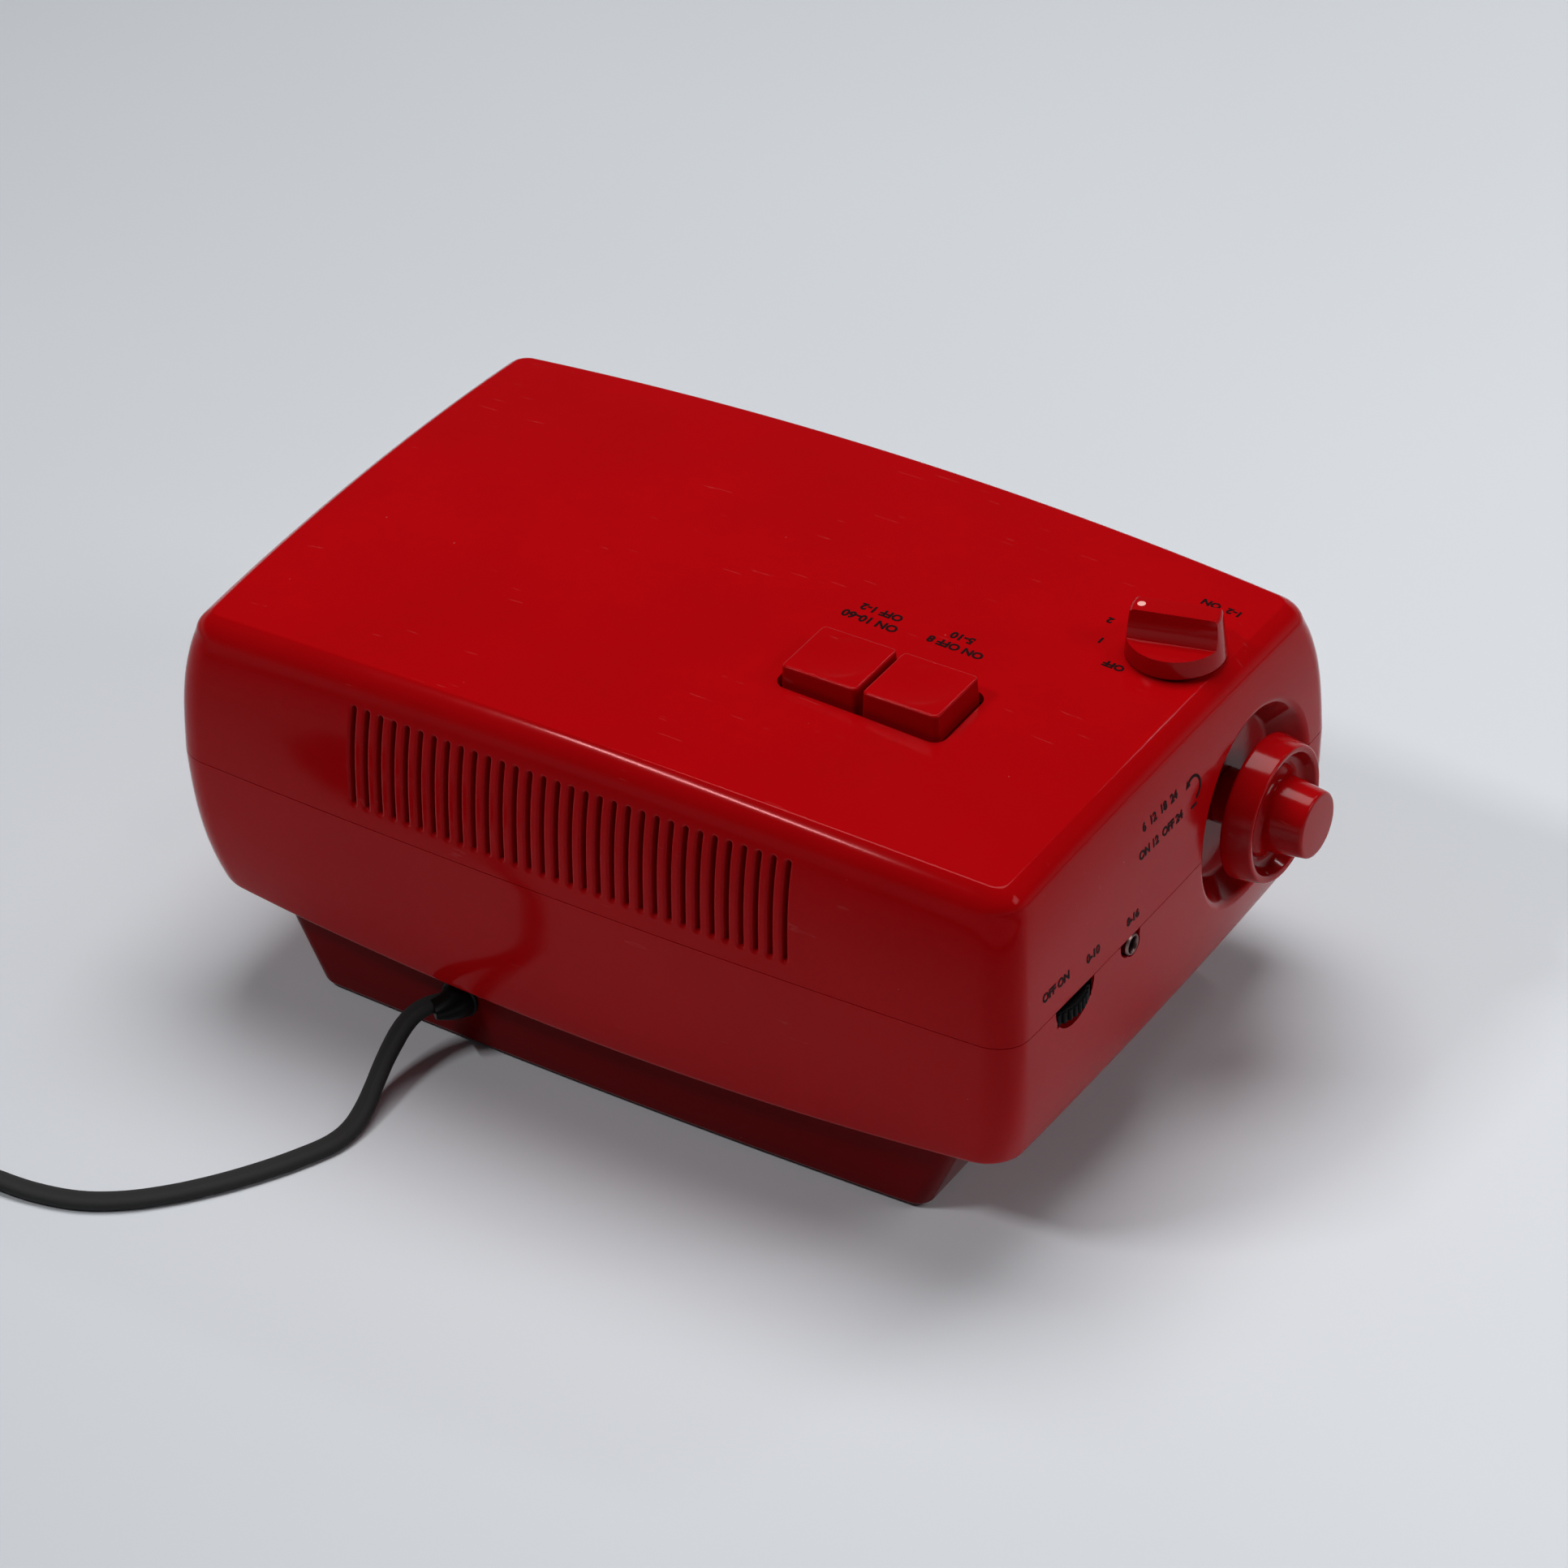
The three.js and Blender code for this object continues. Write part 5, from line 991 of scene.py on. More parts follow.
@dataclass(frozen=True)
class Casing:
    """The case's outer form, with its wall, crown, belly and shoulder."""

    width: float = 240
    depth: float = 158.2
    seam: float = 66.4
    rim: float = 104.1
    under: float = 27.2
    wall: float = 2.6
    crown: tuple[float, float] = (4.2, 2.5)
    belly: tuple[float, float] = (5.6, 0.5)
    bow: tuple[float, float] = (2.8, 1.1)
    rim_inset: tuple[float, float] = (8.1, 10)
    roll: tuple[float, float] = (5, 5.5)
    under_inset: tuple[float, float] = (6.6, 5.9)
    under_edge: float = 2
    corner: float = 9
    rim_corner: float = 3.5
    draft: float = 0.22
    upper_barrel: float = 3.4
    lower_barrel: float = 2.9

    def level(
        self, inset: Point, z: float, radius: float, rise: Point, share: float, shrink: float
    ) -> Level:
        """A level that is inset from the seam's outline and domed by its share of rise."""
        return Level(
            self.width / 2 - inset[0] - shrink,
            self.depth / 2 - inset[1] - shrink,
            z,
            max(radius - shrink, 1),
            *self.bow,
            rise[0] * share,
            rise[1] * share,
        )

    def curve(self, share: float, barrel_power: float) -> float:
        """How far in the wall is at a share of its height."""
        return self.draft * share + (1 - self.draft) * share**barrel_power

    def shoulder(self, side: int) -> list[tuple[float, float]]:
        """The rounded shoulder of one pair of sides: (inset, rise) from the wall to the top."""
        height = self.rim - self.roll[1] - self.seam
        total = self.rim_inset[side] - self.roll[0]
        slope = total * (self.draft + (1 - self.draft) * self.upper_barrel) / height
        knee = (self.roll[0] - 0.68, self.roll[1] - 0.25)
        broad = bend((0, 0), math.degrees(math.atan(slope)), knee, 54, 12)
        return [(0.0, 0.0), *broad, *bend(knee, 54, self.roll, 86, 7)]

    def levels(self, shrink: float) -> list[Level]:
        """The levels from the underside to the top.

        Args:
            shrink: How far they are pulled in from the outer face.

        Returns:
            The levels, the lowest first.
        """
        down = [-r for r in self.belly]
        low, high = self.under + shrink, self.rim - shrink
        levels = []
        for inset, rise in reversed(bend((0, 0), 14, (self.under_edge, self.under_edge), 89, 6)):
            insets = [u - self.under_edge + inset for u in self.under_inset]
            levels.append(self.level(insets, low + self.under_edge - rise, self.corner, down, 1, shrink))
        steps = 16
        for k in range(steps, 0, -1):
            curve = self.curve(k / steps, self.lower_barrel)
            insets = [(u - self.under_edge) * curve for u in self.under_inset]
            z = self.seam + (low + self.under_edge - self.seam) * k / steps
            levels.append(self.level(insets, z, self.corner, down, k / steps, shrink))
        foot = high - self.roll[1]
        for k in range(steps):
            curve = self.curve(k / steps, self.upper_barrel)
            insets = [(r - self.roll[0]) * curve for r in self.rim_inset]
            z = self.seam + (foot - self.seam) * k / steps
            levels.append(self.level(insets, z, self.corner, self.crown, k / steps, shrink))
        short, long = self.shoulder(0), self.shoulder(1)
        for inset, rise in long:
            other = float(np.interp(rise, [p[1] for p in short], [p[0] for p in short]))
            insets = [self.rim_inset[0] - self.roll[0] + other, self.rim_inset[1] - self.roll[0] + inset]
            radius = self.corner + (self.rim_corner - self.corner) * rise / self.roll[1]
            levels.append(self.level(insets, foot + rise, radius, self.crown, 1, shrink))
        return levels

    def solid(self, name: str, shrink: float = 0.0) -> bpy.types.Object:
        """The whole form as a closed solid."""
        return barrel(name, self.levels(shrink))

    def top(self, x: float, y: float) -> float:
        """The height of the top panel over a point."""
        half_x = self.width / 2 - self.rim_inset[0]
        half_y = self.depth / 2 - self.rim_inset[1]
        return self.rim + self.crown[0] * (1 - (x / half_x) ** 2) + self.crown[1] * (1 - (y / half_y) ** 2)


def face_of(form: bpy.types.Object, axis: Axis, side: int) -> Callable[[float, float], float]:
    """Finds how far out a form reaches.

    Args:
        form: The form.
        axis: The direction looked along.
        side: Which end of that direction is meant, 1 or -1.

    Returns:
        A function from the other two coordinates to the distance along the axis, in millimetres.
    """
    tree = BVHTree.FromObject(form, bpy.context.evaluated_depsgraph_get())
    along = Vector(axis.place(-side, 0, 0))

    def reach(a: float, b: float) -> float:
        """How far out the form's face lies at a and b."""
        start = Vector(axis.place(side * 400, a, b)) * MM
        return 400 - tree.ray_cast(start, along)[3] / MM

    return reach


def with_steps(outline: Sequence[tuple[float, float]], step: float) -> list[tuple[float, float]]:
    """A closed outline with its long sides parted into steps."""
    line = []
    for (x, y), (u, v) in zip(outline, [*outline[1:], outline[0]]):
        count = max(1, round(math.hypot(u - x, v - y) / step))
        line += [(x + (u - x) * k / count, y + (v - y) * k / count) for k in range(count)]
    return line


def copy_of(obj: bpy.types.Object, name: str) -> bpy.types.Object:
    """A copy of obj with its own mesh."""
    twin = bpy.data.objects.new(name, obj.data.copy())
    bpy.context.scene.collection.objects.link(twin)
    return twin


def faired(obj: bpy.types.Object, pristine: bpy.types.Object) -> bpy.types.Object:
    """Gives obj the normals of the form it was cut from, so that its reflections stay smooth.

    Args:
        obj: The cut piece.
        pristine: The uncut form, closed and smooth.

    Returns:
        obj.
    """
    smoothed(obj)
    source = pristine.data
    source.calc_loop_triangles()
    corners = np.array([tuple(v.co) for v in source.vertices])
    normals = np.array([tuple(n.vector) for n in source.vertex_normals])
    triangles = [tuple(t.vertices) for t in source.loop_triangles]
    surface = BVHTree.FromPolygons(corners.tolist(), triangles)
    mesh = obj.data
    smooth = np.zeros((len(mesh.vertices), 3))
    for vertex in mesh.vertices:
        spot, _, index, distance = surface.find_nearest(vertex.co, 0.2 * MM)
        if spot is None or distance > 0.03 * MM:
            continue
        a, b, c = triangles[index]
        weights = barycentric(np.array(spot), corners[a], corners[b], corners[c])
        normal = weights @ normals[[a, b, c]]
        smooth[vertex.index] = normal / np.linalg.norm(normal)
    face_normals = np.array([tuple(p.normal) for p in mesh.polygons])
    loop_vertex = np.zeros(len(mesh.loops), dtype=int)
    mesh.loops.foreach_get("vertex_index", loop_vertex)
    sizes = np.array([p.loop_total for p in mesh.polygons])
    wanted = smooth[loop_vertex]
    agree = np.einsum("ij,ij->i", wanted, np.repeat(face_normals, sizes, axis=0))
    wanted[agree < 0.8] = 0
    mesh.normals_split_custom_set(wanted.tolist())
    return obj


def barycentric(point: np.ndarray, a: np.ndarray, b: np.ndarray, c: np.ndarray) -> np.ndarray:
    """A point's weights in a triangle, kept inside it."""
    u, v, w = b - a, c - a, point - a
    uu, uv, vv, wu, wv = u @ u, u @ v, v @ v, w @ u, w @ v
    below = max(uu * vv - uv * uv, 1e-30)
    second, third = (vv * wu - uv * wv) / below, (uu * wv - uv * wu) / below
    weights = np.clip((1 - second - third, second, third), 0, 1)
    return weights / weights.sum()


@dataclass(frozen=True)
class Shells:
    """The upper and the lower shell, with their openings, wells, posts and screw holes."""

    casing: Casing = Casing()
    gap: float = 0.2
    well_radius: float = 26.5
    well_floor: float = 20.5
    well_depth: float = 9.4
    vents: int = 32
    vent_pitch: float = 3.94
    vent_width: float = 1.9
    vent_foot: float = 4.8
    vent_head: float = 5.4
    vent_x: float = 2
    front_half: float = 104
    front_depth: float = -66.8
    front_low: float = 44
    front_high: float = 94
    slot_margin: float = 1.6
    slot_corner: float = 3.5
    post: float = 3.2
    flare: float = 1.7
    lip: float = 1.1

    @property
    def axis(self) -> tuple[float, float]:
        """The knobs' axis, (y, z)."""
        centre = Span.of("time_set_knob").centre
        return (centre.y, centre.z)

    def cup(self, side: int) -> bpy.types.Object:
        """The well's cup, before its room is cut out."""
        floor, grow = self.casing.width / 2 - self.well_depth, self.casing.wall
        slope = (self.well_radius - self.well_floor) / self.well_depth
        reach = self.casing.width / 2 + self.casing.wall
        wide = self.well_floor + slope * (reach - floor)
        corners = [
            (floor - grow, 0, 0),
            (floor - grow, self.well_floor + grow, 1.6),
            (reach, wide + grow, 0),
            (reach, 0, 0),
        ]
        profile = [(side * along, radius) for along, radius in filleted(corners, 6)]
        return turned("cup", profile, Axis.X, self.axis, 120)

    def hollow(self, pristine: bpy.types.Object, inner: bpy.types.Object) -> bpy.types.Object:
        """The whole wall with its wells, before it is parted."""
        wall = combine(copy_of(pristine, "wall"), Cut.AWAY, copy_of(inner, "inner"))
        for side in (-1, 1):
            cup = combine(self.cup(side), Cut.KEEP, copy_of(pristine, "outside"))
            combine(wall, Cut.ADD, cup)
        for side in (-1, 1):
            combine(wall, Cut.AWAY, self.well(side, pristine))
            shaft = Span.of("alarm_sleeve" if side < 0 else "tuning_shaft").size.y / 2 + 0.25
            bore = turned("bore", [(0, 0), (0, shaft), (side * 200, shaft), (side * 200, 0)], Axis.X, self.axis)
            combine(wall, Cut.AWAY, bore)
        front = block((-self.front_half, -300, self.front_low), (self.front_half, self.front_depth, self.front_high))
        return combine(wall, Cut.AWAY, front)

    def slots(self, pristine: bpy.types.Object) -> bpy.types.Object:
        """What is cut away for the vents: slots whose edges are rounded where they meet the face.

        Args:
            pristine: The case's uncut form, whose face the edges follow.

        Returns:
            All the cutters in one object.
        """
        low, high = self.casing.seam + self.vent_foot, self.casing.rim - self.vent_head
        first = self.vent_x - (self.vents - 1) / 2 * self.vent_pitch
        inside, lip = self.vent_width / 2 - 0.45, self.lip
        steps = [(-3.0, lip), (-0.02, lip)]
        steps += [(lip * (1 - math.cos(a)), lip * (1 - math.sin(a))) for a in np.radians((20, 38, 56, 74))]
        steps += [(lip, 0.0), (9.0, 0.0)]
        face = face_of(pristine, Axis.Y, 1)
        cutters = []
        for k in range(self.vents):
            centre, rings = (first + k * self.vent_pitch, (low + high) / 2), []
            for depth, grow in steps:
                half = (inside + grow, (high - low) / 2 - 0.6 + grow)
                outline = with_steps(rounded_outline(centre, half, 0.5 + grow, 5), 2.0)
                rings.append(np.array([(x, face(x, z) - depth, z) for x, z in outline]))
            cutters.append(skinned("slot", rings))
        return joined("vent_slots", *cutters)

    def well(self, side: int, pristine: bpy.types.Object) -> bpy.types.Object:
        """What is cut away for a well: its room, with a rim that flares softly into the case's end.

        Args:
            side: The end that it is in, 1 or -1.
            pristine: The case's uncut form, whose face the rim follows.

        Returns:
            The cutter.
        """
        floor = self.casing.width / 2 - self.well_depth
        slope = (self.well_radius - self.well_floor) / self.well_depth
        face = face_of(pristine, Axis.X, side)
        y, z = self.axis
        rays = []
        for angle in np.linspace(0, 2 * math.pi, 144, endpoint=False):
            cos, sin = math.cos(angle), math.sin(angle)
            radius = self.well_radius
            for _ in range(8):
                radius = self.well_floor + slope * (face(y + radius * cos, z + radius * sin) - floor)
            out, far = radius + 1, face(y + (radius + 1) * cos, z + (radius + 1) * sin)
            rim = np.array((face(y + radius * cos, z + radius * sin), radius))
            wall = np.array((1, slope)) / math.hypot(1, slope)
            skin = np.array((far, out)) - rim
            skin /= np.linalg.norm(skin)
            start, end = rim - wall * self.flare, rim + skin * self.flare + (0.02, 0)
            corners = [(floor, 2, 0), (floor, self.well_floor, 1.6), (*start, 0)]
            ray = filleted(corners, 6)
            ray += [tuple(start * (1 - t) ** 2 + rim * 2 * t * (1 - t) + end * t * t) for t in np.linspace(0, 1, 9)[1:]]
            ray += [tuple(end + skin * 2 + (0.5, 0)), (end[0] + 9, end[1] + 2)]
            rays.append([(side * x, y + r * cos, z + r * sin) for x, r in ray])
        return skinned("well", [np.array(ring) for ring in zip(*rays)])

    def screws(self) -> list[Vector]:
        """Where the case screws stand."""
        names = [f"case_screw_{end}_{side}" for end in ("front", "rear") for side in ("left", "right")]
        return [Span.of(name).centre for name in names]

    def column(self, place: Vector, low: float, high: float, radius: float) -> bpy.types.Object:
        """An upright round post or bore."""
        profile = [(low, 0), (low, radius), (high, radius), (high, 0)]
        return turned("column", profile, Axis.Z, (place.x, place.y), 32)

    def upper(self, wall: bpy.types.Object, pristine: bpy.types.Object) -> bpy.types.Object:
        """Cuts the upper shell out of the wall.

        Args:
            wall: The case's wall, with its openings.
            pristine: The uncut form that gives the shell its smooth shading.

        Returns:
            The upper shell.
        """
        seam = Span.of("upper_shell")
        shell = copy_of(wall, "upper_shell_body")
        combine(shell, Cut.KEEP, block((-200, -200, self.casing.seam + self.gap / 2), (200, 200, 200)))
        combine(shell, Cut.AWAY, self.slots(pristine))
        key = Span.of("key_left"), Span.of("key_right")
        low, high = min(k.low.x for k in key), max(k.high.x for k in key)
        half = ((high - low) / 2 + self.slot_margin - 0.5, key[0].size.y / 2 + self.slot_margin - 0.5)
        centre = ((low + high) / 2, key[0].centre.y)
        outline = rounded_outline(centre, half, self.slot_corner)
        combine(shell, Cut.AWAY, drawn("slot", outline, Axis.Z, 86, 200))
        mode = Span.of("mode_shaft")
        combine(shell, Cut.AWAY, self.column(mode.centre, 86, 200, mode.size.x / 2 + 0.25))
        for place in self.screws():
            post = self.column(place, seam.low.z, self.casing.rim, self.post)
            combine(shell, Cut.ADD, combine(post, Cut.KEEP, copy_of(pristine, "outside")))
            combine(shell, Cut.AWAY, self.column(place, 0, 70, 1.45))
        return faired(shell, pristine)

    def lower(self, wall: bpy.types.Object, pristine: bpy.types.Object) -> bpy.types.Object:
        """Cuts the lower shell out of the wall.

        Args:
            wall: The case's wall, with its openings.
            pristine: The uncut form that gives the shell its smooth shading.

        Returns:
            The lower shell.
        """
        shell = copy_of(wall, "lower_shell_body")
        seam = self.casing.seam
        combine(shell, Cut.KEEP, block((-200, -200, -10), (200, 200, seam - self.gap / 2)))
        wheel, jack = Span.of("volume_wheel"), Span.of("jack_ring")
        reach = (-200, -self.casing.width / 2 + self.well_depth)
        notch = [(reach[0], 0), (reach[0], 8.5), (reach[1], 8.5), (reach[1], 0)]
        combine(shell, Cut.AWAY, turned("notch", notch, Axis.X, (wheel.centre.y, seam)))
        relief_radius = wheel.size.x / 2 + 2 * self.gap
        combine(shell, Cut.AWAY, self.column(wheel.centre, wheel.low.z - self.gap, seam, relief_radius))
        half, y, z = 4.4, jack.centre.y + 1.5, seam - 0.9
        for radius, place in ((jack.size.y / 2 + 0.12, (jack.centre.y, jack.centre.z)), (half, (y, z))):
            notch = [(reach[0], 0), (reach[0], radius), (reach[1], radius), (reach[1], 0)]
            combine(shell, Cut.AWAY, turned("notch", notch, Axis.X, place))
        combine(shell, Cut.AWAY, block((reach[0], y - half, z), (reach[1], y + half, seam)))
        for place in self.screws():
            post = self.column(place, 0, 56, self.post)
            combine(shell, Cut.ADD, combine(post, Cut.KEEP, copy_of(pristine, "outside")))
            combine(shell, Cut.AWAY, self.column(place, -5, 54, 2.55), self.column(place, -5, 90, 1.45))
        return faired(shell, pristine)

    def build(self) -> None:
        """Makes both shells and lets them stand for their CAD nodes."""
        pristine = self.casing.solid("pristine")
        inner = self.casing.solid("inner_form", self.casing.wall)
        wall = self.hollow(pristine, inner)
        for name, shell in (("upper", self.upper(wall, pristine)), ("lower", self.lower(wall, pristine))):
            RED.on(shell)
            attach(shell, "case")
            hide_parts(f"{name}_shell")
            LOG.info("%s shell: %d faces", name, len(shell.data.polygons))
        for spare in (pristine, inner, wall):
            discard(spare)


@dataclass(frozen=True)
class Pedestal:
    """The inset foot under the case, with its four pads."""

    half_x: float = 88
    half_y: float = 66.3
    low: float = 0.8
    wall: float = 2.6
    corner: float = 4.5
    bow: float = 1.6
    end_slope: float = 0.45
    side_slope: float = 0.03
    edge: float = 1.4

    def level(self, z: float, shrink: float) -> Level:
        """The pedestal's outline at a height."""
        up = z - self.low
        half_x = self.half_x + self.end_slope * up - shrink
        half_y = self.half_y + self.bow + self.side_slope * up - shrink
        return Level(half_x, half_y, z, self.corner - shrink, self.bow)

    def outside(self) -> bpy.types.Object:
        """The outer form with a rounded foot."""
        rounding = [self.edge * (1 - math.cos(a * math.pi / 16)) for a in range(8, 0, -1)]
        heights = [self.edge * (1 - math.sin(a * math.pi / 16)) for a in range(8, 0, -1)]
        levels = [self.level(self.low + up, inset) for up, inset in zip(heights, rounding)]
        levels += [self.level(self.low + self.edge + k * (31 - self.low - self.edge) / 6, 0) for k in range(7)]
        return barrel("pedestal_form", levels, 6)

    def build(self, casing: Casing) -> None:
        """Makes the pedestal and its pads.

        Args:
            casing: The case's form, whose room is cut away from the pedestal.
        """
        pristine = self.outside()
        stand = copy_of(pristine, "pedestal_body")
        inner = barrel("inner", [self.level(self.low + self.wall, self.wall), self.level(34, self.wall)], 6)
        combine(stand, Cut.AWAY, inner, casing.solid("case_room", -0.3))
        pads = [f"foot_{end}_{side}" for end in ("front", "rear") for side in ("left", "right")]
        for pad in pads:
            place = Span.of(pad)
            radius = place.size.x / 2 + 0.3
            pocket = [(-5, 0), (-5, radius), (place.high.z + 0.3, radius), (place.high.z + 0.3, 0)]
            combine(stand, Cut.AWAY, turned("pocket", pocket, Axis.Z, (place.centre.x, place.centre.y), 48))
        gland = Span.of("strain_relief")
        hole = [(40, 0), (40, 4.9), (90, 4.9), (90, 0)]
        combine(stand, Cut.AWAY, turned("hole", hole, Axis.Y, (gland_x(), gland.centre.z), 48))
        faired(stand, pristine)
        discard(pristine)
        # The pedestal takes the darker red, which is painted shade.
        SHADED_STAND_RED.on(stand)
        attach(stand, "case")
        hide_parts("pedestal")
        LOG.info("pedestal: %d faces", len(stand.data.polygons))
        for pad in pads:
            self.pad(pad)

    def pad(self, node: str) -> None:
        """Makes one rubber pad with a shallow dimple in its face."""
        place = Span.of(node)
        radius, high = place.size.x / 2, place.high.z
        corners = [(0.3, 0, 0), (0.3, 3, 0.2), (0, 3.6, 0.3), (0, radius - 0.4, 0.6), (0.9, radius, 0.2)]
        corners += [(high, radius, 0.1), (high, 0, 0)]
        pad = turned(f"{node}_pad", filleted(corners, 4), Axis.Z, (place.centre.x, place.centre.y), 64)
        RUBBER.on(smoothed(pad))
        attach(pad, "case")
        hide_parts(node)


# ================================================================ pieces made from CAD nodes
def refined(node: str, edge: float, finish: Finish, flat: float = 0.6, angle: float = 30) -> bpy.types.Object:
    """A copy of a CAD node with rounded edges and smooth shading, which stands for it.

    Args:
        node: The CAD node.
        edge: The rounding of its edges, in millimetres.
        finish: Its finish.
        flat: Faces that meet flatter than this many degrees are joined.
        angle: Edges sharper than this many degrees are rounded.

    Returns:
        The piece, riding on the node's body.
    """
    source = frame["nodes"][node]
    piece = bpy.data.objects.new(f"{node}_piece", source.data.copy())
    bpy.context.scene.collection.objects.link(piece)
    piece.data.name = piece.name
    cleaned(piece, flat)
    if edge > 0:
        bevelled(piece, edge, 2, angle)
    else:
        smoothed(piece, angle)
    finish.on(piece)
    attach(piece, home(node))
    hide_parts(node)
    return piece


def home(node: str) -> str:
    """The body that a CAD node is part of."""
    bodies = frame["record"]["behaviour"]["bodies"]
    return next(body for body, nodes in bodies.items() if node in nodes)


# ================================================================ mains cord and plug
def gland_x() -> float:
    """Where the cord's gland stands along the pedestal."""
    return Span.of("strain_relief").low.x + 6


@dataclass(frozen=True)
class MainsCord:
    """The flat two-core cord with its gland, coil, tie and plug."""

    width: float = 5.6
    thickness: float = 2.8
    coil: tuple[float, float] = (140, 204)
    coil_radii: tuple[float, float] = (23, 35)
    layers: tuple[float, float] = (3.3, 9.0)
    turns_in: int = 3
    step: float = 2.2

    # x, y and z of the cord from the gland to the coil, y counted from the pedestal's rear face
    route = (
        (45.2, 3.0, 14.5, 0),
        (48.2, 6.9, 14.4, 0),
        (50.0, 10.2, 13.4, 0),
        (50.9, 14.1, 11.6, 4),
        (50.9, 18.6, 9.3, 10),
        (50.3, 23.6, 7.1, 20),
        (49.1, 29.1, 5.0, 25),
        (47.6, 35.6, 3.0, 14),
        (46.7, 42.1, 1.8, 4),
        (47.4, 49.1, 1.5, 0),
        (51.3, 58.1, 1.5, 0),
        (56.5, 67.1, 1.5, 0),
        (62.8, 76.1, 1.5, 0),
        (70.0, 84.5, 1.5, 0),
        (78.0, 91.7, 1.5, 0),
        (87.0, 97.0, 1.5, 0),
        (98.0, 100.0, 1.5, 0),
        (109.0, 101.0, 1.75, 8),
        (121.0, 101.1, 2.5, 46),
        (132.0, 101.1, 3.2, 84),
    )

    @property
    def wall(self) -> float:
        """The pedestal's rear face at the gland."""
        return 67.953

    def points(self) -> tuple[list[Vector], list[float]]:
        """The cord's middle line in even steps, and its twist in degrees at each."""
        line = [Vector((x, y + self.wall, z)) for x, y, z, _ in self.route]
        twist = [float(t) for *_, t in self.route]
        inner, outer = self.coil_radii
        low, high = self.layers
        turns = 2 * self.turns_in + 2 + 1 / 6
        for k in range(int(turns * 24) + 1):
            u = k / 24
            inward = min(u / self.turns_in, 1)
            outward = min(max(u - self.turns_in - 2, 0) / self.turns_in, 1)
            radius = outer + (inner - outer) * (inward - outward)
            climb = min(max((u - self.turns_in - 0.5), 0), 1)
            z = low + (high - low) * (climb * climb * (3 - 2 * climb))
            angle = math.radians(-90 + 360 * u)
            line.append(Vector((self.coil[0] + radius * math.cos(angle), self.coil[1] + radius * math.sin(angle), z)))
            twist.append(90)
        for x, y, z, t in ((175.2, 195.0, 8.9, 80), (179.8, 202.9, 8.3, 45), (183.7, 212.2, 7.6, 12)):
            line.append(Vector((x, y, z)))
            twist.append(t)
        line += [Vector((185.2, 222.6, 7.2)), Vector((185.4, 230.0, 7.2))]
        twist += [0, 0]
        return line, twist

    def section(self) -> bpy.types.Object:
        """The cord's two-lobed section, as a closed line."""
        radius = self.thickness / 2
        middle = self.width / 2 - radius
        outline = []
        for side in (1, -1):
            for k in range(11):
                angle = math.radians(-140 + 28 * k)
                outline.append((side * (middle + radius * math.cos(angle)), radius * math.sin(angle), 0))
            if side > 0:
                outline.reverse()
        section = new_object("cord_section", outline, [])
        edges = [(k, (k + 1) % len(outline)) for k in range(len(outline))]
        section.data.clear_geometry()
        section.data.from_pydata([tuple(c * MM for c in p) for p in outline], edges, [])
        return section

    def build_cord(self) -> tuple[bpy.types.Object, list[Vector]]:
        """Makes the cord along its route."""
        rough, twist = self.points()
        line = smooth_route(rough, self.step)
        spans = np.concatenate(([0.0], np.cumsum([(b - a).length for a, b in zip(rough, rough[1:])])))
        where = np.linspace(0, spans[-1], len(line))
        tilt = np.radians(np.interp(where, spans, twist))
        start = new_object("mains_cord", [], [])
        start.data.clear_geometry()
        edges = [(k, k + 1) for k in range(len(line) - 1)]
        start.data.from_pydata([tuple(p * MM) for p in line], edges, [])
        start.data.attributes.new("twist", "FLOAT", "POINT").data.foreach_set("value", tilt)
        section = self.section()
        pattern = Pattern("cord_along_route")
        tree = pattern.tree
        curve = tree.node("GeometryNodeMeshToCurve", None, {0: pattern.source.outputs["Geometry"]})
        level = tree.node("GeometryNodeSetCurveNormal", {"mode": "Z_UP"}, {"Curve": curve.outputs[0]})
        named = tree.node("GeometryNodeInputNamedAttribute", {"data_type": "FLOAT"}, {"Name": "twist"})
        turned_line = tree.node("GeometryNodeSetCurveTilt", None, {"Curve": level.outputs[0], "Tilt": named.outputs[0]})
        shape = tree.node("GeometryNodeObjectInfo", None, {"Object": pattern.size("Section", section)})
        profile = tree.node("GeometryNodeMeshToCurve", None, {0: shape.outputs["Geometry"]})
        inputs = {"Curve": turned_line.outputs[0], "Profile Curve": profile.outputs[0], "Fill Caps": True}
        tube = tree.node("GeometryNodeCurveToMesh", None, inputs)
        smooth = tree.node("GeometryNodeSetShadeSmooth", None, {"Geometry": tube.outputs[0]})
        cord = pattern.made("mains_cord", smooth.outputs[0], SHEATH, start)
        discard(section)
        return outwards(cord), line

    def lofted(
        self, name: str, sections: Sequence[tuple[Point, float, float, float, float]], sides: int = 48
    ) -> bpy.types.Object:
        """A closed form through upright sections.

        Args:
            name: The object's name.
            sections: (middle, heading in degrees from +Y, half width, half height, squareness) of each.
            sides: Points round each section.

        Returns:
            The object.
        """
        rings = []
        for middle, heading, half_width, half_height, power in sections:
            turn = np.linspace(0, 2 * math.pi, sides, endpoint=False)
            cos, sin = np.cos(turn), np.sin(turn)
            across = half_width * np.sign(cos) * np.abs(cos) ** (2 / power)
            up = half_height * np.sign(sin) * np.abs(sin) ** (2 / power)
            angle = math.radians(heading)
            x = middle[0] + across * math.cos(angle)
            y = middle[1] - across * math.sin(angle)
            rings.append(np.column_stack((x, y, middle[2] + up)))
        return skinned(name, rings)

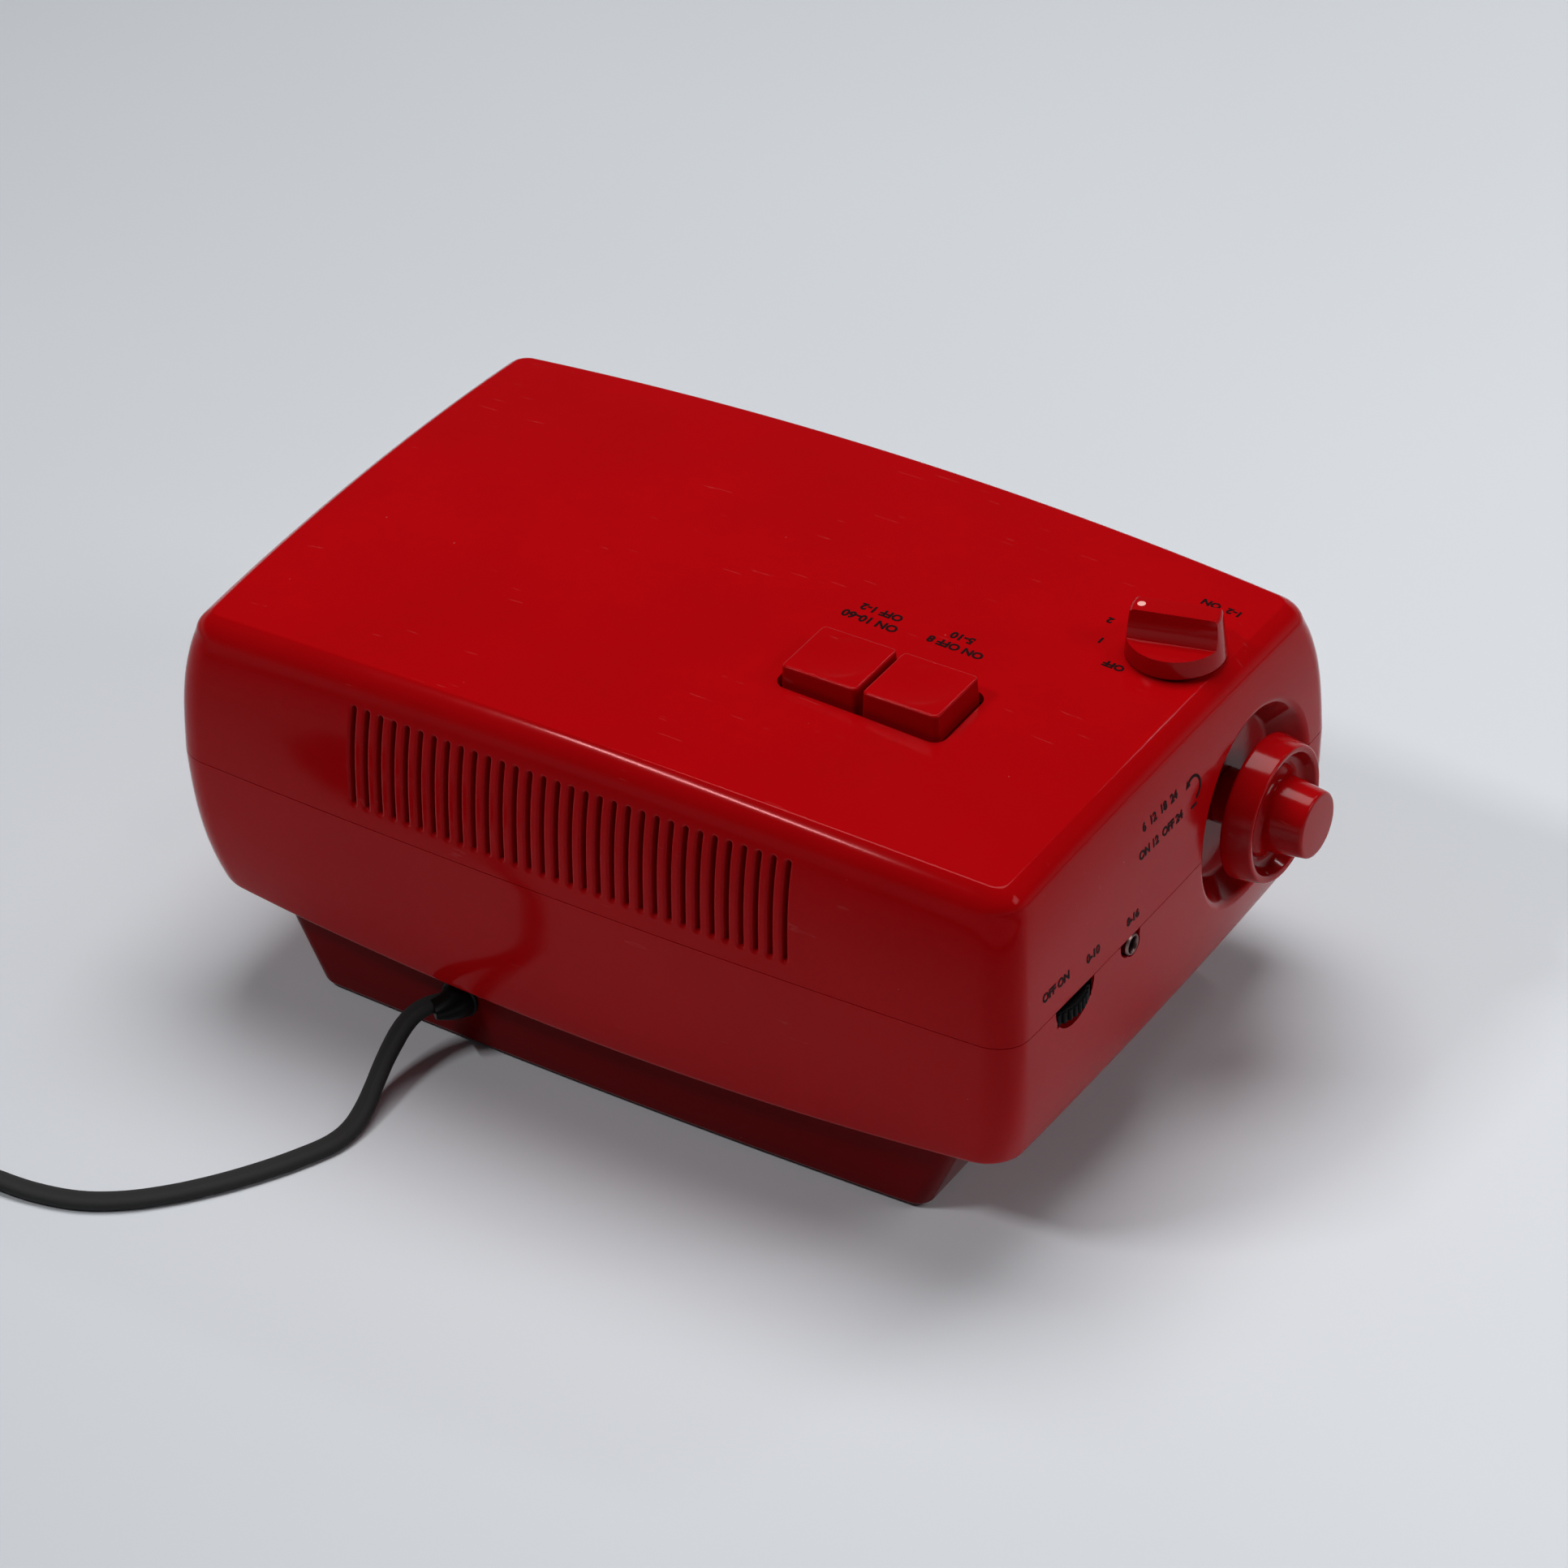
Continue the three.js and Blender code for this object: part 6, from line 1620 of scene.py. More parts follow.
    def build_gland(self) -> bpy.types.Object:
        """Makes the strain relief: a round body in the wall, a low collar and a bent nose."""
        x, z, wall = gland_x(), Span.of("strain_relief").centre.z, self.wall + 0.3
        round_parts = [(-12.0, 4.0), (-11.6, 4.5), (-0.2, 4.5), (0.0, 4.9), (0.3, 5.2), (0.7, 5.2), (1.0, 4.9)]
        sections = [((x, wall + y, z), 0.0, r, r, 2.0) for y, r in round_parts]
        count = 26
        spot, heading = Vector((x, wall + 1.05, z)), 0.0
        for k in range(count + 1):
            share = k / count
            half_width = 4.7 - 1.5 * share
            half_height = 4.7 - 2.9 * share
            sections.append((tuple(spot), heading, half_width, half_height, 2.0 + 0.3 * share))
            heading = 41 * math.sin(share * math.pi / 2)
            spot = spot + Vector((math.sin(math.radians(heading)), math.cos(math.radians(heading)), 0)) * (7.2 / count)
        gland = smoothed(self.lofted("strain_relief_nose", sections, 56), 40)
        RUBBER.on(gland)
        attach(gland, "case")
        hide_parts("strain_relief")
        return gland

    def build_tie(self) -> bpy.types.Object:
        """Makes the paper-covered wire that holds the coil, with its two twisted ends."""
        angle = math.radians(150)
        out = Vector((math.cos(angle), math.sin(angle), 0))
        centre = Vector((*self.coil, 0))
        outline = rounded_outline(((21.2 + 36.8) / 2, 6.15), ((36.8 - 21.2) / 2, 6.0), 1.6, 6)
        band = []
        for side, inset in ((-1, 0.0), (-1, 0.32), (1, 0.32), (1, 0.0)):
            middle = (29.0, 6.15)
            ring = []
            for r, z in outline:
                toward = Vector((middle[0] - r, middle[1] - z)).normalized() * inset
                spot = centre + out * (r + toward.x) + Vector((-out.y, out.x, 0)) * side * 1.9
                ring.append((spot.x, spot.y, z + toward.y))
            band.append(ring)
        count = len(outline)
        points = [p for ring in band for p in ring]
        faces = []
        for row in range(4):
            for k in range(count):
                low, high = row * count, (row + 1) % 4 * count
                faces.append((low + k, low + (k + 1) % count, high + (k + 1) % count, high + k))
        tie = outwards(new_object("coil_tie_band", points, faces))
        ends = []
        for turn in (0, math.pi):
            route = []
            for k in range(40):
                t = k / 39
                spread = 0.55 + 2.6 * max(0, t - 0.6)
                swing = turn + 9 * math.pi * min(t, 0.7)
                lift = 12.2 + 6 * t - 5 * t * t
                side = Vector((-out.y, out.x, 0))
                spot = centre + out * (29 + 8 * t) + side * spread * math.cos(swing)
                route.append(spot + Vector((0, 0, lift + spread * 0.6 * math.sin(swing))))
            sections = []
            for k, spot in enumerate(route):
                ahead = route[min(k + 1, 39)] - route[max(k - 1, 0)]
                heading = math.degrees(math.atan2(ahead.x, ahead.y))
                sections.append((tuple(spot), heading, 0.5, 0.5, 2.0))
            ends.append(self.lofted("tie_end", sections, 10))
        tie = joined("coil_tie", tie, *ends)
        NYLON.on(smoothed(tie, 50))
        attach(tie, "case")
        return tie

    def build_plug(self) -> list[bpy.types.Object]:
        """Makes the moulded plug with its ribbed nose, grip hollows and two blades."""
        body = Span.of("plug_body")
        x, z, start = body.centre.x, body.centre.z, body.low.y
        nose_end, end = start + 12, body.high.y
        half_w, half_h = body.size.x / 2, body.size.z / 2
        sections = []
        for k in range(31):
            share = k / 30
            rib = 0.35 * max(0.0, math.sin(share * math.pi * 9)) * min(1, 4 * (1 - share))
            half_width = 3.4 + 2.6 * share + rib
            half_height = 2.4 + 2.6 * share + rib
            sections.append(((x, start + share * 11, z), 0.0, half_width, half_height, 2.2))
        shoulder = 2.0
        for k in range(1, 13):
            share = k / 12
            swell = math.sin(share * math.pi / 2)
            half_width = 6 + (half_w - 6) * swell
            half_height = 5 + (half_h - 5) * swell
            y = start + 11 + (1 + shoulder) * (1 - math.cos(share * math.pi / 2))
            sections.append(((x, y, z), 0.0, half_width, half_height, 2.2 + 2.6 * share))
        for k in range(1, 15):
            share = k / 14
            grip = 1.5 * math.sin(share * math.pi) ** 2
            y = nose_end + shoulder + (end - 1.2 - nose_end - shoulder) * share
            sections.append(((x, y, z), 0.0, half_w - grip, half_h - 0.35 * grip, 4.8))
        for k in range(1, 6):
            angle = math.pi / 2 * k / 5
            inset = 1.2 * (1 - math.cos(angle))
            sections.append(((x, end - 1.2 + 1.2 * math.sin(angle), z), 0.0, half_w - inset, half_h - inset, 4.8))
        plug = self.lofted("plug_moulding", sections, 72)
        blades = []
        for name in ("plug_blade_left", "plug_blade_right"):
            span = Span.of(name)
            pocket = block(span.low - Vector((0.3, 0.3, 0.3)), span.high + Vector((0.3, 0.3, 0.3)))
            combine(plug, Cut.AWAY, pocket)
            blades.append(self.blade(name, span))
        RUBBER.on(smoothed(plug, 38))
        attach(plug, "case")
        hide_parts("plug_body")
        return [plug, *blades]

    def blade(self, name: str, span: Span) -> bpy.types.Object:
        """Makes one blade with a rounded tip and a hole.

        Args:
            name: The blade's name.
            span: The CAD blade's box.

        Returns:
            The blade.
        """
        low, high, half = span.low, span.high, span.size.z / 2
        middle = span.centre.z
        outline = [(low.y, middle - half), (high.y - 2.2, middle - half)]
        for k in range(13):
            angle = math.radians(-90 + 15 * k)
            outline.append((high.y - 2.2 + 2.2 * math.cos(angle), middle + half * math.sin(angle)))
        outline.append((low.y, middle + half))
        blade = drawn(f"{name}_metal", outline, Axis.X, low.x, high.x)
        hole = [(low.x - 1, 0), (low.x - 1, 1.6), (high.x + 1, 1.6), (high.x + 1, 0)]
        combine(blade, Cut.AWAY, turned("hole", hole, Axis.X, (high.y - 4.2, middle), 32))
        bevelled(blade, 0.25, 2)
        BRASS.on(blade)
        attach(blade, "case")
        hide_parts(name)
        return blade

    def build(self) -> None:
        cord, line = self.build_cord()
        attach(cord, "case")
        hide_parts("power_cord", "cord_coil", "cord_tail")
        gland, tie = self.build_gland(), self.build_tie()
        plug = self.build_plug()
        length = sum((b - a).length for a, b in zip(line, line[1:]))
        tuple(line[0] * MM)
        self.width * MM
        [tuple(p * MM) for p in line]
        LOG.info("mains cord: %.2f m, %d faces", length * MM, len(cord.data.polygons))


# ================================================================ knobs and keys
@dataclass(frozen=True)
class EndKnobs:
    """The ring and boss knobs in the wells of both ends."""

    ring: float = 18.6
    face: float = 17.2
    dish: float = 15.6
    dish_depth: float = 4.2
    hub: float = 7
    flare: float = 11.8
    boss: float = 8.4
    shaft: float = 2
    sides: int = 144

    def ring_corners(self, span_in: float, back: float, face: float) -> list[tuple[float, float, float]]:
        """The ring's profile from its hub's end to the floor of its dish."""
        floor = face - self.dish_depth
        return [
            (span_in, 0, 0),
            (span_in, self.hub, 0.3),
            (back, self.hub, 0.4),
            (back, self.ring, 0.9),
            (face, self.face + 0.1, 0.85),
            (face - 0.35, self.dish, 0.75),
            (floor, self.dish - 1.5, 2.4),
        ]

    def boss_corners(self, foot: float, end: float) -> list[tuple[float, float, float]]:
        """The boss's profile from its flared foot to its end."""
        return [
            (foot, self.flare, 0),
            (foot + 0.7, self.flare - 0.3, 0.4),
            (foot + 2.1, self.boss + 1.35, 2.6),
            (end, self.boss, 1.1),
            (end, 0, 0),
        ]

    def bored(self, knob: bpy.types.Object, low: float, high: float, radius: float) -> bpy.types.Object:
        """Drills a knob from low to high."""
        profile = [(low, 0), (low, radius), (high, radius), (high, 0)]
        return combine(knob, Cut.AWAY, turned("bore", profile, Axis.X, Shells().axis, 48))

    def finished(self, knob: bpy.types.Object, node: str, body: str) -> None:
        """Smooths a knob and lets it stand for its CAD node."""
        KNOB_RED.on(smoothed(knob, 28))
        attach(knob, body)
        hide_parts(node)
        LOG.info("%s: %d faces", node, len(knob.data.polygons))

    def build(self) -> None:
        """Makes the three knobs."""
        axis = Shells().axis
        ring, boss, tuning = (Span.of(n) for n in ("alarm_set_knob", "time_set_knob", "tuning_knob"))
        back = -ring.low.x - 8
        corners = self.ring_corners(-ring.high.x, back, -ring.low.x)
        corners.append((corners[-1][0], 0, 0))
        profile = [(-along, radius) for along, radius in filleted(corners, 6)]
        knob = turned("alarm_set_ring", profile, Axis.X, axis, self.sides)
        self.bored(knob, -200, 0, self.shaft + 0.25)
        self.bored(knob, -(back - 2), 0, Span.of("alarm_sleeve").size.y / 2 + 0.25)
        self.finished(knob, "alarm_set_knob", "alarm")

        foot = -boss.high.x
        corners = [(foot, 0, 0), *self.boss_corners(foot, -boss.low.x)]
        profile = [(-along, radius) for along, radius in filleted(corners, 6)]
        knob = turned("time_set_boss", profile, Axis.X, axis, self.sides)
        self.bored(knob, boss.low.x + 3, 0, 2.3)
        self.finished(knob, "time_set_knob", "minutes")

        face = back + 8
        corners = self.ring_corners(tuning.low.x, back, face)
        floor = corners[-1][0]
        corners += self.boss_corners(floor, tuning.high.x)
        knob = turned("tuning_ring_and_boss", filleted(corners, 6), Axis.X, axis, self.sides)
        self.bored(knob, 0, tuning.high.x - 3, 3.3)
        self.finished(knob, "tuning_knob", "tuning")


@dataclass(frozen=True)
class ModeKnob:
    """The mode knob: a tapered disc with a waisted grip bar and a dot at one end of it."""

    ledge: float = 4.8
    grip_foot: float = 9
    grip_top: float = 5.6
    dot: float = 1.1
    dot_reach: float = 8.4
    turn: float = 14.7

    def build(self) -> None:
        """Makes the knob and its dot."""
        span = Span.of("mode_knob")
        x, y, low, top = span.centre.x, span.centre.y, span.low.z, span.high.z
        radius = span.size.x / 2
        corners = [(low, 0, 0), (low, radius, 0.5), (top, radius - 1.4, 1.5), (top, 0, 0)]
        knob = turned("mode_selector_knob", filleted(corners, 8), Axis.Z, (x, y), 144)
        cos, sin = math.cos(math.radians(self.turn)), math.sin(math.radians(self.turn))

        def turned_round(u: float, v: float, w: float) -> Point:
            """A point turned round the knob's axis, to where the grip stands."""
            return (x + (u - x) * cos - (v - y) * sin, y + (u - x) * sin + (v - y) * cos, w)

        for side in (-1, 1):
            outline = []
            for k in range(13):
                t = k / 12
                half = self.grip_top / 2 + (self.grip_foot - self.grip_top) / 2 * (1 - t) ** 2.2
                outline.append((y + side * half, low + self.ledge + (top - low - self.ledge) * t))
            outline.append((y + side * self.grip_top / 2, top + 2))
            outline += [(y + side * 30, top + 2), (y + side * 30, low + self.ledge)]
            combine(knob, Cut.AWAY, shaped(drawn("hollow", outline, Axis.X, x - 30, x + 30), turned_round))
        bore = [(low - 5, 0), (low - 5, 3.3), (low + self.ledge, 3.3), (low + self.ledge, 0)]
        combine(knob, Cut.AWAY, turned("bore", bore, Axis.Z, (x, y), 48))
        cleaned(knob, 0.3)
        bevelled(knob, 0.45, 4, 36)
        KNOB_RED.on(knob)
        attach(knob, "mode_selector")
        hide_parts("mode_knob")
        corners = [(top - 0.4, 0, 0), (top - 0.4, self.dot, 0), (top, self.dot, 0.15), (top + 0.05, 0, 0)]
        place = turned_round(x + self.dot_reach, y, 0)
        dot = turned("mode_selector_dot", filleted(corners, 3), Axis.Z, place[:2], 40)
        DOT.on(smoothed(dot, 40))
        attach(dot, "mode_selector")
        LOG.info("mode knob: %d faces", len(knob.data.polygons))


@dataclass(frozen=True)
class PushKeys:
    """The two push keys, each with a round hollow for a fingertip."""

    corner: float = 1.4
    edge: float = 0.7
    draft: float = 0.5
    dish: float = 46
    dish_depth: float = 0.8
    stem: float = 7

    def ring(self, half: tuple[float, float], radius: float, z: float) -> np.ndarray:
        """A rounded rectangle at a height, its points spread evenly round it."""
        outline = [Vector((x, y, 0)) for x, y in rounded_outline((0, 0), half, radius, 10)]
        outline.append(outline[0].copy())
        flat = np.array([tuple(p)[:2] for p in even_steps(outline, sum(
            (b - a).length for a, b in zip(outline, outline[1:])) / 192)][:-1])
        return np.column_stack((flat, np.full(len(flat), z)))

    def build_key(self, node: str) -> None:
        """Makes one key.

        Args:
            node: The CAD key that it stands for.
        """
        span = Span.of(node)
        half = (span.size.x / 2 - self.draft, span.size.y / 2 - self.draft)
        top, foot = span.high.z, span.low.z + self.stem
        rings = [self.ring((half[0] + self.draft - 0.4, half[1] + self.draft - 0.4), self.corner, foot)]
        for k in range(9):
            grow = self.draft * (1 - k / 8)
            z = foot + 0.4 + (top - self.edge - foot - 0.4) * k / 8
            rings.append(self.ring((half[0] + grow, half[1] + grow), self.corner, z))
        for k in range(1, 9):
            angle = math.pi / 2 * k / 8
            inset = self.edge * (1 - math.cos(angle))
            z = top - self.edge * (1 - math.sin(angle))
            sides = (half[0] - inset, half[1] - inset)
            rings.append(self.ring(sides, max(self.corner - inset, 0.6), z))
        flat = rings[-1][:, :2]
        reach = math.sqrt(2 * self.dish * self.dish_depth)
        directions = flat / np.linalg.norm(flat, axis=1)[:, None]
        for share in (0.25, 0.5, 0.75, 0.92):
            spots = flat * (1 - share) + directions * (reach + 0.35) * share
            rings.append(np.column_stack((spots, np.full(len(spots), top))))
        for radius in (reach + 0.35, reach + 0.15, reach - 0.1, reach - 0.35, *np.linspace(reach - 0.9, 0.4, 14)):
            edge = max(0.0, 1 - abs(radius - reach) / 0.4) * 0.03
            drop = (reach**2 - radius**2) / (2 * self.dish) if radius < reach else 0.0
            rings.append(np.column_stack((directions * radius, np.full(len(flat), top - drop - edge))))
        rings = [ring + (span.centre.x, span.centre.y, 0) for ring in rings]
        key = skinned(f"{node}_cap", rings)
        stem = block(
            (span.centre.x - self.stem / 2, span.centre.y - self.stem / 2, span.low.z),
            (span.centre.x + self.stem / 2, span.centre.y + self.stem / 2, foot + 1),
        )
        combine(key, Cut.ADD, stem)
        RED.on(smoothed(key, 30))
        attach(key, node)
        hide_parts(node)
        LOG.info("%s: %d faces", node, len(key.data.polygons))

    def build(self) -> None:
        """Makes both keys."""
        for node in ("key_left", "key_right"):
            self.build_key(node)


@dataclass(frozen=True)
class VolumeWheel:
    """The knurled thumb wheel that shows in its notch under the seam."""

    teeth: int = 48
    bore: float = 3.25

    def build(self) -> None:
        """Makes the wheel's disc and its ridges."""
        span = Span.of("volume_wheel")
        centre, low, high = (span.centre.x, span.centre.y), span.low.z, span.high.z
        radius = span.size.x / 2
        corners = [
            (low, 0, 0),
            (low, radius - 0.55, 0.4),
            (high, radius - 0.55, 0.4),
            (high, radius - 3, 0.1),
            (high - 0.5, radius - 3.4, 0.2),
            (high - 0.5, 4.5, 0.2),
            (high, 4.2, 0.1),
            (high, 0, 0),
        ]
        disc = turned("volume_disc", filleted(corners, 4), Axis.Z, centre, 144)
        bore = [(low - 1, 0), (low - 1, self.bore), (high - 1.2, self.bore), (high - 1.2, 0)]
        combine(disc, Cut.AWAY, turned("bore", bore, Axis.Z, centre, 48))
        WHEEL_BLACK.on(smoothed(disc, 30))
        pattern = Pattern("wheel_ridges")
        tree = pattern.tree
        inputs = {"Vertices": pattern.size("Ridges", self.teeth), "Radius": pattern.size("Radius", (radius - 0.6) * MM)}
        circle = tree.node("GeometryNodeMeshCircle", None, inputs)
        height = pattern.size("Height", (high - low - 0.5) * MM)
        size = {"Vertices": 10, "Radius": pattern.size("Ridge radius", 0.6 * MM), "Depth": height}
        ridge = tree.node("GeometryNodeMeshCylinder", None, size)
        placed = pattern.repeated(circle.outputs[0], ridge.outputs[0])
        middle = tuple(c * MM for c in (*centre, (low + high) / 2))
        moved = tree.node("GeometryNodeTransform", None, {0: placed, "Translation": pattern.size("Middle", middle)})
        ridges = pattern.made("volume_ridges", moved.outputs[0], WHEEL_BLACK)
        wheel = joined("volume_thumb_wheel", disc, smoothed(ridges, 40))
        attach(wheel, "volume")
        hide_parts("volume_wheel")
        LOG.info("volume wheel: %d faces", len(wheel.data.polygons))


@dataclass(frozen=True)
class EarphoneJack:
    """The earphone socket: a plated ring with a black body behind it."""

    bore: float = 2.05

    def build(self) -> None:
        """Makes the ring and the body."""
        span = Span.of("jack_ring")
        axis = (span.centre.y, span.centre.z)
        low, high, radius = span.low.x, span.high.x, span.size.y / 2
        corners = [
            (low + 0.5, self.bore, 0.1),
            (low, self.bore + 0.25, 0.1),
            (low, radius - 0.4, 0.2),
            (low + 0.5, radius, 0.2),
            (high, radius, 0.1),
            (high, self.bore, 0),
            (low + 1.2, self.bore, 0),
        ]
        ring = smoothed(turned("jack_plated_ring", filleted(corners, 4), Axis.X, axis, 72), 30)
        # The ring's pinkish tint is a painted reflection of the red case.
        RING_STEEL.on(ring)
        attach(ring, "case")
        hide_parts("jack_ring")
        body = refined("earphone_jack", 0.4, BLACK)
        LOG.info("earphone jack: %d and %d faces", len(ring.data.polygons), len(body.data.polygons))


# ================================================================ lettering and marks
def lettered(text: str, size: float, thick: float = 0.1, bold: float = 0.0) -> bpy.types.Object:
    """A number or a plain word as a thin form around the origin.

    Args:
        text: What it says.
        size: The letters' size, in millimetres.
        thick: How thick the form is.
        bold: How far the strokes are made wider on each side.

    Returns:
        The form.
    """
    curve = bpy.data.curves.new(f"text_{text}", "FONT")
    curve.body = text
    curve.size = size * MM
    curve.extrude = thick / 2 * MM
    curve.offset = bold * MM
    curve.align_x, curve.align_y = "CENTER", "CENTER"
    curve.resolution_u = 6
    source = bpy.data.objects.new("text", curve)
    bpy.context.scene.collection.objects.link(source)
    bpy.context.view_layer.update()
    graph = bpy.context.evaluated_depsgraph_get()
    mesh = bpy.data.meshes.new_from_object(source.evaluated_get(graph), depsgraph=graph)
    bpy.data.objects.remove(source)
    bpy.data.curves.remove(curve)
    made = bpy.data.objects.new("text_form", mesh)
    bpy.context.scene.collection.objects.link(made)
    mesh.materials.clear()
    return made


# ================================================================ front
@dataclass(frozen=True)
class Front:
    """The front's panes, grille, loudspeaker, flip leaves and dial numbers."""

    slats: int = 18
    slat_pitch: float = 4
    slat_width: float = 2
    margin: float = 3.2
    digit: float = 27
    dial_marks: tuple[str, ...] = ("55", "60", "70", "80", "100", "120", "140", "160")
    dial_step: float = 15

    def build_grille(self) -> None:
        """Makes the grille: a frame with upright slats."""
        span = Span.of("speaker_grille")
        rails = block(span.low, span.high, "grille_rails")
        inner = Vector((self.margin, -5, self.margin))
        combine(rails, Cut.AWAY, block(span.low + inner, span.high - inner))
        start = (span.centre.x - (self.slats - 1) / 2 * self.slat_pitch, span.centre.y, span.centre.z)
        size = (self.slat_width, span.size.y - 0.2, span.size.z - 2 * self.margin + 1)
        slats = row_of_blocks("grille_slats", start, (self.slat_pitch, 0, 0), self.slats, size, BLACK)
        grille = joined("grille_body", bevelled(rails, 0.35), bevelled(slats, 0.55, 4))
        BLACK.on(grille)
        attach(grille, "case")
        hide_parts("speaker_grille")
        LOG.info("grille: %d faces", len(grille.data.polygons))

    def build_cone(self) -> None:
        """Makes the loudspeaker's cone with its pleated rim and dust cap."""
        span = Span.of("speaker_cone")
        low, high, rim = span.low.y, span.high.y, span.size.x / 2
        front = [(low + 0.6 - 0.5 * math.sin(3 * math.pi * k / 18), rim - 2.6 * k / 18) for k in range(19)]
        flare = np.linspace(0, 1, 9)[1:]
        front += [(low + 0.6 + (high - low - 1.8) * t**1.15, rim - 2.8 + (8.2 - rim) * t) for t in flare]
        cap = [(high - 1.4 - 3 * math.sin(a), 5.2 * math.cos(a)) for a in np.linspace(0, math.pi / 2, 10)]
        line = front + cap
        profile = line[::-1] + [(y + 0.5, r) for y, r in line]
        cone = turned("loudspeaker_cone", profile, Axis.Y, (span.centre.x, span.centre.z), 96)
        PAPER.on(smoothed(cone, 50))
        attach(cone, "case")
        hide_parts("speaker_cone")

    def build_leaves(self) -> None:
        """Makes the flip leaves and the numerals on them."""
        for kind, number in (("hour", "10"), ("minute", "08")):
            upper, lower = Span.of(f"{kind}_leaf_upper"), Span.of(f"{kind}_leaf_lower")
            for half in ("upper", "lower"):
                refined(f"{kind}_leaf_{half}", 0.12, LEAF)
            digits = lettered(number, self.digit, 0.12)
            middle = (upper.centre.x, (upper.low.z + lower.high.z) / 2)
            face = upper.low.y - 0.06
            shaped(digits, lambda u, v, w, m=middle, f=face: (m[0] + u * 0.92, f - w, m[1] + v))
            slit = block((-120, face - 2, lower.high.z - 0.1), (0, face + 2, upper.low.z + 0.1))
            combine(digits, Cut.AWAY, slit)
            digits.name = digits.data.name = f"{kind}_numerals"
            WHITE_INK.on(digits)
            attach(digits, "case")

    def build_dial(self) -> None:
        """Makes the dial drum and the numbers and ticks round it."""
        drum = Span.of("dial_drum")
        refined("dial_drum", 0.5, LEAF)
        y, z, radius = drum.centre.y, drum.centre.z, drum.size.y / 2
        marks = []
        for k, number in enumerate(self.dial_marks):
            turn = self.dial_step * ((len(self.dial_marks) - 1) / 2 - k)

            def wrap(u: float, v: float, w: float, t: float = turn) -> Point:
                """Bends a flat mark round the drum."""
                angle = math.radians(t) + v / radius
                out = radius + 0.05 + w
                return (drum.centre.x - 1.5 + u, y - out * math.cos(angle), z + out * math.sin(angle))

            marks.append(shaped(lettered(number, 5.2), wrap))
            for part in range(4):
                tall = 2.4 if part == 0 else 1.3
                tick = block((8.6, -0.18, -0.05), (8.6 + tall, 0.18, 0.05))
                marks.append(shaped(tick, lambda u, v, w, p=part: wrap(u, v, w, turn - self.dial_step * p / 4)))
        scale = joined("dial_scale", *marks)
        WHITE_INK.on(scale)
        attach(scale, "tuning")
        LOG.info("dial: %d faces of marks", len(scale.data.polygons))

    def build(self) -> None:
        """Makes the whole front."""
        refined("front_bezel", 0.35, BLACK)
        for node in ("clock_window", "dial_window"):
            refined(node, 0.3, CLEAR)
        refined("speaker_basket", 0.3, STEEL)
        self.build_grille()
        self.build_cone()
        self.build_leaves()
        self.build_dial()


# ================================================================ works
WORKS: tuple[tuple[str, float, Finish], ...] = (
    ("mode_switch", 0.3, BLACK),
    ("key_switch_block", 0.4, BLACK),
    ("volume_control", 0.3, STEEL),
    ("clock_frame", 0.2, STEEL),
    ("clock_motor", 0.6, STEEL),
    ("motor_pinion", 0.12, NYLON),
    ("clock_shaft", 0.12, STEEL),
    ("alarm_sleeve", 0.15, BRASS),
    ("alarm_drum", 0.3, NYLON),
    ("minute_drum", 0.12, LEAF),
    ("hour_drum", 0.12, LEAF),
    ("carry_arbor", 0.12, NYLON),
    ("mode_shaft", 0.2, STEEL),
    ("tuner_frame", 0.2, STEEL),
    ("tuning_shaft", 0.2, BRASS),
    ("capacitor_rotor", 0.12, STEEL),
    ("capacitor_stator", 0.12, STEEL),
    ("circuit_board", 0.15, BOARD),
    ("aerial_rod", 0.4, FERRITE),
    ("transformer_core", 0.4, STEEL),
    ("transformer_winding", 1.2, COPPER),
    ("case_screw_front_left", 0.3, STEEL),
    ("case_screw_front_right", 0.3, STEEL),
    ("case_screw_rear_left", 0.3, STEEL),
    ("case_screw_rear_right", 0.3, STEEL),
)


def build_works() -> None:
    """Makes the pieces inside the case."""
    faces = 0
    for node, edge, finish in WORKS:
        faces += len(refined(node, edge, finish).data.polygons)
    LOG.info("works: %d pieces, %d faces", len(WORKS), faces)


# ================================================================ printed marks
class Panel(Enum):
    """The faces that carry print."""

    TOP = "top"
    END = "end"


@dataclass(frozen=True)
class Mark:
    """A printed number or word: its middle's place on its panel, to the right and up, as it is read."""

    text: str
    panel: Panel
    right: float
    up: float
    size: float


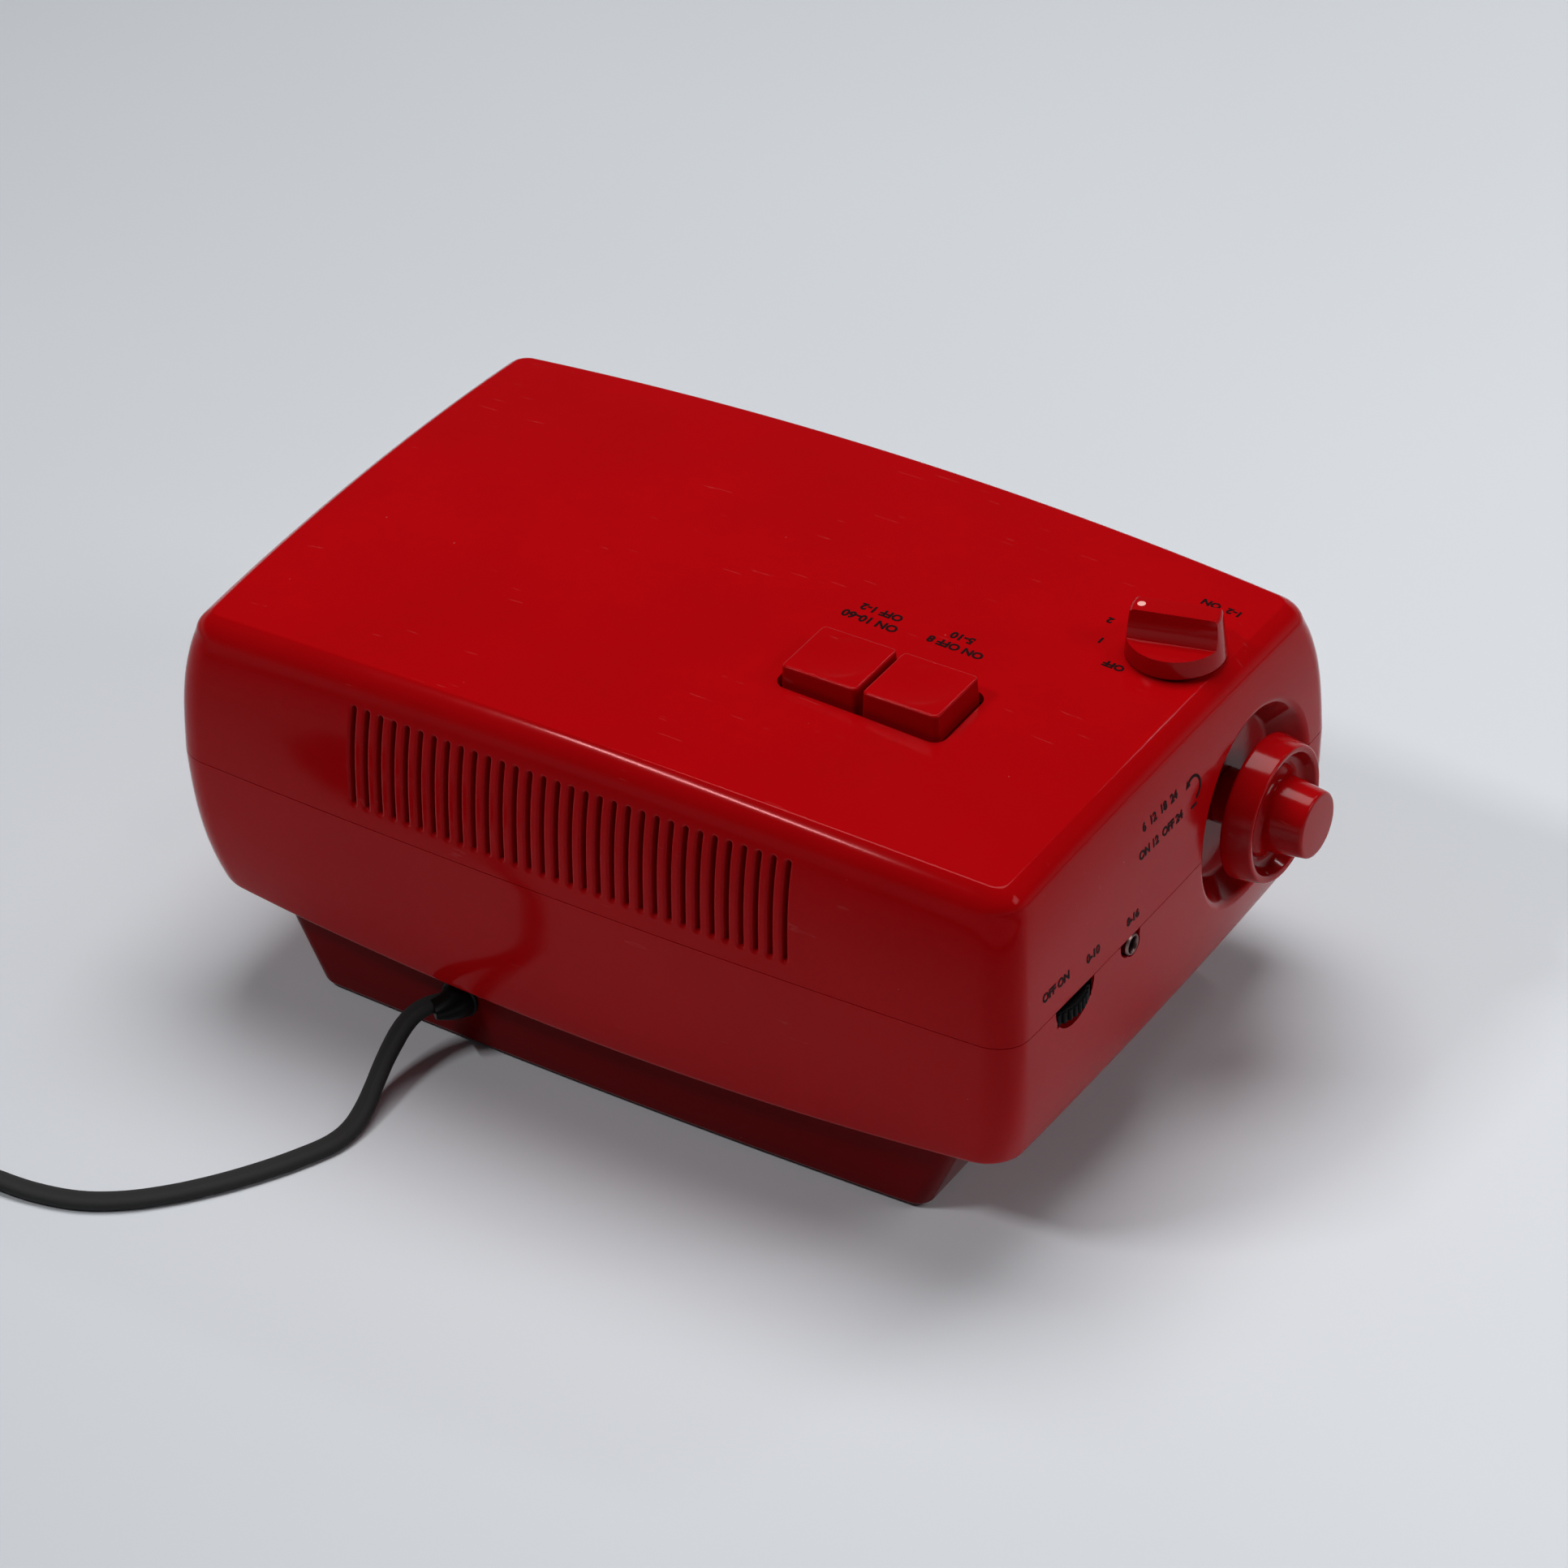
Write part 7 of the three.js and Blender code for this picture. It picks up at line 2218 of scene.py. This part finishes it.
@dataclass(frozen=True)
class Print:
    """The black print on the top and on the volume wheel's end: numbers, ON and OFF, a bent arrow."""

    marks: tuple[Mark, ...] = (
        Mark("ON 10-60", Panel.TOP, -33.8, -2.0, 3.6),
        Mark("OFF 1-2", Panel.TOP, -34.4, -6.4, 3.4),
        Mark("ON OFF 8", Panel.TOP, -56.6, -3.4, 3.4),
        Mark("5-10", Panel.TOP, -56.1, -7.6, 3.4),
        Mark("2", Panel.TOP, -81.3, -33.4, 3.0),
        Mark("1", Panel.TOP, -83.7, -25.0, 3.0),
        Mark("OFF", Panel.TOP, -91.4, -17.6, 3.1),
        Mark("1-2  ON", Panel.TOP, -100.4, -53.6, 3.1),
        Mark("6  12  18  24", Panel.END, -8.3, 92.0, 3.1),
        Mark("ON 12  OFF 24", Panel.END, -8.9, 85.6, 3.1),
        Mark("8-16", Panel.END, -22.9, 71.1, 3.0),
        Mark("0-10", Panel.END, -40.8, 72.3, 3.2),
        Mark("OFF ON", Panel.END, -57.0, 73.5, 3.2),
    )
    arrow: tuple[float, float] = (6.9, 89.1)
    arrow_turn: tuple[float, float] = (125, -75)
    dash: tuple[float, float] = (6.4, 84.6)
    dash_half: tuple[float, float] = (1.3, 0.35)
    arrow_radius: float = 3.1
    stroke: float = 0.75
    lift: float = 0.03
    bold: float = 0.13

    def bent_arrow(self) -> bpy.types.Object:
        """An arc with a head at its upper end, flat on XY."""
        half, turns = self.stroke / 2, np.radians(np.linspace(*self.arrow_turn, 25))
        outer = [(math.cos(a) * (self.arrow_radius + half), math.sin(a) * (self.arrow_radius + half)) for a in turns]
        inner = [(math.cos(a) * (self.arrow_radius - half), math.sin(a) * (self.arrow_radius - half)) for a in turns]
        along = math.radians(self.arrow_turn[0])
        tip = Vector((math.cos(along), math.sin(along))) * self.arrow_radius
        ahead, aside = Vector((-math.sin(along), math.cos(along))), Vector((math.cos(along), math.sin(along)))
        head = [tip + aside * 1.1, tip + ahead * 1.9, tip - aside * 1.1]
        arc = drawn("arc", [*outer, *inner[::-1]], Axis.Z, -0.05, 0.05)
        point = drawn("head", [tuple(p) for p in head], Axis.Z, -0.05, 0.05)
        return joined("bent_arrow", arc, point)

    def build(self, casing: Casing) -> None:
        """Makes the print and lays it on the case.

        Args:
            casing: The case's form, which the print follows.
        """
        form = casing.solid("form")
        top, end = face_of(form, Axis.Z, 1), face_of(form, Axis.X, -1)

        def laid(obj: bpy.types.Object, panel: Panel, right: float, up: float) -> bpy.types.Object:
            """Lays a flat form on a panel, with its middle at a place."""

            def place(u: float, v: float, w: float) -> Point:
                """Where a point of the flat form comes to lie on the case."""
                if panel is Panel.TOP:
                    return (right + u, up + v, top(right + u, up + v) + w + self.lift)
                return (-end(-right - u, up + v) - w - self.lift, -right - u, up + v)

            return shaped(obj, place)

        pieces = [laid(lettered(m.text, m.size, bold=self.bold), m.panel, m.right, m.up) for m in self.marks]
        pieces.append(laid(self.bent_arrow(), Panel.END, *self.arrow))
        long, high = self.dash_half
        pieces.append(laid(block((-long, -high, -0.05), (long, high, 0.05)), Panel.END, *self.dash))
        printed = joined("case_print", *pieces)
        INK.on(printed)
        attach(printed, "case")
        discard(form)
        LOG.info("print: %d faces", len(printed.data.polygons))


# ================================================================ studio
@dataclass(frozen=True)
class Lamp:
    """A soft rectangular lamp aimed at the case."""

    name: str
    azimuth: float
    elevation: float
    distance: float
    width: float
    height: float
    power: float
    colour: tuple[float, float, float] = (255, 255, 255)


@dataclass(frozen=True)
class Studio:
    """The camera, the pale floor and the lamps."""

    azimuth: float = 213.88
    elevation: float = 36.02
    roll: float = -2.35
    distance: float = 1478.2
    lens: float = 138.3
    target: tuple[float, float, float] = (-5.14, -5.29, 50.0)
    lamps: tuple[Lamp, ...] = (
        Lamp("key", 20, 74, 1.6, 1.1, 0.8, 18.9),
        Lamp("side", 285, 34, 1.6, 0.6, 0.4, 4.5),
        Lamp("edge", 143, 50, 1.8, 0.45, 0.04, 8.5),
        Lamp("end", 340, 43, 2.0, 0.35, 0.06, 1.8),
    )
    room: float = 0.05
    backdrop: float = 0.7

    def build_camera(self) -> None:
        """Makes the camera."""
        az, el, roll = (math.radians(a) for a in (self.azimuth, self.elevation, self.roll))
        back = Vector((math.sin(az) * math.cos(el), -math.cos(az) * math.cos(el), math.sin(el)))
        right = (-back).cross(Vector((0, 0, 1))).normalized()
        up = right.cross(-back)
        turned_right = right * math.cos(roll) + up * math.sin(roll)
        turned_up = -right * math.sin(roll) + up * math.cos(roll)
        camera = bpy.data.objects.new("camera", bpy.data.cameras.new("camera"))
        bpy.context.scene.collection.objects.link(camera)
        matrix = Matrix((turned_right, turned_up, back)).transposed().to_4x4()
        matrix.translation = (Vector(self.target) + back * self.distance) * MM
        camera.matrix_world = matrix
        camera.data.lens = self.lens
        camera.data.sensor_width = 36
        camera.data.clip_end = 30
        bpy.context.scene.camera = camera

    def build_floor(self) -> None:
        """Makes the floor: pale, with painted light and shade that make it lighter towards -X and darker towards +X and
        +Y, faintly uneven, and as pale where it runs far from the lamps.
        """
        floor = new_object("floor", [(-6000, -6000, 0), (6000, -6000, 0), (6000, 6000, 0), (-6000, 6000, 0)],
                           [(0, 1, 2, 3)])
        material = bpy.data.materials.new("pale_floor")
        material.use_nodes = True
        tree = Tree(material.node_tree)
        where = tree.node("ShaderNodeTexCoord").outputs["Object"]
        split = tree.node("ShaderNodeSeparateXYZ", None, {0: where})
        # painted light and shade: the floor goes from lighter at -X to darker at +X, with a little noise mixed in
        across = tree.signal(split, 0).between(-0.5, 0.5)
        tone = across * 0.9 + noise(tree, where, 420, 2).between(0.3, 0.7) * 0.1
        colour = blended(tree, tone, shade(236, 240, 245), shade(194, 198, 203))
        # painted shade: the floor is darkened towards +Y
        near = tree.signal(split, 1).between(0.08, 0.7) * 0.65
        colour = blended(tree, near, colour, shade(176, 180, 186))
        reach = tree.node("ShaderNodeVectorMath", {"operation": "LENGTH"}, {0: where})
        seen = tree.signal(tree.node("ShaderNodeLightPath"), "Is Camera Ray")
        far = tree.signal(reach, "Value").between(0.6, 2.3) * seen
        inputs = {"Base Color": colour, "Roughness": 0.7, "Specular IOR Level": 0.15, "Emission Strength": 1.0,
                  "Emission Color": blended(tree, far, shade(0, 0, 0), shade(202, 206, 212))}
        shader = tree.node("ShaderNodeBsdfPrincipled", None, inputs)
        tree.node("ShaderNodeOutputMaterial", None, {"Surface": shader.outputs["BSDF"]})
        floor.data.materials.append(material)

    def build_lamp(self, lamp: Lamp) -> None:
        """Makes one lamp."""
        data = bpy.data.lights.new(lamp.name, "AREA")
        data.shape = "RECTANGLE"
        data.size, data.size_y = lamp.width, lamp.height
        data.energy = lamp.power
        data.color = shade(*lamp.colour)[:3]
        obj = bpy.data.objects.new(lamp.name, data)
        bpy.context.scene.collection.objects.link(obj)
        az, el = math.radians(lamp.azimuth), math.radians(lamp.elevation)
        away = Vector((math.sin(az) * math.cos(el), -math.cos(az) * math.cos(el), math.sin(el)))
        obj.location = Vector((0, 0, 0.06)) + away * lamp.distance
        obj.rotation_euler = away.to_track_quat("Z", "Y").to_euler()

    def build_world(self) -> None:
        """Makes the even surrounding light, which is pale where it is seen, and mirrored above the horizon."""
        world = bpy.data.worlds.new("room")
        world.use_nodes = True
        tree = Tree(world.node_tree)
        path = tree.node("ShaderNodeLightPath")
        rays = [tree.signal(path, f"Is {kind} Ray") for kind in ("Camera", "Glossy", "Transmission")]
        split = tree.node("ShaderNodeSeparateXYZ", None, {0: tree.node("ShaderNodeTexCoord").outputs["Generated"]})
        low = 1 - tree.signal(split, 2).between(0.1, 0.32)
        seen = (rays[0] + (rays[1] + rays[2]) * low).between(0, 1)
        strength = seen * (self.backdrop - self.room) + self.room
        sky = tree.node("ShaderNodeBackground", None, {"Color": shade(244, 246, 250), "Strength": strength})
        tree.node("ShaderNodeOutputWorld", None, {"Surface": sky.outputs[0]})
        bpy.context.scene.world = world

    def build(self) -> None:
        """Makes the floor, the lamps and the surroundings."""
        self.build_floor()
        for lamp in self.lamps:
            self.build_lamp(lamp)
        self.build_world()
        bpy.context.scene.view_settings.view_transform = "Standard"


def main() -> None:
    """Builds the radio and its studio in order."""
    logging.basicConfig(level=logging.INFO, format="%(message)s")
    studio = Studio()
    studio.build_camera()
    MainsCord().build()
    shells = Shells()
    shells.build()
    Pedestal().build(shells.casing)
    EndKnobs().build()
    ModeKnob().build()
    PushKeys().build()
    VolumeWheel().build()
    EarphoneJack().build()
    Front().build()
    build_works()
    Print().build(shells.casing)
    studio.build()


if __name__ == "__main__":
    main()
